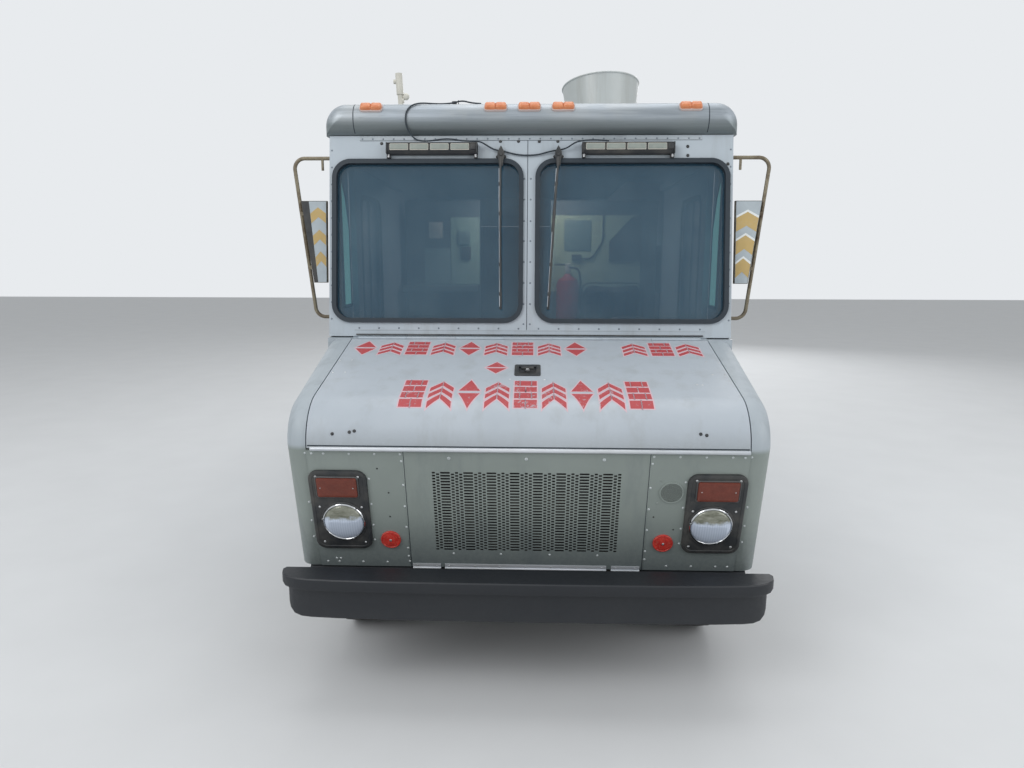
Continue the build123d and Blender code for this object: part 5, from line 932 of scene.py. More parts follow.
set_on("grille_sheet_screws", on(PANEL, sheet_screws), SCREW, 0.0075, RIVET_GREY)
old_holes = [(-0.644, -0.098), (-0.603, -0.22), (-0.606, -0.345), (0.56, -0.33), (0.652, -0.395)]
holes = bmesh.new()
for x, y in old_holes:
    lathe(holes, [(0.0042, 0.0), (0.0042, 0.0006), (0.0004, 0.0006)], moved(PANEL, x, y), 14)
piece("old_panel_holes", holes, BLACK_PLASTIC)

# Bottom hinge of the grille sheet: three strips with their knuckles
HINGE_SCREW_PITCH = 0.12
HINGE_STRIPS = ((-0.52, -0.391), (-0.372, 0.366), (0.388, 0.517))
hinges = bmesh.new()
for left, right in HINGE_STRIPS:
    block(hinges, (left, -0.6215, 0.0), (right, -0.599, 0.0022), PANEL, 0.0008)
    tube(hinges, [(left, -0.6225, 0.003), (right, -0.6225, 0.003)], 0.0042, PANEL)
piece("grille_hinge_strips", hinges, TRIM_METAL)
hinge_screws = []
for left, right in HINGE_STRIPS:
    count = max(1, round((right - left) / HINGE_SCREW_PITCH)) + 1
    hinge_screws += [(x, -0.611) for x in spread(left + 0.02, right - 0.02, count)]
set_on("grille_hinge_screws", on(PANEL, hinge_screws, 0.0022), SCREW, 0.004, ZINC)

# Seam between the nose panels: a narrow cover strip of sheet on each side of the grille
SEAM_STRIPS = (
    # middle, half width, how far out, softening, paint
    (0.5285, 0.0035, 0.0011, 0.0005, 0),
    (0.5262, 0.0012, 0.0014, 0.0004, 1),
)
seams = bmesh.new()
for side, _ in SIDES:
    for middle, half, out, soften, paint in SEAM_STRIPS:
        block(seams, (side * middle - half, GRILLE_LOW_V, -0.0004), (side * middle + half, -0.004, out),
              PANEL, soften, paint=paint)
piece("nose_panel_seams", seams, [CORNER_GREY, GASKET])

# Round red reflectors and the horn screen
REFLECTOR_SPOTS = ((0.611, -0.467), (-0.611, -0.467))
reflectors = bmesh.new()
for x, y in REFLECTOR_SPOTS:
    spot = moved(PANEL, x, y)
    lathe(reflectors, [(0.045, 0.0), (0.045, 0.0065), (0.0425, 0.0085), (0.0395, 0.0085), (0.0385, 0.007),
                       (0.03, 0.0084), (0.015, 0.0094), (0.004, 0.0097)], spot, 40, 0)
    lathe(reflectors, [(0.0062, 0.009), (0.0062, 0.0112), (0.0045, 0.0122), (0.0005, 0.0124)], spot, 16, 1)
piece("nose_reflectors", reflectors, [REFLECTOR_RED, ZINC])

HORN_SPOT = (0.628, -0.203)
HORN_WIRES = 21
HORN_WIRE_REACH = 0.0476
horn = bmesh.new()
horn_place = moved(PANEL, *HORN_SPOT)
lathe(horn, [(0.0475, 0.0003), (0.0475, 0.0012), (0.0005, 0.0012), (0.0005, 0.0003)], horn_place, 32, 1, True)
lathe(horn, [(0.047, 0.0), (0.047, 0.0042), (0.0495, 0.0052), (0.053, 0.0044), (0.054, 0.0)], horn_place, 40,
      0, True)
for across in spread(-0.045, 0.045, HORN_WIRES):
    reach = sqrt(HORN_WIRE_REACH ** 2 - across ** 2)
    tube(horn, [(across, -reach, 0.0026), (across, reach, 0.0026)], 0.0008, horn_place, 5)
    tube(horn, [(-reach, across, 0.0034), (reach, across, 0.0034)], 0.0008, horn_place, 5)
piece("horn_screen", horn, [NOSE_GREY, BLACK_PLASTIC])
horn_screws = [(0.579, -0.142), (0.689, -0.151), (0.569, -0.258), (0.687, -0.286)]
set_on("horn_screen_screws", landed(NOSE_SKIN, PANEL, horn_screws), SCREW, 0.0048, CORNER_GREY)

# Headlamps, turn lamps and the screws of their housings
BEZEL_CENTRE = (0.821, -0.31)
BEZEL_SIZE = (0.256, 0.407, 0.046)
BEZEL_PROUD = 0.014
LAMP_SPOT = (0.811, -0.3645)
TURN_SPOT = (0.8235, -0.1855)
bezels = bmesh.new()
headlamps = bmesh.new()
turn_lamps = bmesh.new()
for side, _ in SIDES:
    spot = moved(PANEL, side * BEZEL_CENTRE[0], BEZEL_CENTRE[1])
    pillow(bezels, *BEZEL_SIZE, ((0, -0.004), (0, BEZEL_PROUD - 0.006), (0.0015, BEZEL_PROUD - 0.002),
                                 (0.005, BEZEL_PROUD), (0.016, BEZEL_PROUD), (0.018, BEZEL_PROUD - 0.0015),
                                 (0.03, BEZEL_PROUD - 0.0015)), spot, steps=8)
    spot = moved(PANEL, side * LAMP_SPOT[0], LAMP_SPOT[1])
    lathe(bezels, [(0.103, BEZEL_PROUD - 0.004), (0.103, BEZEL_PROUD + 0.001), (0.101, BEZEL_PROUD + 0.003),
                   (0.096, BEZEL_PROUD + 0.003), (0.094, BEZEL_PROUD - 0.004)], spot, 56, 0, True)
    lathe(headlamps, [(0.095, 0.006), (0.095, 0.0185), (0.093, 0.0215), (0.0895, 0.022), (0.0865, 0.019),
                      (0.0865, 0.006)], spot, 56, 1, True)
    dome = [(0.0866 * x, 0.0165 + 0.024 * y) for x, y, _ in circle(1.0, steps=40)[:10]]
    lathe(headlamps, [(0.0866, 0.004)] + dome + [(0.002, 0.0405)], spot, 56, 0)
    for x, y, z in circle(0.0925, 0.0215, 3, 5 / 12):
        knob = moved(spot, x, y, z)
        block(headlamps, (-0.005, -0.0035, -0.004), (0.005, 0.0035, 0.0018), knob, 0.001, paint=1)
    spot = moved(PANEL, side * TURN_SPOT[0], TURN_SPOT[1])
    pillow(turn_lamps, 0.19, 0.108, 0.012, ((0, 0.01), (0, 0.0165), (0.0015, 0.018), (0.004, 0.0185),
                                            (0.006, 0.017)), spot, 1)
    pillow(turn_lamps, 0.176, 0.095, 0.008, ((0, 0.014), (0, 0.0205), (0.0012, 0.0225), (0.004, 0.0232),
                                             (0.014, 0.024)), spot, 0)
piece("headlamp_housings", bezels, BLACK_PLASTIC, ["headlamp_bezels"])
piece("headlamps", headlamps, [HEADLAMP_GLASS, CHROME], ["front_lamps"])
piece("turn_lamps", turn_lamps, [TURN_LENS, BEZEL_EDGE])
turn_screws = mirrored([(TURN_SPOT[0] + x, TURN_SPOT[1]) for x in (-0.072, 0.072)])
set_on("turn_lamp_screws", on(PANEL, turn_screws, 0.0232), SCREW, 0.003, ZINC)
bezel_screws = mirrored([(x - shift, v) for v, shift in ((-0.134, 0.003), (-0.289, 0.0055), (-0.476, 0.0075))
                         for x in (0.731, 0.917)])
set_on("bezel_screws", on(PANEL, bezel_screws, BEZEL_PROUD - 0.0012), SCREW, 0.0056, ZINC)

# Front bumper: a pressed lip over a plain face, drawn back at its ends, with the ledge behind the lip
LIP_PLAN = ((0.0, 0.156), (0.3, 0.155), (0.6, 0.152), (0.8, 0.146), (0.92, 0.138), (0.97, 0.128),
            (1.008, 0.112), (1.034, 0.092), (1.049, 0.068), (1.055, 0.042))
LIP_END = LIP_PLAN[-1][0]
BUMPER_TOP_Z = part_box("front_bumper")[1].z
LEDGE_BACK_Y = NOSE_Y - 0.018
FACE_LOW_Z = 0.393
LIP_SECTION = (
    # inwards from the lip, height under the top, share of the way to the lower edge
    (0.004, 0.0, 0), (0.0, 0.005, 0), (0.0, 0.043, 0), (0.004, 0.052, 0), (0.02, 0.06, 0),
    (0.024, 0.068, 0), (0.024, 0.074, 0.96), (0.027, 0.074, 1), (0.031, 0.074, 1), (0.031, 0.06, 0),
    (0.027, 0.006, 0),
)
LOWER_ROUND = 0.075


def both_ways(plan):
    """A plan of one half, with the other half before it."""
    return [(-x, y) for x, y in reversed(plan[1:])] + plan


def bumper_rings():
    """Upright sections of the bumper from its right end to its left end."""
    stations = both_ways([(x, NOSE_Y - y) for x, y in LIP_PLAN])
    rings = []
    for i, (x, y) in enumerate(stations):
        before = Vector(stations[max(0, i - 1)])
        after = Vector(stations[min(len(stations) - 1, i + 1)])
        along = (after - before).normalized()
        nearness = max(0.0, abs(x) - (LIP_END - LOWER_ROUND)) / LOWER_ROUND
        low = FACE_LOW_Z + LOWER_ROUND * (1 - sqrt(max(0.0, 1 - nearness ** 2)))
        ring = []
        for depth, drop, share in LIP_SECTION:
            z = BUMPER_TOP_Z - drop
            ring.append((x - along.y * depth, y + along.x * depth, z + (low - z) * share))
        rings.append(ring)
    return rings


bumper = bmesh.new()
skin(bumper, bumper_rings())
ledge = both_ways([(x, NOSE_Y - y + 0.004) for x, y in LIP_PLAN])
ledge += [(LIP_END - 0.01, LEDGE_BACK_Y), (-LIP_END + 0.01, LEDGE_BACK_Y)]
prism(bumper, ledge, BUMPER_TOP_Z - 0.005, BUMPER_TOP_Z - 0.0002)
piece("front_bumper_pressing", bumper, BUMPER_BLACK, ["front_bumper"])

apron = bmesh.new()
APRON_FOOT = (LEDGE_BACK_Y - 0.004, BUMPER_TOP_Z - 0.004)
APRON_TOP = (NOSE_Y + 0.154, HOOD_EDGE_Z - 0.614)
APRON_BACK = (NOSE_Y + 0.19, HOOD_EDGE_Z - 0.585)
for half, steps in ((1.03, (APRON_FOOT, APRON_TOP)), (1.0, (APRON_TOP, APRON_BACK))):
    skin(apron, [[(-half, y, z), (half, y, z), (half, y, z - 0.004), (-half, y, z - 0.004)]
                 for y, z in steps])
piece("bumper_apron", apron, BUMPER_BLACK)

# Black air baffle behind the grille sheet
baffle = bmesh.new()
block(baffle, (-0.5, -0.6, -0.062), (0.5, -0.04, -0.059), PANEL, 0.0008)
piece("air_baffle", baffle, RADIATOR_BLACK)

# Hood: the rolled lower edge and the groove above it, fasteners, latch handle and the stencilled pattern
HOOD_CENTRE = Vector((0, NOSE_Y + HOOD_BEND, HOOD_EDGE_Z))
HOOD_SWEEP = pi / 2 - HOOD_SLOPE
HOOD_ARC = HOOD_BEND * HOOD_SWEEP


def hood_way(run):
    """The way out of the hood at a run up from its lower edge."""
    turn = min(run, HOOD_ARC) / HOOD_BEND
    return Vector((0, -cos(turn), sin(turn)))


def hood_point(x, run, lift=0.0):
    """A point on the hood by its way across and its run up from the lower edge."""
    out = hood_way(run)
    along = Vector((0, out.z, -out.y))
    return HOOD_CENTRE + Vector((x, 0, 0)) + out * (HOOD_BEND + lift) + along * max(0.0, run - HOOD_ARC)


def on_hood(spots):
    """Places of (point, facing) for spots of (x, run) on the hood."""
    return [(hood_point(x, run), hood_way(run)) for x, run in spots]


def hood_run(y):
    """The run up the hood of a place by its distance behind the nose."""
    knee = HOOD_BEND * (1 - cos(HOOD_SWEEP))
    if y < knee:
        return HOOD_BEND * acos(1 - y / HOOD_BEND)
    return HOOD_ARC + (y - knee) / cos(HOOD_SLOPE)


bead = bmesh.new()
tube(bead, [(x, NOSE_Y - 0.005, HOOD_EDGE_Z - 0.0015) for x in (-0.922, 0.938)], 0.0092, sides=16)
piece("hood_edge_bead", bead, TRIM_METAL, body="hood")
groove = bmesh.new()
edge = [hood_point(0, run, 0.0006) for run in (0.0085, 0.0135)]
skin(groove, [[(x, edge[0].y, edge[0].z), (x, edge[1].y, edge[1].z), (x, edge[1].y + 0.002, edge[1].z),
               (x, edge[0].y + 0.002, edge[0].z)] for x in (-0.936, 0.936)])
piece("hood_edge_groove", groove, GASKET, body="hood")

HOOD_RIVETS = ((0.87, 0.543), (0.93, 0.532), (0.867, 0.395), (0.924, 0.393), (0.771, 0.286), (0.795, 0.283),
               (-0.87, 0.543), (-0.928, 0.532), (-0.866, 0.395), (-0.925, 0.393), (-0.08, 0.33), (0.08, 0.33))
hood_rivets = on_hood([(x, hood_run(y)) for x, y in HOOD_RIVETS])
set_on("hood_rivets", hood_rivets, RIVET, 0.005, ZINC, body="hood")
HOOD_BOLTS = ((-0.755, 0.07), (-0.734, 0.075), (-0.828, 0.062), (0.732, 0.075), (0.757, 0.07))
set_on("hood_stop_bolts", on_hood(HOOD_BOLTS), HEX_BOLT, 0.0055, BLACK_PLASTIC, body="hood")

latch_run = hood_run(middle_of("hood_latch", 1) - NOSE_Y)
latch_place = stand(hood_point(0, latch_run), (1, 0, 0), (0, cos(HOOD_SLOPE), sin(HOOD_SLOPE)))
latch = bmesh.new()
block(latch, (-0.03, -0.009, 0.004), (0.03, 0.009, 0.018), latch_place, 0.004, 3)
lathe(latch, [(0.012, 0.0), (0.012, 0.01), (0.01, 0.0125), (0.0005, 0.0125)], latch_place, 20, 1)
piece("hood_latch_handle", latch, [BLACK_PLASTIC, ZINC], body="hood")

PAINT_LIFTS = (0.0004, 0.0007)
OVERSPRAY = 0.006
BEND_STEP = 0.012
# Bridges between the parts of a motif, as a share of its size
GAP = 0.05


def bricks(columns, rows):
    """Blocks in staggered courses, like a wall."""
    shapes = []
    for i in range(rows):
        low = -0.5 + i / rows + GAP / 2
        high = -0.5 + (i + 1) / rows - GAP / 2
        cuts = [-0.5] + [-0.5 + (k + i % 2 / 2) / columns for k in range(columns + 1)] + [0.5]
        cuts = sorted({min(0.5, cut) for cut in cuts})
        for left, right in zip(cuts, cuts[1:]):
            if right - left > 3 * GAP:
                shapes.append(oblong(left + GAP / 2, low, right - GAP / 2, high))
    return shapes


def chevron_stack(count):
    """Arrow bands one above the other, each cut in the middle."""
    shapes = []
    thick = 0.62 / count
    for i in range(count):
        low = -0.5 + i * 0.76 / count
        for side in (-1, 1):
            shapes.append([(side * GAP / 2, low + 0.24), (side * 0.5, low), (side * 0.5, low + thick - GAP),
                           (side * GAP / 2, low + 0.24 + thick - GAP)])
    return shapes


MOTIF_SHAPES = {
    "diamond": [[(-0.5 + GAP, half * GAP), (0, half * 0.5), (0.5 - GAP, half * GAP)] for half in (1, -1)],
    "bricks": bricks(2, 4),
    "chevrons": chevron_stack(3),
}
MOTIF_HALF_ROW = ("bricks", "chevrons", "diamond", "chevrons", "bricks")
MOTIF_ROWS = (
    # left, right, low run, high run, shapes
    (-0.905, 0.31, 0.745, 0.925, ("diamond", "chevrons", *MOTIF_HALF_ROW, "chevrons", "diamond")),
    (0.47, 0.882, 0.745, 0.925, ("chevrons", "bricks", "chevrons")),
    (-0.571, 0.558, 0.185, 0.44, (*MOTIF_HALF_ROW, *MOTIF_HALF_ROW[1:])),
    (-0.215, -0.085, 0.52, 0.655, ("diamond",)),
)


def grown(outline, amount):
    """An outline of a convex shape moved outwards."""
    count = len(outline)
    middle = sum((Vector(point) for point in outline), Vector((0, 0))) / count
    lines = []
    for start, end in zip(outline, (*outline[1:], outline[0])):
        start = Vector(start)
        end = Vector(end)
        out = Vector((end.y - start.y, start.x - end.x)).normalized()
        if out.dot(start - middle) < 0:
            out = -out
        past = (end - start) * 2
        lines.append((start + out * amount - past, end + out * amount + past))
    return [tuple(geometry.intersect_line_line_2d(*lines[i - 1], *lines[i])) for i in range(count)]


def stencilled(name, outlines, lift, finish):
    """Flat outlines of (x, run) laid on the hood as a thin layer of paint."""
    shape = bmesh.new()
    for outline in outlines:
        prism(shape, outline, 0, lift)
    for i in range(1, int(1.0 / BEND_STEP)):
        run = i * BEND_STEP
        if run < HOOD_ARC + BEND_STEP:
            everything = shape.verts[:] + shape.edges[:] + shape.faces[:]
            bmesh.ops.bisect_plane(shape, geom=everything, dist=1e-7, plane_co=(0, run, 0),
                                   plane_no=(0, 1, 0))
    for corner in shape.verts:
        x, run, height = corner.co
        corner.co = hood_point(x, run, height - 0.0002 if height < lift / 2 else height)
    return piece(name, shape, finish, body="hood")


motif = []
for left, right, low, high, names in MOTIF_ROWS:
    pitch = (right - left) / len(names)
    for i, name in enumerate(names):
        centre = left + (i + 0.5) * pitch
        width = min(pitch * 0.84, (high - low) * 0.8)
        for outline in MOTIF_SHAPES[name]:
            motif.append([(centre + x * width, (low + high) / 2 + y * (high - low)) for x, y in outline])
stencilled("hood_pattern_overspray", [grown(outline, OVERSPRAY) for outline in motif], PAINT_LIFTS[0],
           MOTIF_PALE)
stencilled("hood_pattern", motif, PAINT_LIFTS[1], MOTIF_RED)

# Windshield wall: the flange under the cap, seams, rivets and bolts
SHIELD_HALF = 0.909
face_trim = bmesh.new()
block(face_trim, (-SHIELD_HALF, 1.051, -0.001), (SHIELD_HALF, 1.076, 0.0022), SHIELD, 0.0006)
block(face_trim, (-0.0115, 0.045, -0.001), (-0.0085, 1.051, 0.0012), SHIELD, 0.0004, paint=1)
block(face_trim, (-SHIELD_HALF, 1.0495, -0.001), (SHIELD_HALF, 1.0512, 0.0016), SHIELD, 0.0004, paint=1)
block(face_trim, (-0.935, 0.0375, -0.001), (0.935, 0.0435, 0.001), SHIELD, 0.0004)
piece("face_seams", face_trim, [CORNER_GREY, GASKET])
hinge_tube = bmesh.new()
tube(hinge_tube, [(-0.925, 0.016, 0.0035), (0.925, 0.016, 0.0035)], 0.0045, SHIELD)
piece("cowl_weatherstrip", hinge_tube, BEZEL_EDGE)

strip_rivets = [(u, 1.059) for u in spread(-0.895, 0.895, 33)]
set_on("strip_rivets", on(SHIELD, strip_rivets, 0.0022), RIVET, 0.005, FACE_RIVET_SHADE_GREY)
face_rivets = [(-0.01 + shift, v) for v in (0.848, 0.738, 0.624, 0.518, 0.407, 0.295, 0.183, 0.076)
               for shift in (-0.017, 0.017)]
face_rivets += [(u, 0.0515) for u in spread(-0.91, 0.91, 18)]
face_rivets += mirrored([(1.06, v) for v in spread(0.1, 1.0, 11)])
set_on("face_rivets", landed(FACE_SKIN, SHIELD, face_rivets), RIVET, 0.0052, FACE_RIVET_SHADE_GREY)
face_bolts = [(-0.792, 1.036), (-0.156, 1.046), (-0.06, 1.046), (0.051, 1.045), (0.149, 1.045),
              (0.834, 1.016), (0.835, 0.969), (1.046, 0.924), (-0.172, 0.964), (-0.133, 0.964),
              (0.133, 0.964), (0.172, 0.964)]
set_on("face_bolts", landed(FACE_SKIN, SHIELD, face_bolts), HEX_BOLT, 0.0064, BLACK_PLASTIC)

# Roof cap: casting seams near its corners and a row of rivets behind them
CAP_SKIN = surface("roof_cap", "roof")
CAP_ROUND = 0.08
CAP_FRONT_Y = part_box("roof_cap")[0].y
CAP_AXIS = Vector((0, CAP_FRONT_Y + CAP_ROUND, ROOF_Z - CAP_ROUND))


def cap_station(x, turn):
    """A place (point, facing) on the front round of the cap, by its angle above level."""
    way = Vector((0, -cos(turn), sin(turn)))
    point, normal, _, _ = CAP_SKIN.ray_cast(CAP_AXIS + Vector((x, 0, 0)) + way * 0.3, -way)
    return point, normal if normal.dot(way) > 0 else -normal


cap_seams = bmesh.new()
half_seam = Vector((0.0022, 0, 0))
for x in (-0.93, 0.93):
    rings = []
    for turn in range(-60, 91, 10):
        point, facing = cap_station(x, radians(turn))
        low = point - facing * 0.001
        high = point + facing * 0.0008
        rings.append([low - half_seam, low + half_seam, high + half_seam, high - half_seam])
    skin(cap_seams, rings)
piece("roof_cap_seams", cap_seams, GASKET)
cap_edge = bmesh.new()
block(cap_edge, (-SHIELD_HALF, -1.7, -0.001), (SHIELD_HALF, -1.689, 0.0016), ROOF, 0.0006)
piece("roof_cap_joint", cap_edge, ROOF_METAL)
cap_spots = [(x, -1.745) for x in spread(-1.0, 1.0, 21)]
set_on("roof_cap_rivets", landed(CAP_SKIN, ROOF, cap_spots), RIVET, 0.005, ROOF_METAL)

# Marker lamps: five rounded amber lenses on rubber pads, on the front round of the cap
MARKER_TURN = radians(40)
MARKER_X = (-0.836, -0.18, -0.003, 0.174, 0.836)
markers = bmesh.new()
for x in MARKER_X:
    spot = Vector((x, CAP_AXIS.y - CAP_ROUND * cos(MARKER_TURN), CAP_AXIS.z + CAP_ROUND * sin(MARKER_TURN)))
    place = stand(spot, (1, 0, 0), (0, sin(MARKER_TURN), cos(MARKER_TURN)))
    pillow(markers, 0.122, 0.056, 0.018, ((0, -0.01), (0, 0.004), (0.0015, 0.0054), (0.004, 0.0054)), place,
           1, 7)
    for shift in (-0.0275, 0.0275):
        pillow(markers, 0.059, 0.046, 0.013, ((0, 0.002), (0.0006, 0.01), (0.0022, 0.0165), (0.0056, 0.0205),
                                              (0.0105, 0.0224), (0.016, 0.023)), place, 0, 7, (shift, 0))
    pillow(markers, 0.07, 0.04, 0.01, ((0, 0.002), (0.0012, 0.011), (0.005, 0.015), (0.012, 0.016)),
           place, 0, 4)
    for shift in (-0.0275, 0.0275):
        lathe(markers, [(0.004, 0.016), (0.004, 0.0212), (0.003, 0.0222), (0.0004, 0.0224)],
              moved(place, shift, 0), 12, 0)
piece("marker_lamps_amber", markers, [AMBER_LENS, LAMP_PAD], ["marker_lamps"])

# Work lamp bars: a dark tray with a pale lens frame on its upright front
BAR_CENTRES = (-0.518, 0.518)
BAR_HALF = 0.242
BAR_MIDDLE_V = 0.9959
BAR_SECTION = ((-0.0245, 0.0), (-0.0245, 0.03), (-0.02, 0.036), (-0.012, 0.041), (-0.009, 0.044),
               (0.0265, 0.044), (0.0265, 0.049), (0.0312, 0.049), (0.0312, 0.0))
LENS_CENTRES = (-0.173, -0.066, 0.042, 0.15)
LENS_LEVEL = 0.009
bars = bmesh.new()
lenses = bmesh.new()
for centre in BAR_CENTRES:
    place = moved(SHIELD, centre, BAR_MIDDLE_V)
    skin(bars, [[(x, v, out) for v, out in BAR_SECTION] for x in (-BAR_HALF, BAR_HALF)], place)
    for end in (-BAR_HALF, BAR_HALF - 0.006):
        block(bars, (end, -0.025, -0.001), (end + 0.006, 0.032, 0.05), place, 0.0008)
    block(bars, (0.205, -0.006, 0.04), (0.234, 0.026, 0.0495), place, 0.002)
    for x in LENS_CENTRES:
        spot = moved(place, x, LENS_LEVEL, 0.044)
        pillow(lenses, 0.098, 0.034, 0.004, ((0, 0), (0, 0.0036), (0.001, 0.0046), (0.0022, 0.0046)), spot, 1)
        pillow(lenses, 0.094, 0.0275, 0.003, ((0, 0.003), (0, 0.0058), (0.001, 0.0068), (0.006, 0.0074)),
               spot, 0)
        for rib in spread(-0.036, 0.036, 5):
            block(lenses, (rib - 0.0006, -0.0125, 0.006), (rib + 0.0006, 0.0125, 0.0076), spot, 0.0003, 1)
    for x in (-BAR_HALF + 0.01, BAR_HALF - 0.01):
        block(bars, (x - 0.01, -0.044, 0.0), (x + 0.01, 0.033, 0.024), place, 0.0012)
piece("lamp_bar_trays", bars, [BLACK_PLASTIC, BEZEL_EDGE], ["lamp_bars"])
piece("lamp_bar_lenses", lenses, [CREAM_LENS, PALE_PLASTIC])
bar_screws = [(centre + x, BAR_MIDDLE_V + v) for centre in BAR_CENTRES
              for x in (-BAR_HALF + 0.01, BAR_HALF - 0.01) for v in (-0.036, -0.028)]
set_on("lamp_bar_screws", on(SHIELD, bar_screws, 0.024), HEX_BOLT, 0.0036, ZINC)

# Wipers hang from above: pivot, arm, spring hinge and blade with its rubber
WIPERS = (
    # route of (across, up, out) from pivot to tip, where the blade starts and ends on it
    (((-0.152, 0.9706, 0.02), (-0.154, 0.9, 0.03), (-0.1535, 0.56, 0.03)), (-0.156, 0.895), (-0.149, 0.151)),
    (((0.152, 0.9706, 0.02), (0.149, 0.9, 0.03), (0.121, 0.56, 0.03)), (0.146, 0.895), (0.103, 0.151)),
)
WIPER_COVER = ((-0.01, -0.06), (0.01, -0.06), (0.012, -0.03), (0.019, -0.006), (0.018, 0.012), (0.006, 0.036),
               (0.0, 0.046), (-0.006, 0.036), (-0.018, 0.012), (-0.019, -0.006), (-0.012, -0.03))
wipers = bmesh.new()
for route, blade_start, blade_end in WIPERS:
    pivot = moved(SHIELD, route[0][0], route[0][1])
    lathe(wipers, [(0.015, -0.001), (0.015, 0.01), (0.012, 0.013), (0.01, 0.013), (0.01, 0.03),
                   (0.008, 0.034), (0.0005, 0.034)], pivot, 20, 0)
    prism(wipers, WIPER_COVER, 0.014, 0.028, pivot)
    tube(wipers, route, [0.0075, 0.0062, 0.0048], SHIELD, 8)
    start = Vector((*blade_start, 0.0245))
    end = Vector((*blade_end, 0.0245))
    along = (end - start).normalized()
    middle = (start + end) / 2
    blade = SHIELD @ stand(middle, (along.y, -along.x, 0), along)
    half = (end - start).length / 2
    block(wipers, (-0.0065, -half, 0.0005), (0.0065, half, 0.004), blade, 0.0014)
    block(wipers, (-0.002, -half, -0.0055), (0.002, half, 0.001), blade, 0.0005)
    # A bright aluminium strip along the top of each blade is a painted highlight, for the sky's reflection on
    # the glossy blade.
    block(wipers, (0.0035, -half, 0.0035), (0.0065, half * 0.96, 0.0055), blade, 0.0008, paint=1)
    for claw in (-0.78, -0.36, 0.36, 0.78):
        block(wipers, (-0.0078, claw * half - 0.01, -0.001), (0.0078, claw * half + 0.01, 0.0065), blade,
              0.0012)
    for share in (-0.57, 0.57):
        tube(wipers, [(0, (share - 0.22) * half, 0.0045), (0, share * half, 0.0085),
                      (0, (share + 0.22) * half, 0.0045)], 0.004, blade, 8)
    tube(wipers, [(0, -0.6 * half, 0.008), (0, -0.08 * half, 0.0118), (0, 0.08 * half, 0.0118),
                  (0, 0.6 * half, 0.008)], 0.0045, blade, 8)
piece("wiper_arms_and_blades", wipers, [BLACK_PLASTIC, TRIM_METAL], ["wipers"])

# Mirror heads: chevron plates on the side that faces forward, glass on the side that faces back
MIRROR_FRONT_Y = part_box("mirrors")[0].y
MIRROR_BACK_Y = NOSE_Y + 1.029
HEAD_HIGH_Z = 2.216
HEAD_LOW_Z = 1.778
HEAD_INNER = (0.024, 0.04)
HEAD_OUTER = (0.164, 0.112)
PLATE_OUTER = {LEFT: (0.164, 0.112), RIGHT: (0.124, 0.092)}
CHEVRON_TOPS = {LEFT: (2.17, 2.048, 1.926), RIGHT: (2.182, 2.064, 1.948)}
CHEVRON_HEIGHT = {LEFT: 0.084, RIGHT: 0.052}
CHEVRON_EDGE = {LEFT: 0.012, RIGHT: 0.0}
CHEVRON_RISE = 0.032
FORWARD = stand((0, MIRROR_FRONT_Y, 0), (1, 0, 0))
BACKWARD = stand((0, MIRROR_BACK_Y, 0), (-1, 0, 0))


def head_edges(z, outer=HEAD_OUTER):
    """The inner and outer edges of a mirror head or its plate at a height, out from the body side."""
    share = (HEAD_HIGH_Z - z) / (HEAD_HIGH_Z - HEAD_LOW_Z)
    return [near + (far - near) * share for near, far in (HEAD_INNER, outer)]


def head_outline(side, inset, outer_edge=HEAD_OUTER):
    points = []
    for z, order in ((HEAD_LOW_Z + inset, 1), (HEAD_HIGH_Z - inset, -1)):
        inner, outer = head_edges(z, outer_edge)
        pair = [inner + inset, outer - inset]
        points += [(side * (BODY_HALF + out), z) for out in pair[::order]]
    return points


def chevron(side, apex_z, height):
    """An arrow band that points up, across the head."""
    points = []
    for top, order in ((apex_z, 1), (apex_z - height, -1)):
        inner, outer = head_edges(top - CHEVRON_RISE, PLATE_OUTER[side])
        inner += 0.004
        outer -= 0.004
        ends = [(inner, top - CHEVRON_RISE), ((inner + outer) / 2, top), (outer, top - CHEVRON_RISE)]
        points += ends[::order]
    return [(side * (BODY_HALF + out), z) for out, z in points]


plates = bmesh.new()
mirror_glass = bmesh.new()
for side, _ in SIDES:
    prism(plates, head_outline(side, 0.001), 0.0002, 0.0008, FORWARD, 3)
    prism(plates, head_outline(side, 0.003, PLATE_OUTER[side]), 0.0004, 0.0014, FORWARD, 0)
    edge = CHEVRON_EDGE[side]
    for apex in CHEVRON_TOPS[side]:
        bands = [(apex - edge, CHEVRON_HEIGHT[side] - edge, 0.002, 2)]
        if edge:
            bands.append((apex, edge, 0.0022, 1))
        for top, height, lift, paint in bands:
            outline = chevron(side, top, height)
            prism(plates, outline[:2] + outline[4:], 0.001, lift, FORWARD, paint)
            prism(plates, outline[1:5], 0.001, lift, FORWARD, paint)
    mirrored_outline = [(-x, z) for x, z in head_outline(side, 0.008)]
    prism(mirror_glass, mirrored_outline, -0.001, 0.0012, BACKWARD)
piece("mirror_chevron_plates", plates, [CHEVRON_BASE, SIGN_WHITE, SIGN_YELLOW, BLACK_PLASTIC])
piece("mirror_glasses", mirror_glass, MIRROR_GLASS, crease=20)

# Fan bowl: its rolled rim and the bead round its seam
FAN_UP = Vector((-0.052, 0.148, 0.988))
FAN_RIM = (0.562, 0.13, 3.31)
fan_place = standing(FAN_RIM, FAN_UP)
fan = bmesh.new()
tube(fan, circle(0.3085, -0.006, 64), 0.0075, fan_place, 8, looped=True)
tube(fan, circle(0.2995, -0.075, 64), 0.0022, fan_place, 6, looped=True)
piece("fan_rim_roll", fan, FAN_METAL)

# Clamp knob and foot of the roof pipe, and the clip that holds the lamp cable
pipe_x = middle_of("roof_pipe", 0)
pipe_y = middle_of("roof_pipe", 1)
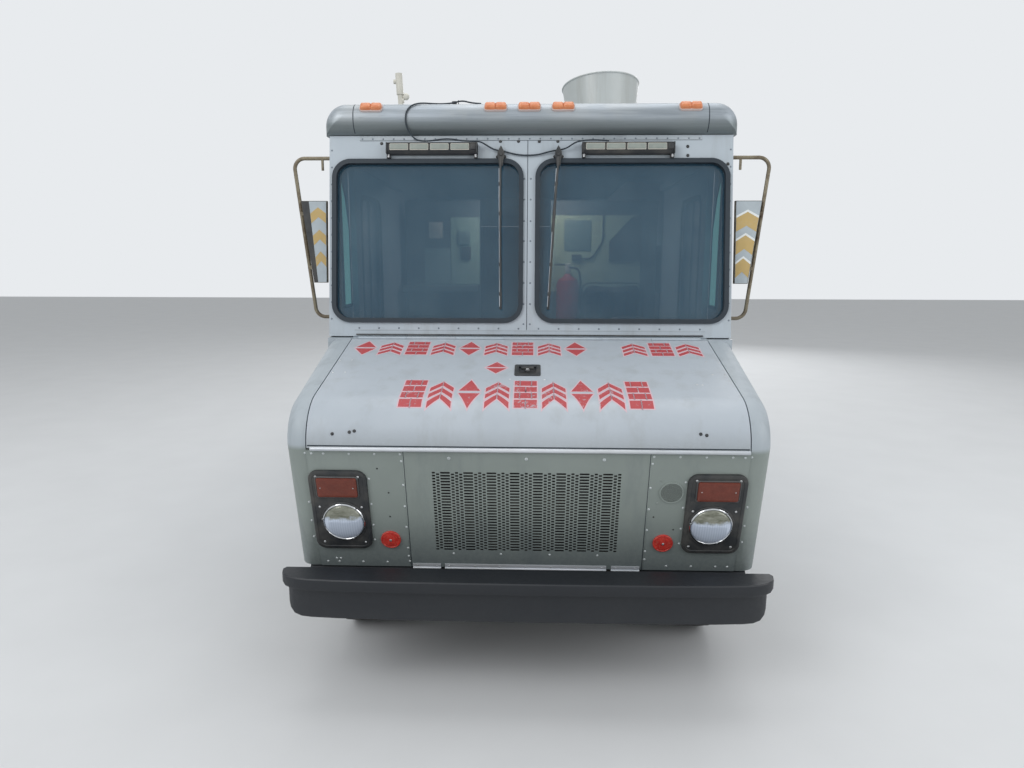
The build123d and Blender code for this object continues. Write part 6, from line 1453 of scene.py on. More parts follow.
# The knob stands just over the sight line from the camera past the cap
KNOB_Z = ROOF_Z + 0.045 + 0.21 * (pipe_y - CAP_AXIS.y)
fittings = bmesh.new()
lathe(fittings, [(0.058, 0.0), (0.058, 0.004), (0.034, 0.01), (0.03, 0.022), (0.001, 0.023)],
      Matrix.Translation((pipe_x, pipe_y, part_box("roof_pipe")[0].z)), 28)
tube(fittings, [(pipe_x, pipe_y, KNOB_Z), (pipe_x + 0.028, pipe_y, KNOB_Z)], 0.007)
lathe(fittings, [(0.001, -0.016), (0.013, -0.014), (0.02, -0.004), (0.02, 0.004), (0.013, 0.014),
                 (0.001, 0.016)], stand((pipe_x + 0.032, pipe_y, KNOB_Z), (0, 0, 1), (1, 0, 0)), 24)
piece("roof_pipe_clamp", fittings, PALE_PLASTIC)
clip = bmesh.new()
block(clip, (-0.418, -2.05, ROOF_Z - 0.01), (-0.392, -2.03, ROOF_Z + 0.022), soften=0.002)
block(clip, (-0.386, -2.05, ROOF_Z - 0.01), (-0.381, -2.03, ROOF_Z + 0.026), soften=0.001)
block(clip, (-0.42, -2.055, ROOF_Z - 0.01), (-0.378, -2.025, ROOF_Z + 0.002), soften=0.001)
piece("lamp_cable_clip", clip, BEZEL_EDGE)

# Cab seen through the windshield: steering wheel, partition, liners and dials
wheel_place = standing((SEAT_X, NOSE_Y + 1.36, 1.47), (0, 0.5, 0.866))
steering = bmesh.new()
tube(steering, circle(0.205, 0.0, 72), 0.0145, wheel_place, 12, looped=True)
lathe(steering, [(0.046, -0.02), (0.05, 0.0), (0.046, 0.012), (0.03, 0.019), (0.001, 0.021)],
      wheel_place, 32, 1)
for turn in (90, 210, 330):
    way = Matrix.Rotation(radians(turn), 4, "Z")
    block(steering, (0.04, -0.013, -0.011), (0.2, 0.013, -0.003), wheel_place @ way, 0.003, paint=1)
lathe(steering, [(0.019, -0.26), (0.019, -0.06), (0.034, -0.04), (0.04, -0.018), (0.001, -0.017)],
      wheel_place, 28, 1)
piece("steering_wheel_and_column", steering, [RIM_PALE, DASH_GREY], ["steering_wheel"])

PARTITION_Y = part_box("galley_counters")[0].y - 0.035
PARTITION_FRONT = stand((0, PARTITION_Y - 0.012, 0), (1, 0, 0))
partition = bmesh.new()
for left, right in ((0.155, 0.984), (-0.984, -0.396)):
    block(partition, (left, FLOOR_Z + 0.004, -0.012), (right, 2.36, 0.0), PARTITION_FRONT, 0.002)
BOARDS = (
    # left, low, right, high, how far out, paint
    (-0.628, 1.714, -0.4, 2.232, 0.004, 1), (-0.835, 1.714, -0.634, 1.992, 0.004, 4),
    (0.16, 1.66, 0.86, 2.247, 0.004, 5), (0.261, 1.975, 0.471, 2.21, 0.01, 4),
    (0.323, 1.901, 0.397, 1.948, 0.04, 3), (-0.83, 2.01, -0.64, 2.214, 0.006, 0),
    (-0.793, 2.069, -0.688, 2.194, 0.06, 2), (-0.566, 2.022, -0.474, 2.127, 0.03, 4),
    (-0.545, 1.905, -0.47, 2.008, 0.026, 3),
)
for left, low, right, high, out, paint in BOARDS:
    block(partition, (left, low, -0.001), (right, high, out), PARTITION_FRONT, 0.001 + out / 10, paint=paint)
block(partition, (-0.985, 1.66, 0.0), (-0.405, 1.712, 0.16), PARTITION_FRONT, 0.006, 3)
prism(partition, ((0.613, 1.895), (0.86, 1.895), (0.86, 2.247), (0.786, 2.235), (0.613, 2.049)), 0.001, 0.03,
      PARTITION_FRONT, 3)
tube(partition, bend_path([(0.564, 2.247, 0.01), (0.562, 2.05, 0.012), (0.48, 1.915, 0.016),
                           (0.395, 1.915, 0.02)], 0.1), 0.006, PARTITION_FRONT, 8, 3)
piece("cab_partition", partition, [INSIDE_WALL, BOARD_GREEN, PALE_PLASTIC, DASH_GREY, BOARD_DULL,
                                   BOARD_YELLOW])

extras = bmesh.new()
EXTINGUISHER_X = 0.29
extinguisher = Matrix.Translation((EXTINGUISHER_X, PARTITION_Y - 0.105, 1.38))
lathe(extras, [(0.001, 0.0), (0.08, 0.002), (0.088, 0.014), (0.088, 0.33), (0.074, 0.375), (0.034, 0.4),
               (0.024, 0.42), (0.001, 0.421)], extinguisher, 32, 0)
block(extras, (0.268, PARTITION_Y - 0.13, 1.798), (0.312, PARTITION_Y - 0.075, 1.88), soften=0.008, paint=2)
block(extras, (0.18, PARTITION_Y - 0.112, 1.862), (0.29, PARTITION_Y - 0.096, 1.876), soften=0.004, paint=1)
tube(extras, bend_path([(0.3, PARTITION_Y - 0.125, 1.85), (0.372, PARTITION_Y - 0.135, 1.84),
                        (0.39, PARTITION_Y - 0.12, 1.74), (0.386, PARTITION_Y - 0.11, 1.52)], 0.04), 0.009,
     paint=1)
block(extras, (0.225, PARTITION_Y - 0.03, 1.48), (0.355, PARTITION_Y - 0.015, 1.53), soften=0.003, paint=1)
piece("fire_extinguisher", extras, [EXTINGUISHER_RED, BLACK_PLASTIC, PALE_PLASTIC])

# Small fixed windows ahead of the cab doors: an opaque pane in its gasket outside, painted dark as the shade
# of the cab behind it, and a pale one inside that glows as painted daylight coming through
QUARTER_OUTLINE = ((1.048, 1.65), (1.19, 1.65), (1.19, 2.07), (1.128, 2.24), (1.048, 2.35))
PANE_THICKNESS = 0.002
quarter_panes = bmesh.new()
quarter_gaskets = bmesh.new()
for side, name in SIDES:
    inside = Vector((side * 0.5, NOSE_Y + 1.12, 1.9))
    inner_face = surface(f"side_wall_{name}").ray_cast(inside, Vector((side, 0, 0)))[0]
    outline = [(side * (NOSE_Y + y), z) for y, z in QUARTER_OUTLINE]
    depth = abs(inner_face.x) - BODY_HALF
    prism(quarter_panes, outline, 0.0, PANE_THICKNESS, WALLS[side], 0)
    prism(quarter_panes, outline, depth - PANE_THICKNESS, depth, WALLS[side], 1)
    for low, high in ((-0.001, 0.005), (depth - 0.005, depth + 0.001)):
        picture_frame(quarter_gaskets, grown(outline, 0.016), grown(outline, -0.004), low, high, WALLS[side])
piece("quarter_window_panes", quarter_panes, [QUARTER_SHADED_GLASS, QUARTER_PAINTED_DAYLIGHT])
piece("quarter_window_gaskets", quarter_gaskets, GASKET)

dials = bmesh.new()
DIAL_PLACE = stand((SEAT_X, NOSE_Y + 1.262, 1.33), (1, 0, 0), (0, -0.42, 0.908))
block(dials, (-0.19, -0.06, -0.016), (0.19, 0.06, 0.004), DIAL_PLACE, 0.008, 3, 0)
for x, radius in ((-0.07, 0.046), (0.07, 0.046), (-0.155, 0.026), (0.155, 0.026)):
    spot = moved(DIAL_PLACE, x, 0, 0.004)
    lathe(dials, [(radius, -0.002), (radius, 0.006), (radius - 0.004, 0.008), (radius - 0.006, 0.003),
                  (0.001, 0.003)], spot, 32, 1)
    needle = spot @ Matrix.Rotation(0.9, 4, "Z")
    block(dials, (-0.0015, -0.004, 0.003), (0.0015, radius * 0.7, 0.0045), needle, paint=2)
piece("dash_dials", dials, [DASH_GREY, BLACK_PLASTIC, SIGN_WHITE])

# Body sides: rub rails, panel seams with their rivets, drip rail, side lamps, door and hatch details
DOOR_Y = (NOSE_Y + 1.22, NOSE_Y + 1.97)
flap_low, flap_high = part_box("serving_flap")
HATCH_Y = (flap_low.y, flap_high.y)
HATCH_Z = (flap_low.z, flap_high.z)
DOOR_TOP_Z = 2.42
SHELF_FOOT_Z = 0.88
ARCH_REACH = REAR_TYRE_RADIUS + 0.06
RAILS = (
    # height, and where the rail starts and ends
    (0.8, ((DOOR_Y[1] + 0.03, REAR_AXLE_Y + 1.55),)),
    (0.47, ((DOOR_Y[1] + 0.03, REAR_AXLE_Y - 0.52), (REAR_AXLE_Y + 0.52, REAR_AXLE_Y + 1.55))),
)
RAIL_SECTION = ((-0.022, 0.0), (-0.018, 0.007), (-0.007, 0.011), (0.007, 0.011), (0.018, 0.007), (0.022, 0.0))
GUTTER_SECTION = ((2.52, 0.0), (2.52, 0.016), (2.532, 0.021), (2.537, 0.021), (2.537, 0.017), (2.528, 0.012),
                  (2.546, 0.0))
SEAMS_Y = {LEFT: (-1.0, 2.25, 0.21, 1.43), RIGHT: (-1.0, 2.25, -0.2, 1.66)}
SEAM_RIVET_PITCH = 0.075
ARCH_FOOT_Z = 0.402
SIDE_LAMPS = ((-2.1, 0.87, 0), (2.96, 0.9, 1), (-0.95, 2.44, 0), (3.0, 2.44, 1), (0.2, 2.44, 0))


def wall_spots(side, spots):
    """Spots of (y, z) as spots on the wall's frame, whose X runs to the vehicle's rear on one side."""
    return [(side * y, z) for y, z in spots]


def clear_of_doors(side, y, z):
    """Whether a spot is on the sheet, off the openings and the arch."""
    margin = 0.03
    if DOOR_Y[0] - margin < y < DOOR_Y[1] + margin and z < DOOR_TOP_Z + margin:
        return False
    beside_hatch = HATCH_Y[0] - margin < y < HATCH_Y[1] + margin
    if side == RIGHT and beside_hatch and SHELF_FOOT_Z < z < HATCH_Z[1] + margin:
        return False
    return (y - REAR_AXLE_Y) ** 2 + (z - AXLE_Z) ** 2 > (ARCH_REACH + margin) ** 2


for side, name in SIDES:
    wall = WALLS[side]
    trim = bmesh.new()
    rail_screws = []
    for z, lengths in RAILS:
        for start, end in lengths:
            skin(trim, [[(side * y, z + rise, out) for rise, out in RAIL_SECTION] for y in (start, end)],
                 wall)
            count = max(2, round((end - start) / 0.3))
            rail_screws += [(side * y, z) for y in spread(start + 0.04, end - 0.04, count)]
    piece(f"rub_rails_{name}", trim, TRIM_METAL)
    set_on(f"rub_rail_screws_{name}", on(wall, rail_screws, 0.011), SCREW, 0.0055, ZINC)

    seams = bmesh.new()
    rivets = []
    for y in SEAMS_Y[side]:
        low_z = 0.42 if (y - REAR_AXLE_Y) ** 2 > (ARCH_REACH + 0.05) ** 2 else AXLE_Z + 0.5
        block(seams, (side * y - 0.014, low_z, -0.0005), (side * y + 0.014, 2.5, 0.001), wall, 0.0004)
        for i in range(int((2.48 - low_z) / SEAM_RIVET_PITCH)):
            z = low_z + 0.03 + i * SEAM_RIVET_PITCH
            if min(abs(z - level) for level, _ in RAILS) > 0.035:
                rivets += [(side * y - 0.008, z), (side * y + 0.008, z)]
    edge_rivets = [(y, z) for y in spread(-2.1, 3.08, 60) for z in (2.468, 0.432)
                   if clear_of_doors(side, y, z)]
    rivets += wall_spots(side, edge_rivets)
    rivets += wall_spots(side, [(3.085, z) for z in spread(0.9, 2.4, 17)])
    rivets += wall_spots(side, [(-2.165, z) for z in spread(1.55, 2.4, 10)])
    places = landed(surface(f"side_wall_{name}"), wall, rivets, reach=0.05)
    set_on(f"side_rivets_{name}", places, RIVET, 0.0046, RIVET_GREY)
    piece(f"side_seams_{name}", seams, BODY_WHITE)

    gutter = bmesh.new()
    skin(gutter, [[(side * y, *spot) for spot in GUTTER_SECTION] for y in (-1.69, 3.125)], wall)
    piece(f"drip_rail_{name}", gutter, TRIM_METAL)

    lamps = bmesh.new()
    for y, z, paint in SIDE_LAMPS:
        spot = moved(wall, side * y, z)
        pillow(lamps, 0.108, 0.052, 0.01, ((0, -0.002), (0, 0.006), (0.003, 0.008), (0.006, 0.008)), spot, 2)
        pillow(lamps, 0.088, 0.036, 0.008, ((0, 0.004), (0.001, 0.013), (0.004, 0.018), (0.01, 0.02)), spot,
               paint)
    piece(f"side_marker_lamps_{name}", lamps, [AMBER_LENS, RED_LENS, BLACK_PLASTIC])

    arch = bmesh.new()
    centre = wall @ Vector((side * REAR_AXLE_Y, AXLE_Z, 0))
    face = wall.to_3x3() @ Vector((0, 0, 1))
    rings = []
    for turn in range(-12, 193, 5):
        out = Vector((0, cos(radians(turn)), sin(radians(turn))))
        point = centre + out * (ARCH_REACH - 0.008)
        if point.z > ARCH_FOOT_Z:
            rings.append([point - face * 0.001, point + face * 0.007, point + out * 0.02 + face * 0.007,
                          point + out * 0.026 - face * 0.001])
    skin(arch, rings)
    piece(f"rear_arch_lip_{name}", arch, GASKET)

    # Cab door: pane, gasket, inner stiffener, handle and rivets; it stands inside the wall
    door = f"cab_door_{name}"
    reaches = sorted(abs(corner.x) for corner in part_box(door))
    door_depth = reaches[1] - reaches[0]
    pane_z = (1.48 + 2.27) / 2
    door_face = stand((side * reaches[1], (DOOR_Y[0] + DOOR_Y[1]) / 2, 0), (0, side, 0))
    glass = bmesh.new()
    skin(glass, [rounded(0.526, 0.786, 0.068, height, 6, (0, pane_z)) for height in (-0.02, -0.015)],
         door_face)
    piece(f"door_pane_{name}", glass, GLASS, body=door)
    gasket = bmesh.new()
    for low, high in ((-0.003, 0.0035), (-door_depth - 0.0035, -door_depth + 0.003)):
        picture_frame(gasket, rounded(0.56, 0.82, 0.085, 0, 6, (0, pane_z)),
                      rounded(0.5, 0.76, 0.055, 0, 6, (0, pane_z)), low, high, door_face)
    block(gasket, (-0.009, pane_z - 0.385, -0.022), (0.009, pane_z + 0.385, -0.01), door_face, 0.002)
    piece(f"door_gasket_{name}", gasket, GASKET, body=door)
    handle = bmesh.new()
    block(handle, (-0.31, 1.255, -0.001), (-0.235, 1.425, 0.001), door_face, 0.0006)
    pillow(handle, 0.052, 0.12, 0.014, ((0, 0.0), (0, 0.0012), (0.002, 0.0018), (0.006, 0.0018)), door_face,
           1, centre=(-0.272, 1.345))
    block(handle, (-0.282, 1.3, 0.0012), (-0.262, 1.392, 0.0026), door_face, 0.0006)
    piece(f"door_handle_{name}", handle, [TRIM_METAL, BLACK_PLASTIC], body=door)
    spots = [(x, z) for z in (0.5, 1.18, 1.43, 2.36) for x in spread(-0.34, 0.34, 9)]
    spots = [(x, z) for x, z in spots if not (abs(x + 0.272) < 0.05 and 1.24 < z < 1.44)]
    set_on(f"door_rivets_{name}", on(door_face, spots), RIVET, 0.0042, RIVET_GREY, body=door)

# Serving hatch: frame, drip strip, flap stiffeners and latches, shelf edge and brackets
RIGHT_WALL = WALLS[RIGHT]
FLAP_RIBS_Z = (HATCH_Z[0] + 0.03, (HATCH_Z[0] + HATCH_Z[1]) / 2 - 0.02, HATCH_Z[1] - 0.075)


def hatch_outline(beside, below, above):
    """The hatch's outline on the right wall, grown by some way beside, below and above it."""
    return oblong(-HATCH_Y[1] - beside, HATCH_Z[0] - below, -HATCH_Y[0] + beside, HATCH_Z[1] + above)


hatch = bmesh.new()
picture_frame(hatch, hatch_outline(0.035, 0.03, 0.04), hatch_outline(0.012, 0.01, 0.026), -0.001, 0.0045,
              RIGHT_WALL)
DRIP_SECTION = ((0.052, 0.0), (0.056, 0.0), (0.046, 0.026), (0.042, 0.026))
skin(hatch, [[(-y, HATCH_Z[1] + rise, out) for rise, out in DRIP_SECTION]
             for y in (HATCH_Y[0] - 0.05, HATCH_Y[1] + 0.05)], RIGHT_WALL)
piece("hatch_frame", hatch, TRIM_METAL)
flap = bmesh.new()
for z in FLAP_RIBS_Z:
    block(flap, (-HATCH_Y[1] + 0.03, z - 0.016, -0.0005), (-HATCH_Y[0] - 0.03, z + 0.016, 0.0045), RIGHT_WALL,
          0.003, 3)
piece("flap_stiffeners", flap, BODY_WHITE, body="serving_flap")
latches = bmesh.new()
for y in (HATCH_Y[0] + 0.22, HATCH_Y[1] - 0.22):
    spot = moved(RIGHT_WALL, -y, HATCH_Z[0] + 0.095)
    pillow(latches, 0.1, 0.062, 0.008, ((0, 0), (0, 0.0022), (0.001, 0.003), (0.004, 0.003)), spot)
    block(latches, (-0.01, -0.02, 0.003), (0.01, 0.024, 0.012), spot, 0.004, 3)
piece("flap_latches", latches, STAINLESS, body="serving_flap")
spots = [(-y, z) for z in FLAP_RIBS_Z for y in spread(HATCH_Y[0] + 0.06, HATCH_Y[1] - 0.06, 15)]
set_on("flap_rivets", on(RIGHT_WALL, spots, 0.0045), RIVET, 0.0042, RIVET_GREY,
       body="serving_flap")

shelf_low, shelf_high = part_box("serving_shelf")
shelf_face = stand((shelf_low.x, 0, 0), (0, -1, 0))
shelf = bmesh.new()
for y in (shelf_low.y + 0.2, (shelf_low.y + shelf_high.y) / 2, shelf_high.y - 0.2):
    block(shelf, (-y - 0.014, shelf_low.z + 0.05, -0.0005), (-y + 0.014, shelf_high.z - 0.075, 0.006),
          shelf_face, 0.003, 3)
block(shelf, (-shelf_high.y + 0.004, shelf_low.z + 0.004, -0.0005),
      (-shelf_low.y - 0.004, shelf_low.z + 0.03, 0.004), shelf_face, 0.0018)
piece("shelf_ribs", shelf, TRIM_METAL, body="serving_shelf")

# Fuel filler on the driver's side
filler = bmesh.new()
filler_place = moved(WALLS[LEFT], -0.45, 0.64)
pillow(filler, 0.18, 0.18, 0.02, ((0, -0.001), (0, 0.0015), (0.001, 0.0025), (0.004, 0.0025)), filler_place,
       0)
lathe(filler, [(0.062, 0.001), (0.062, 0.006), (0.056, 0.009), (0.044, 0.009), (0.044, 0.016), (0.04, 0.024),
               (0.03, 0.027), (0.001, 0.028)], filler_place, 36, 1)
block(filler, (-0.03, -0.008, 0.024), (0.03, 0.008, 0.036), filler_place, 0.004, 3, 1)
piece("fuel_filler", filler, [TRIM_METAL, BLACK_PLASTIC])

# Rear: door sheets, panes, lock rods, handles, blank plate, lamps and rivets
REAR_PANE_Z = 1.83
for side, name in SIDES:
    door = f"rear_door_{name}"
    face = stand((middle_of(door, 0), BODY_REAR_Y, 0), (-1, 0, 0))
    sheet = bmesh.new()
    skin(sheet, [rounded(0.416, 0.516, 0.058, height, 6, (0, REAR_PANE_Z)) for height in (-0.022, -0.019)],
         face)
    piece(f"rear_pane_sheet_{name}", sheet, BODY_WHITE, body=door)
    gasket = bmesh.new()
    picture_frame(gasket, rounded(0.452, 0.552, 0.075, 0, 6, (0, REAR_PANE_Z)),
                  rounded(0.396, 0.496, 0.048, 0, 6, (0, REAR_PANE_Z)), -0.003, 0.004, face)
    piece(f"rear_pane_gasket_{name}", gasket, GASKET, body=door)
    spots = [(x, z) for x in (-0.31, 0.31) for z in spread(0.83, 2.27, 17)]
    spots += [(x, z) for z in (0.83, 1.47, 2.27) for x in spread(-0.27, 0.27, 8)]
    set_on(f"rear_door_rivets_{name}", on(face, spots), RIVET, 0.0044, RIVET_GREY, body=door)
rod_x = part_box("rear_door_left")[0].x + 0.045
lock_face = stand((rod_x, BODY_REAR_Y, 0), (-1, 0, 0))
lock = bmesh.new()
tube(lock, [(0, 0.79, 0.016), (0, 2.29, 0.016)], 0.0085, lock_face, 12)
for z in (0.86, 1.2, 1.62, 1.98, 2.24):
    block(lock, (-0.022, z - 0.016, 0.0), (0.022, z + 0.016, 0.012), lock_face, 0.004, 3)
block(lock, (-0.15, 1.3, 0.014), (0.012, 1.326, 0.026), lock_face, 0.006, 3)
block(lock, (-0.155, 1.285, 0.0), (-0.125, 1.341, 0.018), lock_face, 0.004, 3)
piece("rear_lock_rod", lock, ZINC, body="rear_door_left")

rear = bmesh.new()
for side, _ in SIDES:
    for z in (1.05, 1.19):
        place = stand((side * (BODY_HALF - 0.19), BODY_REAR_Y, z), (-1, 0, 0))
        lathe(rear, [(0.064, -0.001), (0.064, 0.01), (0.06, 0.014), (0.055, 0.013), (0.054, 0.006)], place,
              44, 1)
        lathe(rear, [(0.0535, 0.004), (0.0535, 0.018), (0.051, 0.0225), (0.044, 0.025), (0.0425, 0.0235),
                     (0.033, 0.0262), (0.0315, 0.0247), (0.02, 0.0274), (0.0185, 0.0259), (0.001, 0.028)],
              place, 44, 0)
piece("tail_lamps_round", rear, [RED_LENS, GASKET], ["tail_lamps"])

plate = bmesh.new()
pillow(plate, 0.32, 0.165, 0.01, ((0, 0), (0, 0.003), (0.001, 0.004), (0.004, 0.004)), REAR, 0,
       centre=(0.86, 0.82))
pillow(plate, 0.3, 0.15, 0.01, ((0, 0.003), (0, 0.0045), (0.001, 0.0055), (0.003, 0.0055)), REAR, 1,
       centre=(0.86, 0.82))
block(plate, (0.8, 0.906, 0.0), (0.92, 0.926, 0.026), REAR, 0.004, 3, 0)
piece("rear_plate_blank", plate, [BLACK_PLASTIC, SIGN_WHITE])
rear_marks = bmesh.new()
for x in (-0.86, -0.11, 0.0, 0.11, 0.86):
    spot = moved(REAR, x, 2.48)
    pillow(rear_marks, 0.098, 0.044, 0.01, ((0, -0.001), (0, 0.004), (0.002, 0.005), (0.004, 0.005)), spot, 1)
    pillow(rear_marks, 0.084, 0.034, 0.012, ((0, 0.003), (0.001, 0.01), (0.004, 0.015), (0.01, 0.017)), spot,
           0)
piece("rear_marker_lamps", rear_marks, [RED_LENS, BLACK_PLASTIC])
spots = mirrored([(1.04, z) for z in spread(0.66, 2.46, 24)])
spots += mirrored([(0.745, z) for z in spread(0.8, 2.38, 22)])
spots += [(x, 2.415) for x in spread(-1.0, 1.0, 27)]
set_on("rear_wall_rivets", landed(surface("rear_wall"), REAR, spots, 0.06), RIVET, 0.0046, RIVET_GREY)

# Roof: joints across with their rivets
roof_joints = bmesh.new()
roof_rivets = []
for y in (-0.56, 0.56, 1.7):
    block(roof_joints, (-0.96, y - 0.016, -0.0005), (0.96, y + 0.016, 0.0012), ROOF, 0.0004)
    roof_rivets += [(x, y + shift) for x in spread(-0.94, 0.94, 26) for shift in (-0.008, 0.008)]
piece("roof_joints", roof_joints, ROOF_METAL)
set_on("roof_rivets", on(ROOF, roof_rivets, 0.001), RIVET, 0.0048, ROOF_METAL)

# Tyres with moulded tread and sidewalls
TREAD_BLOCKS = 56


def tyre_profile(radius, half_width):
    """(radius, across) round a tyre's sidewall, from the bead to the edge of its tread."""
    side = [(0.222, 0.62), (0.226, 0.8), (0.234, 0.86), (0.262, 0.93), (0.268, 0.955), (0.285, 0.985),
            (0.31, 1.0), (0.333, 0.99), (0.34, 1.0), (0.345, 0.985), (0.356, 0.955), (radius - 0.008, 0.88)]
    return [(r, share * half_width) for r, share in side]


def tyre(shape, place, radius, half_width):
    """One tyre: sidewalls turned, and a tread of zig-zag grooves between ribs."""
    steps = TREAD_BLOCKS * 4
    side = tyre_profile(radius, half_width)
    edges = (-0.86, -0.56, -0.5, -0.2, -0.14, 0.14, 0.2, 0.5, 0.56, 0.86)
    groove = 0.009
    tilt = 0.0006
    lines = [(r, -x, 0.0) for r, x in side]
    crown = radius - 0.0005
    for i, share in enumerate(edges):
        across = share * half_width
        drop = 0.003 * share ** 2
        wave = 0.0 if i in (0, len(edges) - 1) else 0.0042
        if i % 2:
            lines += [(crown - drop, across, wave), (crown - drop - groove, across + tilt, wave)]
        elif i:
            lines += [(crown - drop - groove, across - tilt, wave), (crown - drop, across, wave)]
        else:
            lines.append((crown - drop, across, wave))
    del lines[-1]
    lines += [(r, x, 0.0) for r, x in reversed(side)]
    lines += [(0.212, 0.5 * half_width, 0.0), (0.212, -0.5 * half_width, 0.0)]
    rings = []
    for r, across, wave in lines:
        ring = []
        for k, (x, y, _) in enumerate(circle(r, steps=steps)):
            ring.append((x, y, across + wave * (1 if (k // 2) % 2 else -1)))
        rings.append(ring)
    skin(shape, rings, place, looped=True)


TWIN_TYRE_HALF = 0.107
for kind, body, twin in (("front_tyre", "wheel_front", False), ("rear_tyres", "wheels_rear", True)):
    for _, name in SIDES:
        node = f"{kind}_{name}"
        low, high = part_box(node)
        half = TWIN_TYRE_HALF if twin else (high.x - low.x) / 2
        rubber = bmesh.new()
        for x in (low.x + half, high.x - half) if twin else (middle_of(node, 0),):
            tyre(rubber, stand((x, middle_of(node, 1), high.z / 2), (0, 1, 0)), high.z / 2, half)
        piece(f"{node}_with_tread", rubber, TYRE_BLACK, [node], body=f"{body}_{name}",
              crease=38)

# Wheel nuts, and the bolts of the rear axle's shafts
NUT_CIRCLE = 0.1
AXLE_BOLT_CIRCLE = 0.048
HUB_REACH = 0.45
for side, name in SIDES:
    for body, node in ((f"wheel_front_{name}", f"front_wheel_{name}"),
                       (f"wheels_rear_{name}", f"rear_wheels_{name}")):
        wheel_skin = surface(node)
        hub = stand((side * 1.1, middle_of(node, 1), AXLE_Z), (0, side, 0))
        places = landed(wheel_skin, hub, circle(NUT_CIRCLE, 0, 8, 0.5), HUB_REACH)
        set_on(f"{node}_nuts", places, HEX_BOLT, 0.0105, ZINC, body=body, spin=0.3)
        if node.startswith("rear"):
            places = landed(wheel_skin, hub, circle(AXLE_BOLT_CIRCLE, 0, 8), HUB_REACH)
            set_on(f"{node}_axle_bolts", places, HEX_BOLT, 0.007, ZINC, body=body)

# Galley: door fronts with their bars, griddle, knobs and burners
GALLEY_DOOR_PITCH = 0.36
counter_low, counter_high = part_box("galley_counters")
galley = bmesh.new()
door_plane = stand((0.343, 0, 0), (0, -1, 0))
for i in range(3):
    start = counter_low.y + 0.03 + i * GALLEY_DOOR_PITCH
    block(galley, (-start - 0.34, 0.86, 0.0), (-start, 1.48, 0.012), door_plane, 0.004)
    tube(galley, [(-start - 0.3, 1.4, 0.03), (-start - 0.04, 1.4, 0.03)], 0.007, door_plane, 10)
    for shift in (0.05, 0.29):
        tube(galley, [(-start - shift, 1.4, 0.008), (-start - shift, 1.4, 0.03)], 0.0055, door_plane, 8)
piece("galley_fronts", galley, STAINLESS)

cooking = bmesh.new()
cook_top = counter_high.z
griddle_y = counter_low.y + 0.08
block(cooking, (0.4, griddle_y, cook_top), (0.9, griddle_y + 0.56, cook_top + 0.045), soften=0.006, paint=0)
block(cooking, (0.42, griddle_y + 0.02, cook_top + 0.04), (0.88, griddle_y + 0.54, cook_top + 0.05),
      soften=0.003, paint=1)
for k in range(4):
    spot = stand((0.4, griddle_y + 0.07 + k * 0.14, cook_top + 0.022), (0, -1, 0))
    lathe(cooking, [(0.017, 0.0), (0.017, 0.014), (0.013, 0.022), (0.001, 0.023)], spot, 20, 2)
for k in range(4):
    spot = Matrix.Translation((0.52 + 0.26 * (k % 2), griddle_y + 0.7 + 0.26 * (k // 2), cook_top))
    lathe(cooking, [(0.06, 0.0), (0.06, 0.012), (0.046, 0.02), (0.001, 0.02)], spot, 28, 1)
    for turn in (0, 60, 120):
        bar = spot @ Matrix.Rotation(radians(turn), 4, "Z")
        block(cooking, (-0.105, -0.005, 0.024), (0.105, 0.005, 0.034), bar, 0.002, paint=2)
    tube(cooking, circle(0.104, 0.026, 40), 0.004, spot, 8, 2, looped=True)
piece("griddle_and_burners", cooking, [STAINLESS, ENGINE_IRON, BLACK_PLASTIC])

# Seat cushions: cloth blown up a little from smaller shapes, then welts along their edges
CUSHION_TIME = 20
GROOVE_DEPTH = 0.007
GROOVE_REACH = 0.035
CUSHION_SWELL = 0.022


def stuffed(name, size, centre, lean):
    """A crowned cushion of (across, deep, thick), turned by a lean about its own middle line."""
    width, depth, thick = size
    shape = bmesh.new()
    levels = ((0.035, -0.5), (0.01, -0.47), (0.0, -0.3), (0.0, 0.22), (0.008, 0.42), (0.03, 0.5))
    pillow(shape, width, depth, 0.055, [(inset, share * thick) for inset, share in levels], steps=6)
    mesh = as_mesh(name, shape)
    made = placed(name, mesh)
    bpy.context.view_layer.objects.active = made
    remesh = made.modifiers.new("even", "REMESH")
    remesh.mode = "VOXEL"
    remesh.voxel_size = 0.006
    bpy.ops.object.modifier_apply(modifier="even")
    start = [corner.co.copy() for corner in mesh.vertices]
    cloth = made.modifiers.new("cloth", "CLOTH")
    cloth.settings.use_pressure = True
    cloth.settings.uniform_pressure_force = 4
    cloth.settings.effector_weights.gravity = 0
    for moment in range(1, CUSHION_TIME + 1):
        bpy.context.scene.frame_set(moment)
    blown = made.evaluated_get(bpy.context.evaluated_depsgraph_get()).data
    reached = [corner.co.copy() for corner in blown.vertices]
    made.modifiers.remove(cloth)
    bpy.context.scene.frame_set(1)
    for corner, before, after in zip(mesh.vertices, start, reached):
        way = after - before
        corner.co = before + way * min(1.0, CUSHION_SWELL / max(way.length, 1e-9))
    low = -thick / 2
    for corner in mesh.vertices:
        corner.co.z = max(corner.co.z, low)
        across = corner.co.x / (width / 2)
        along = corner.co.y / (depth / 2)
        if corner.co.z > 0:
            for groove in (-0.42, 0.0, 0.42):
                near = max(0.0, 1 - ((across - groove) / GROOVE_REACH) ** 2)
                corner.co.z -= GROOVE_DEPTH * near * max(0.0, 1 - along ** 4)
    place = Matrix.Translation(centre) @ Matrix.Rotation(lean, 4, "X")
    mesh.transform(place)
    soft = made.modifiers.new("soft", "SUBSURF")
    soft.levels = 1
    soft.render_levels = 1
    return frozen(made, name), place


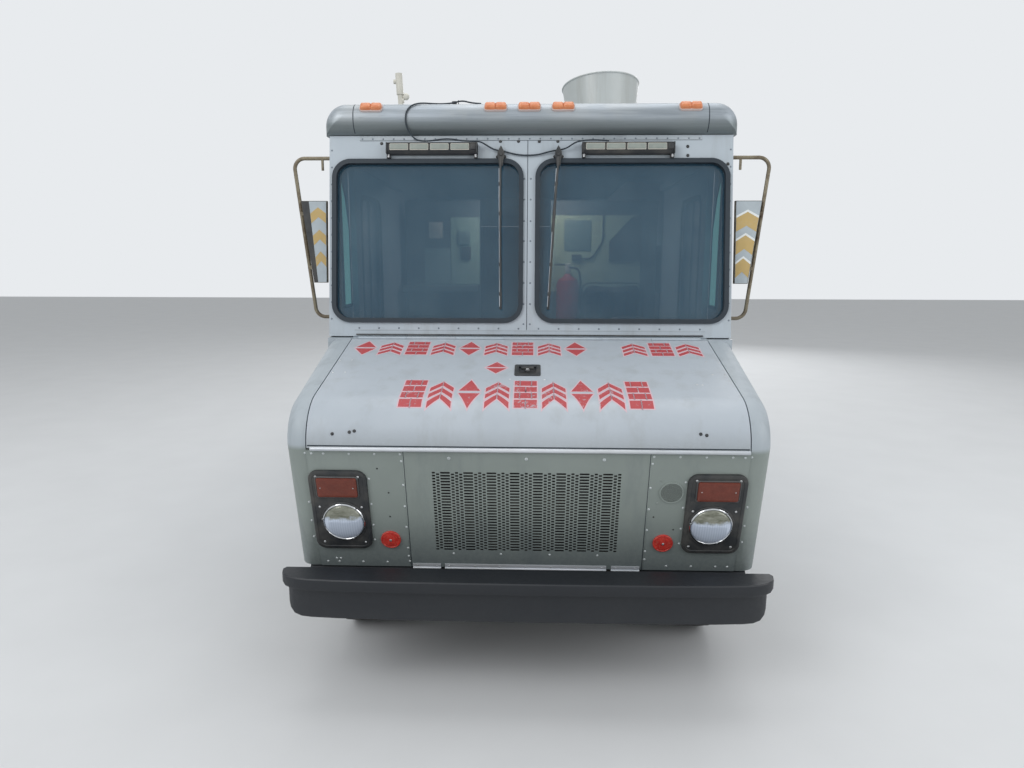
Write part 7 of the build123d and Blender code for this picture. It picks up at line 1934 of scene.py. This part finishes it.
CUSHIONS = (
    # name, size across, deep and thick, middle, lean
    ("seat_cushion_vinyl", (0.44, 0.42, 0.1), (SEAT_X, -1.215, 1.17), 0.0),
    ("seat_back_vinyl", (0.42, 0.56, 0.08), (SEAT_X, -1.0, 1.46), pi / 2),
)
for name, size, centre, lean in CUSHIONS:
    mesh, place = stuffed(name, size, centre, lean)
    made = show(name, mesh, SEAT_VINYL, ["seat_cushions"], crease=60)
    welt = bmesh.new()
    for height in (-0.34, 0.34):
        outline = rounded(size[0] + 0.012, size[1] + 0.012, 0.06, height * size[2], 6)
        tube(welt, outline, 0.0035, place, 8, looped=True)
    piece(name + "_welts", welt, SEAT_VINYL)

# Camera, as fitted to the photograph: a pinhole on a 36 mm wide sensor
CAMERA_PLACE = Vector((0.026, NOSE_Y - 2.868, 1.9))
CAMERA_DOWN = radians(10.0)
CAMERA_TURN = radians(1.74)
CAMERA_ROLL = radians(0.11)
CAMERA_LENS = 24.61

camera_data = bpy.data.cameras.new("photo_camera")
camera_data.sensor_width = 36
camera_data.lens = CAMERA_LENS
camera_data.clip_start = 0.05
camera_data.clip_end = 200
camera = placed("photo_camera", camera_data)
camera.matrix_world = (Matrix.Translation(CAMERA_PLACE) @ Matrix.Rotation(CAMERA_TURN, 4, "Z")
                       @ Matrix.Rotation(pi / 2 - CAMERA_DOWN, 4, "X") @ Matrix.Rotation(CAMERA_ROLL, 4, "Z"))
bpy.context.scene.camera = camera

# Stage: a pale floor, a pale surround and soft lamps
FLOOR_HALF = 30
BACKDROP = rgb(232, 235, 238)
WORLD_LIGHT = 0.55

floor_finish = Finish("studio_floor", Roughness=0.85)
floor_tone = floor_finish.mix(floor_finish.noise(2.0, 3.0), rgb(204, 206, 208), rgb(212, 214, 216))
floor_mesh = bpy.data.meshes.new("studio_floor")
floor_corners = oblong(-FLOOR_HALF, -FLOOR_HALF, FLOOR_HALF, FLOOR_HALF)
floor_mesh.from_pydata([(*point, 0) for point in floor_corners], [], [(0, 1, 2, 3)])
floor_mesh.materials.append(floor_finish.done(floor_tone))
studio_floor = placed("studio_floor", floor_mesh)
studio_floor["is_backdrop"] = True

LAMPS = (
    # name, place, aim, size, watts
    ("key_lamp", (-5.5, -8.0, 6.5), (0, -1.5, 1.2), 5.0, 330),
    ("fill_lamp", (6.5, -6.0, 4.0), (0, -1.0, 1.2), 5.0, 180),
    ("top_lamp", (0.0, 0.5, 9.0), (0, 0.0, 0.0), 7.0, 300),
    ("back_lamp", (3.0, 9.0, 5.0), (0, 1.0, 1.5), 5.0, 240),
    ("inside_lamp", (0.0, -0.9, 2.48), (0, -0.6, 1.2), 0.7, 14),
)
for name, spot, aim, size, power in LAMPS:
    lamp_data = bpy.data.lights.new(name, "AREA")
    lamp_data.size = size
    lamp_data.energy = power
    lamp = placed(name, lamp_data)
    lamp.location = spot
    lamp.rotation_mode = "QUATERNION"
    lamp.rotation_quaternion = (Vector(aim) - Vector(spot)).to_track_quat("-Z", "Y")

world = bpy.data.worlds.new("studio_surround")
bpy.context.scene.world = world
world.use_nodes = True
tree = world.node_tree
tree.nodes.clear()
rays = tree.nodes.new("ShaderNodeLightPath").outputs
seen = rays["Is Camera Ray"]
for kind in ("Is Transmission Ray", "Is Glossy Ray"):
    seen = step(tree, "ShaderNodeMath", {0: seen, 1: rays[kind]}, operation="MAXIMUM")
surround = step(tree, "ShaderNodeBackground", {"Color": (0.97, 0.99, 1.0, 1.0), "Strength": WORLD_LIGHT})
backdrop = step(tree, "ShaderNodeBackground", {"Color": BACKDROP, "Strength": 1.0})
either = step(tree, "ShaderNodeMixShader", {0: seen, 1: surround, 2: backdrop})
step(tree, "ShaderNodeOutputWorld", {0: either})

bpy.context.scene.view_settings.view_transform = "Standard"

for made in templates:
    bpy.data.objects.remove(made)
low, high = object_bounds()
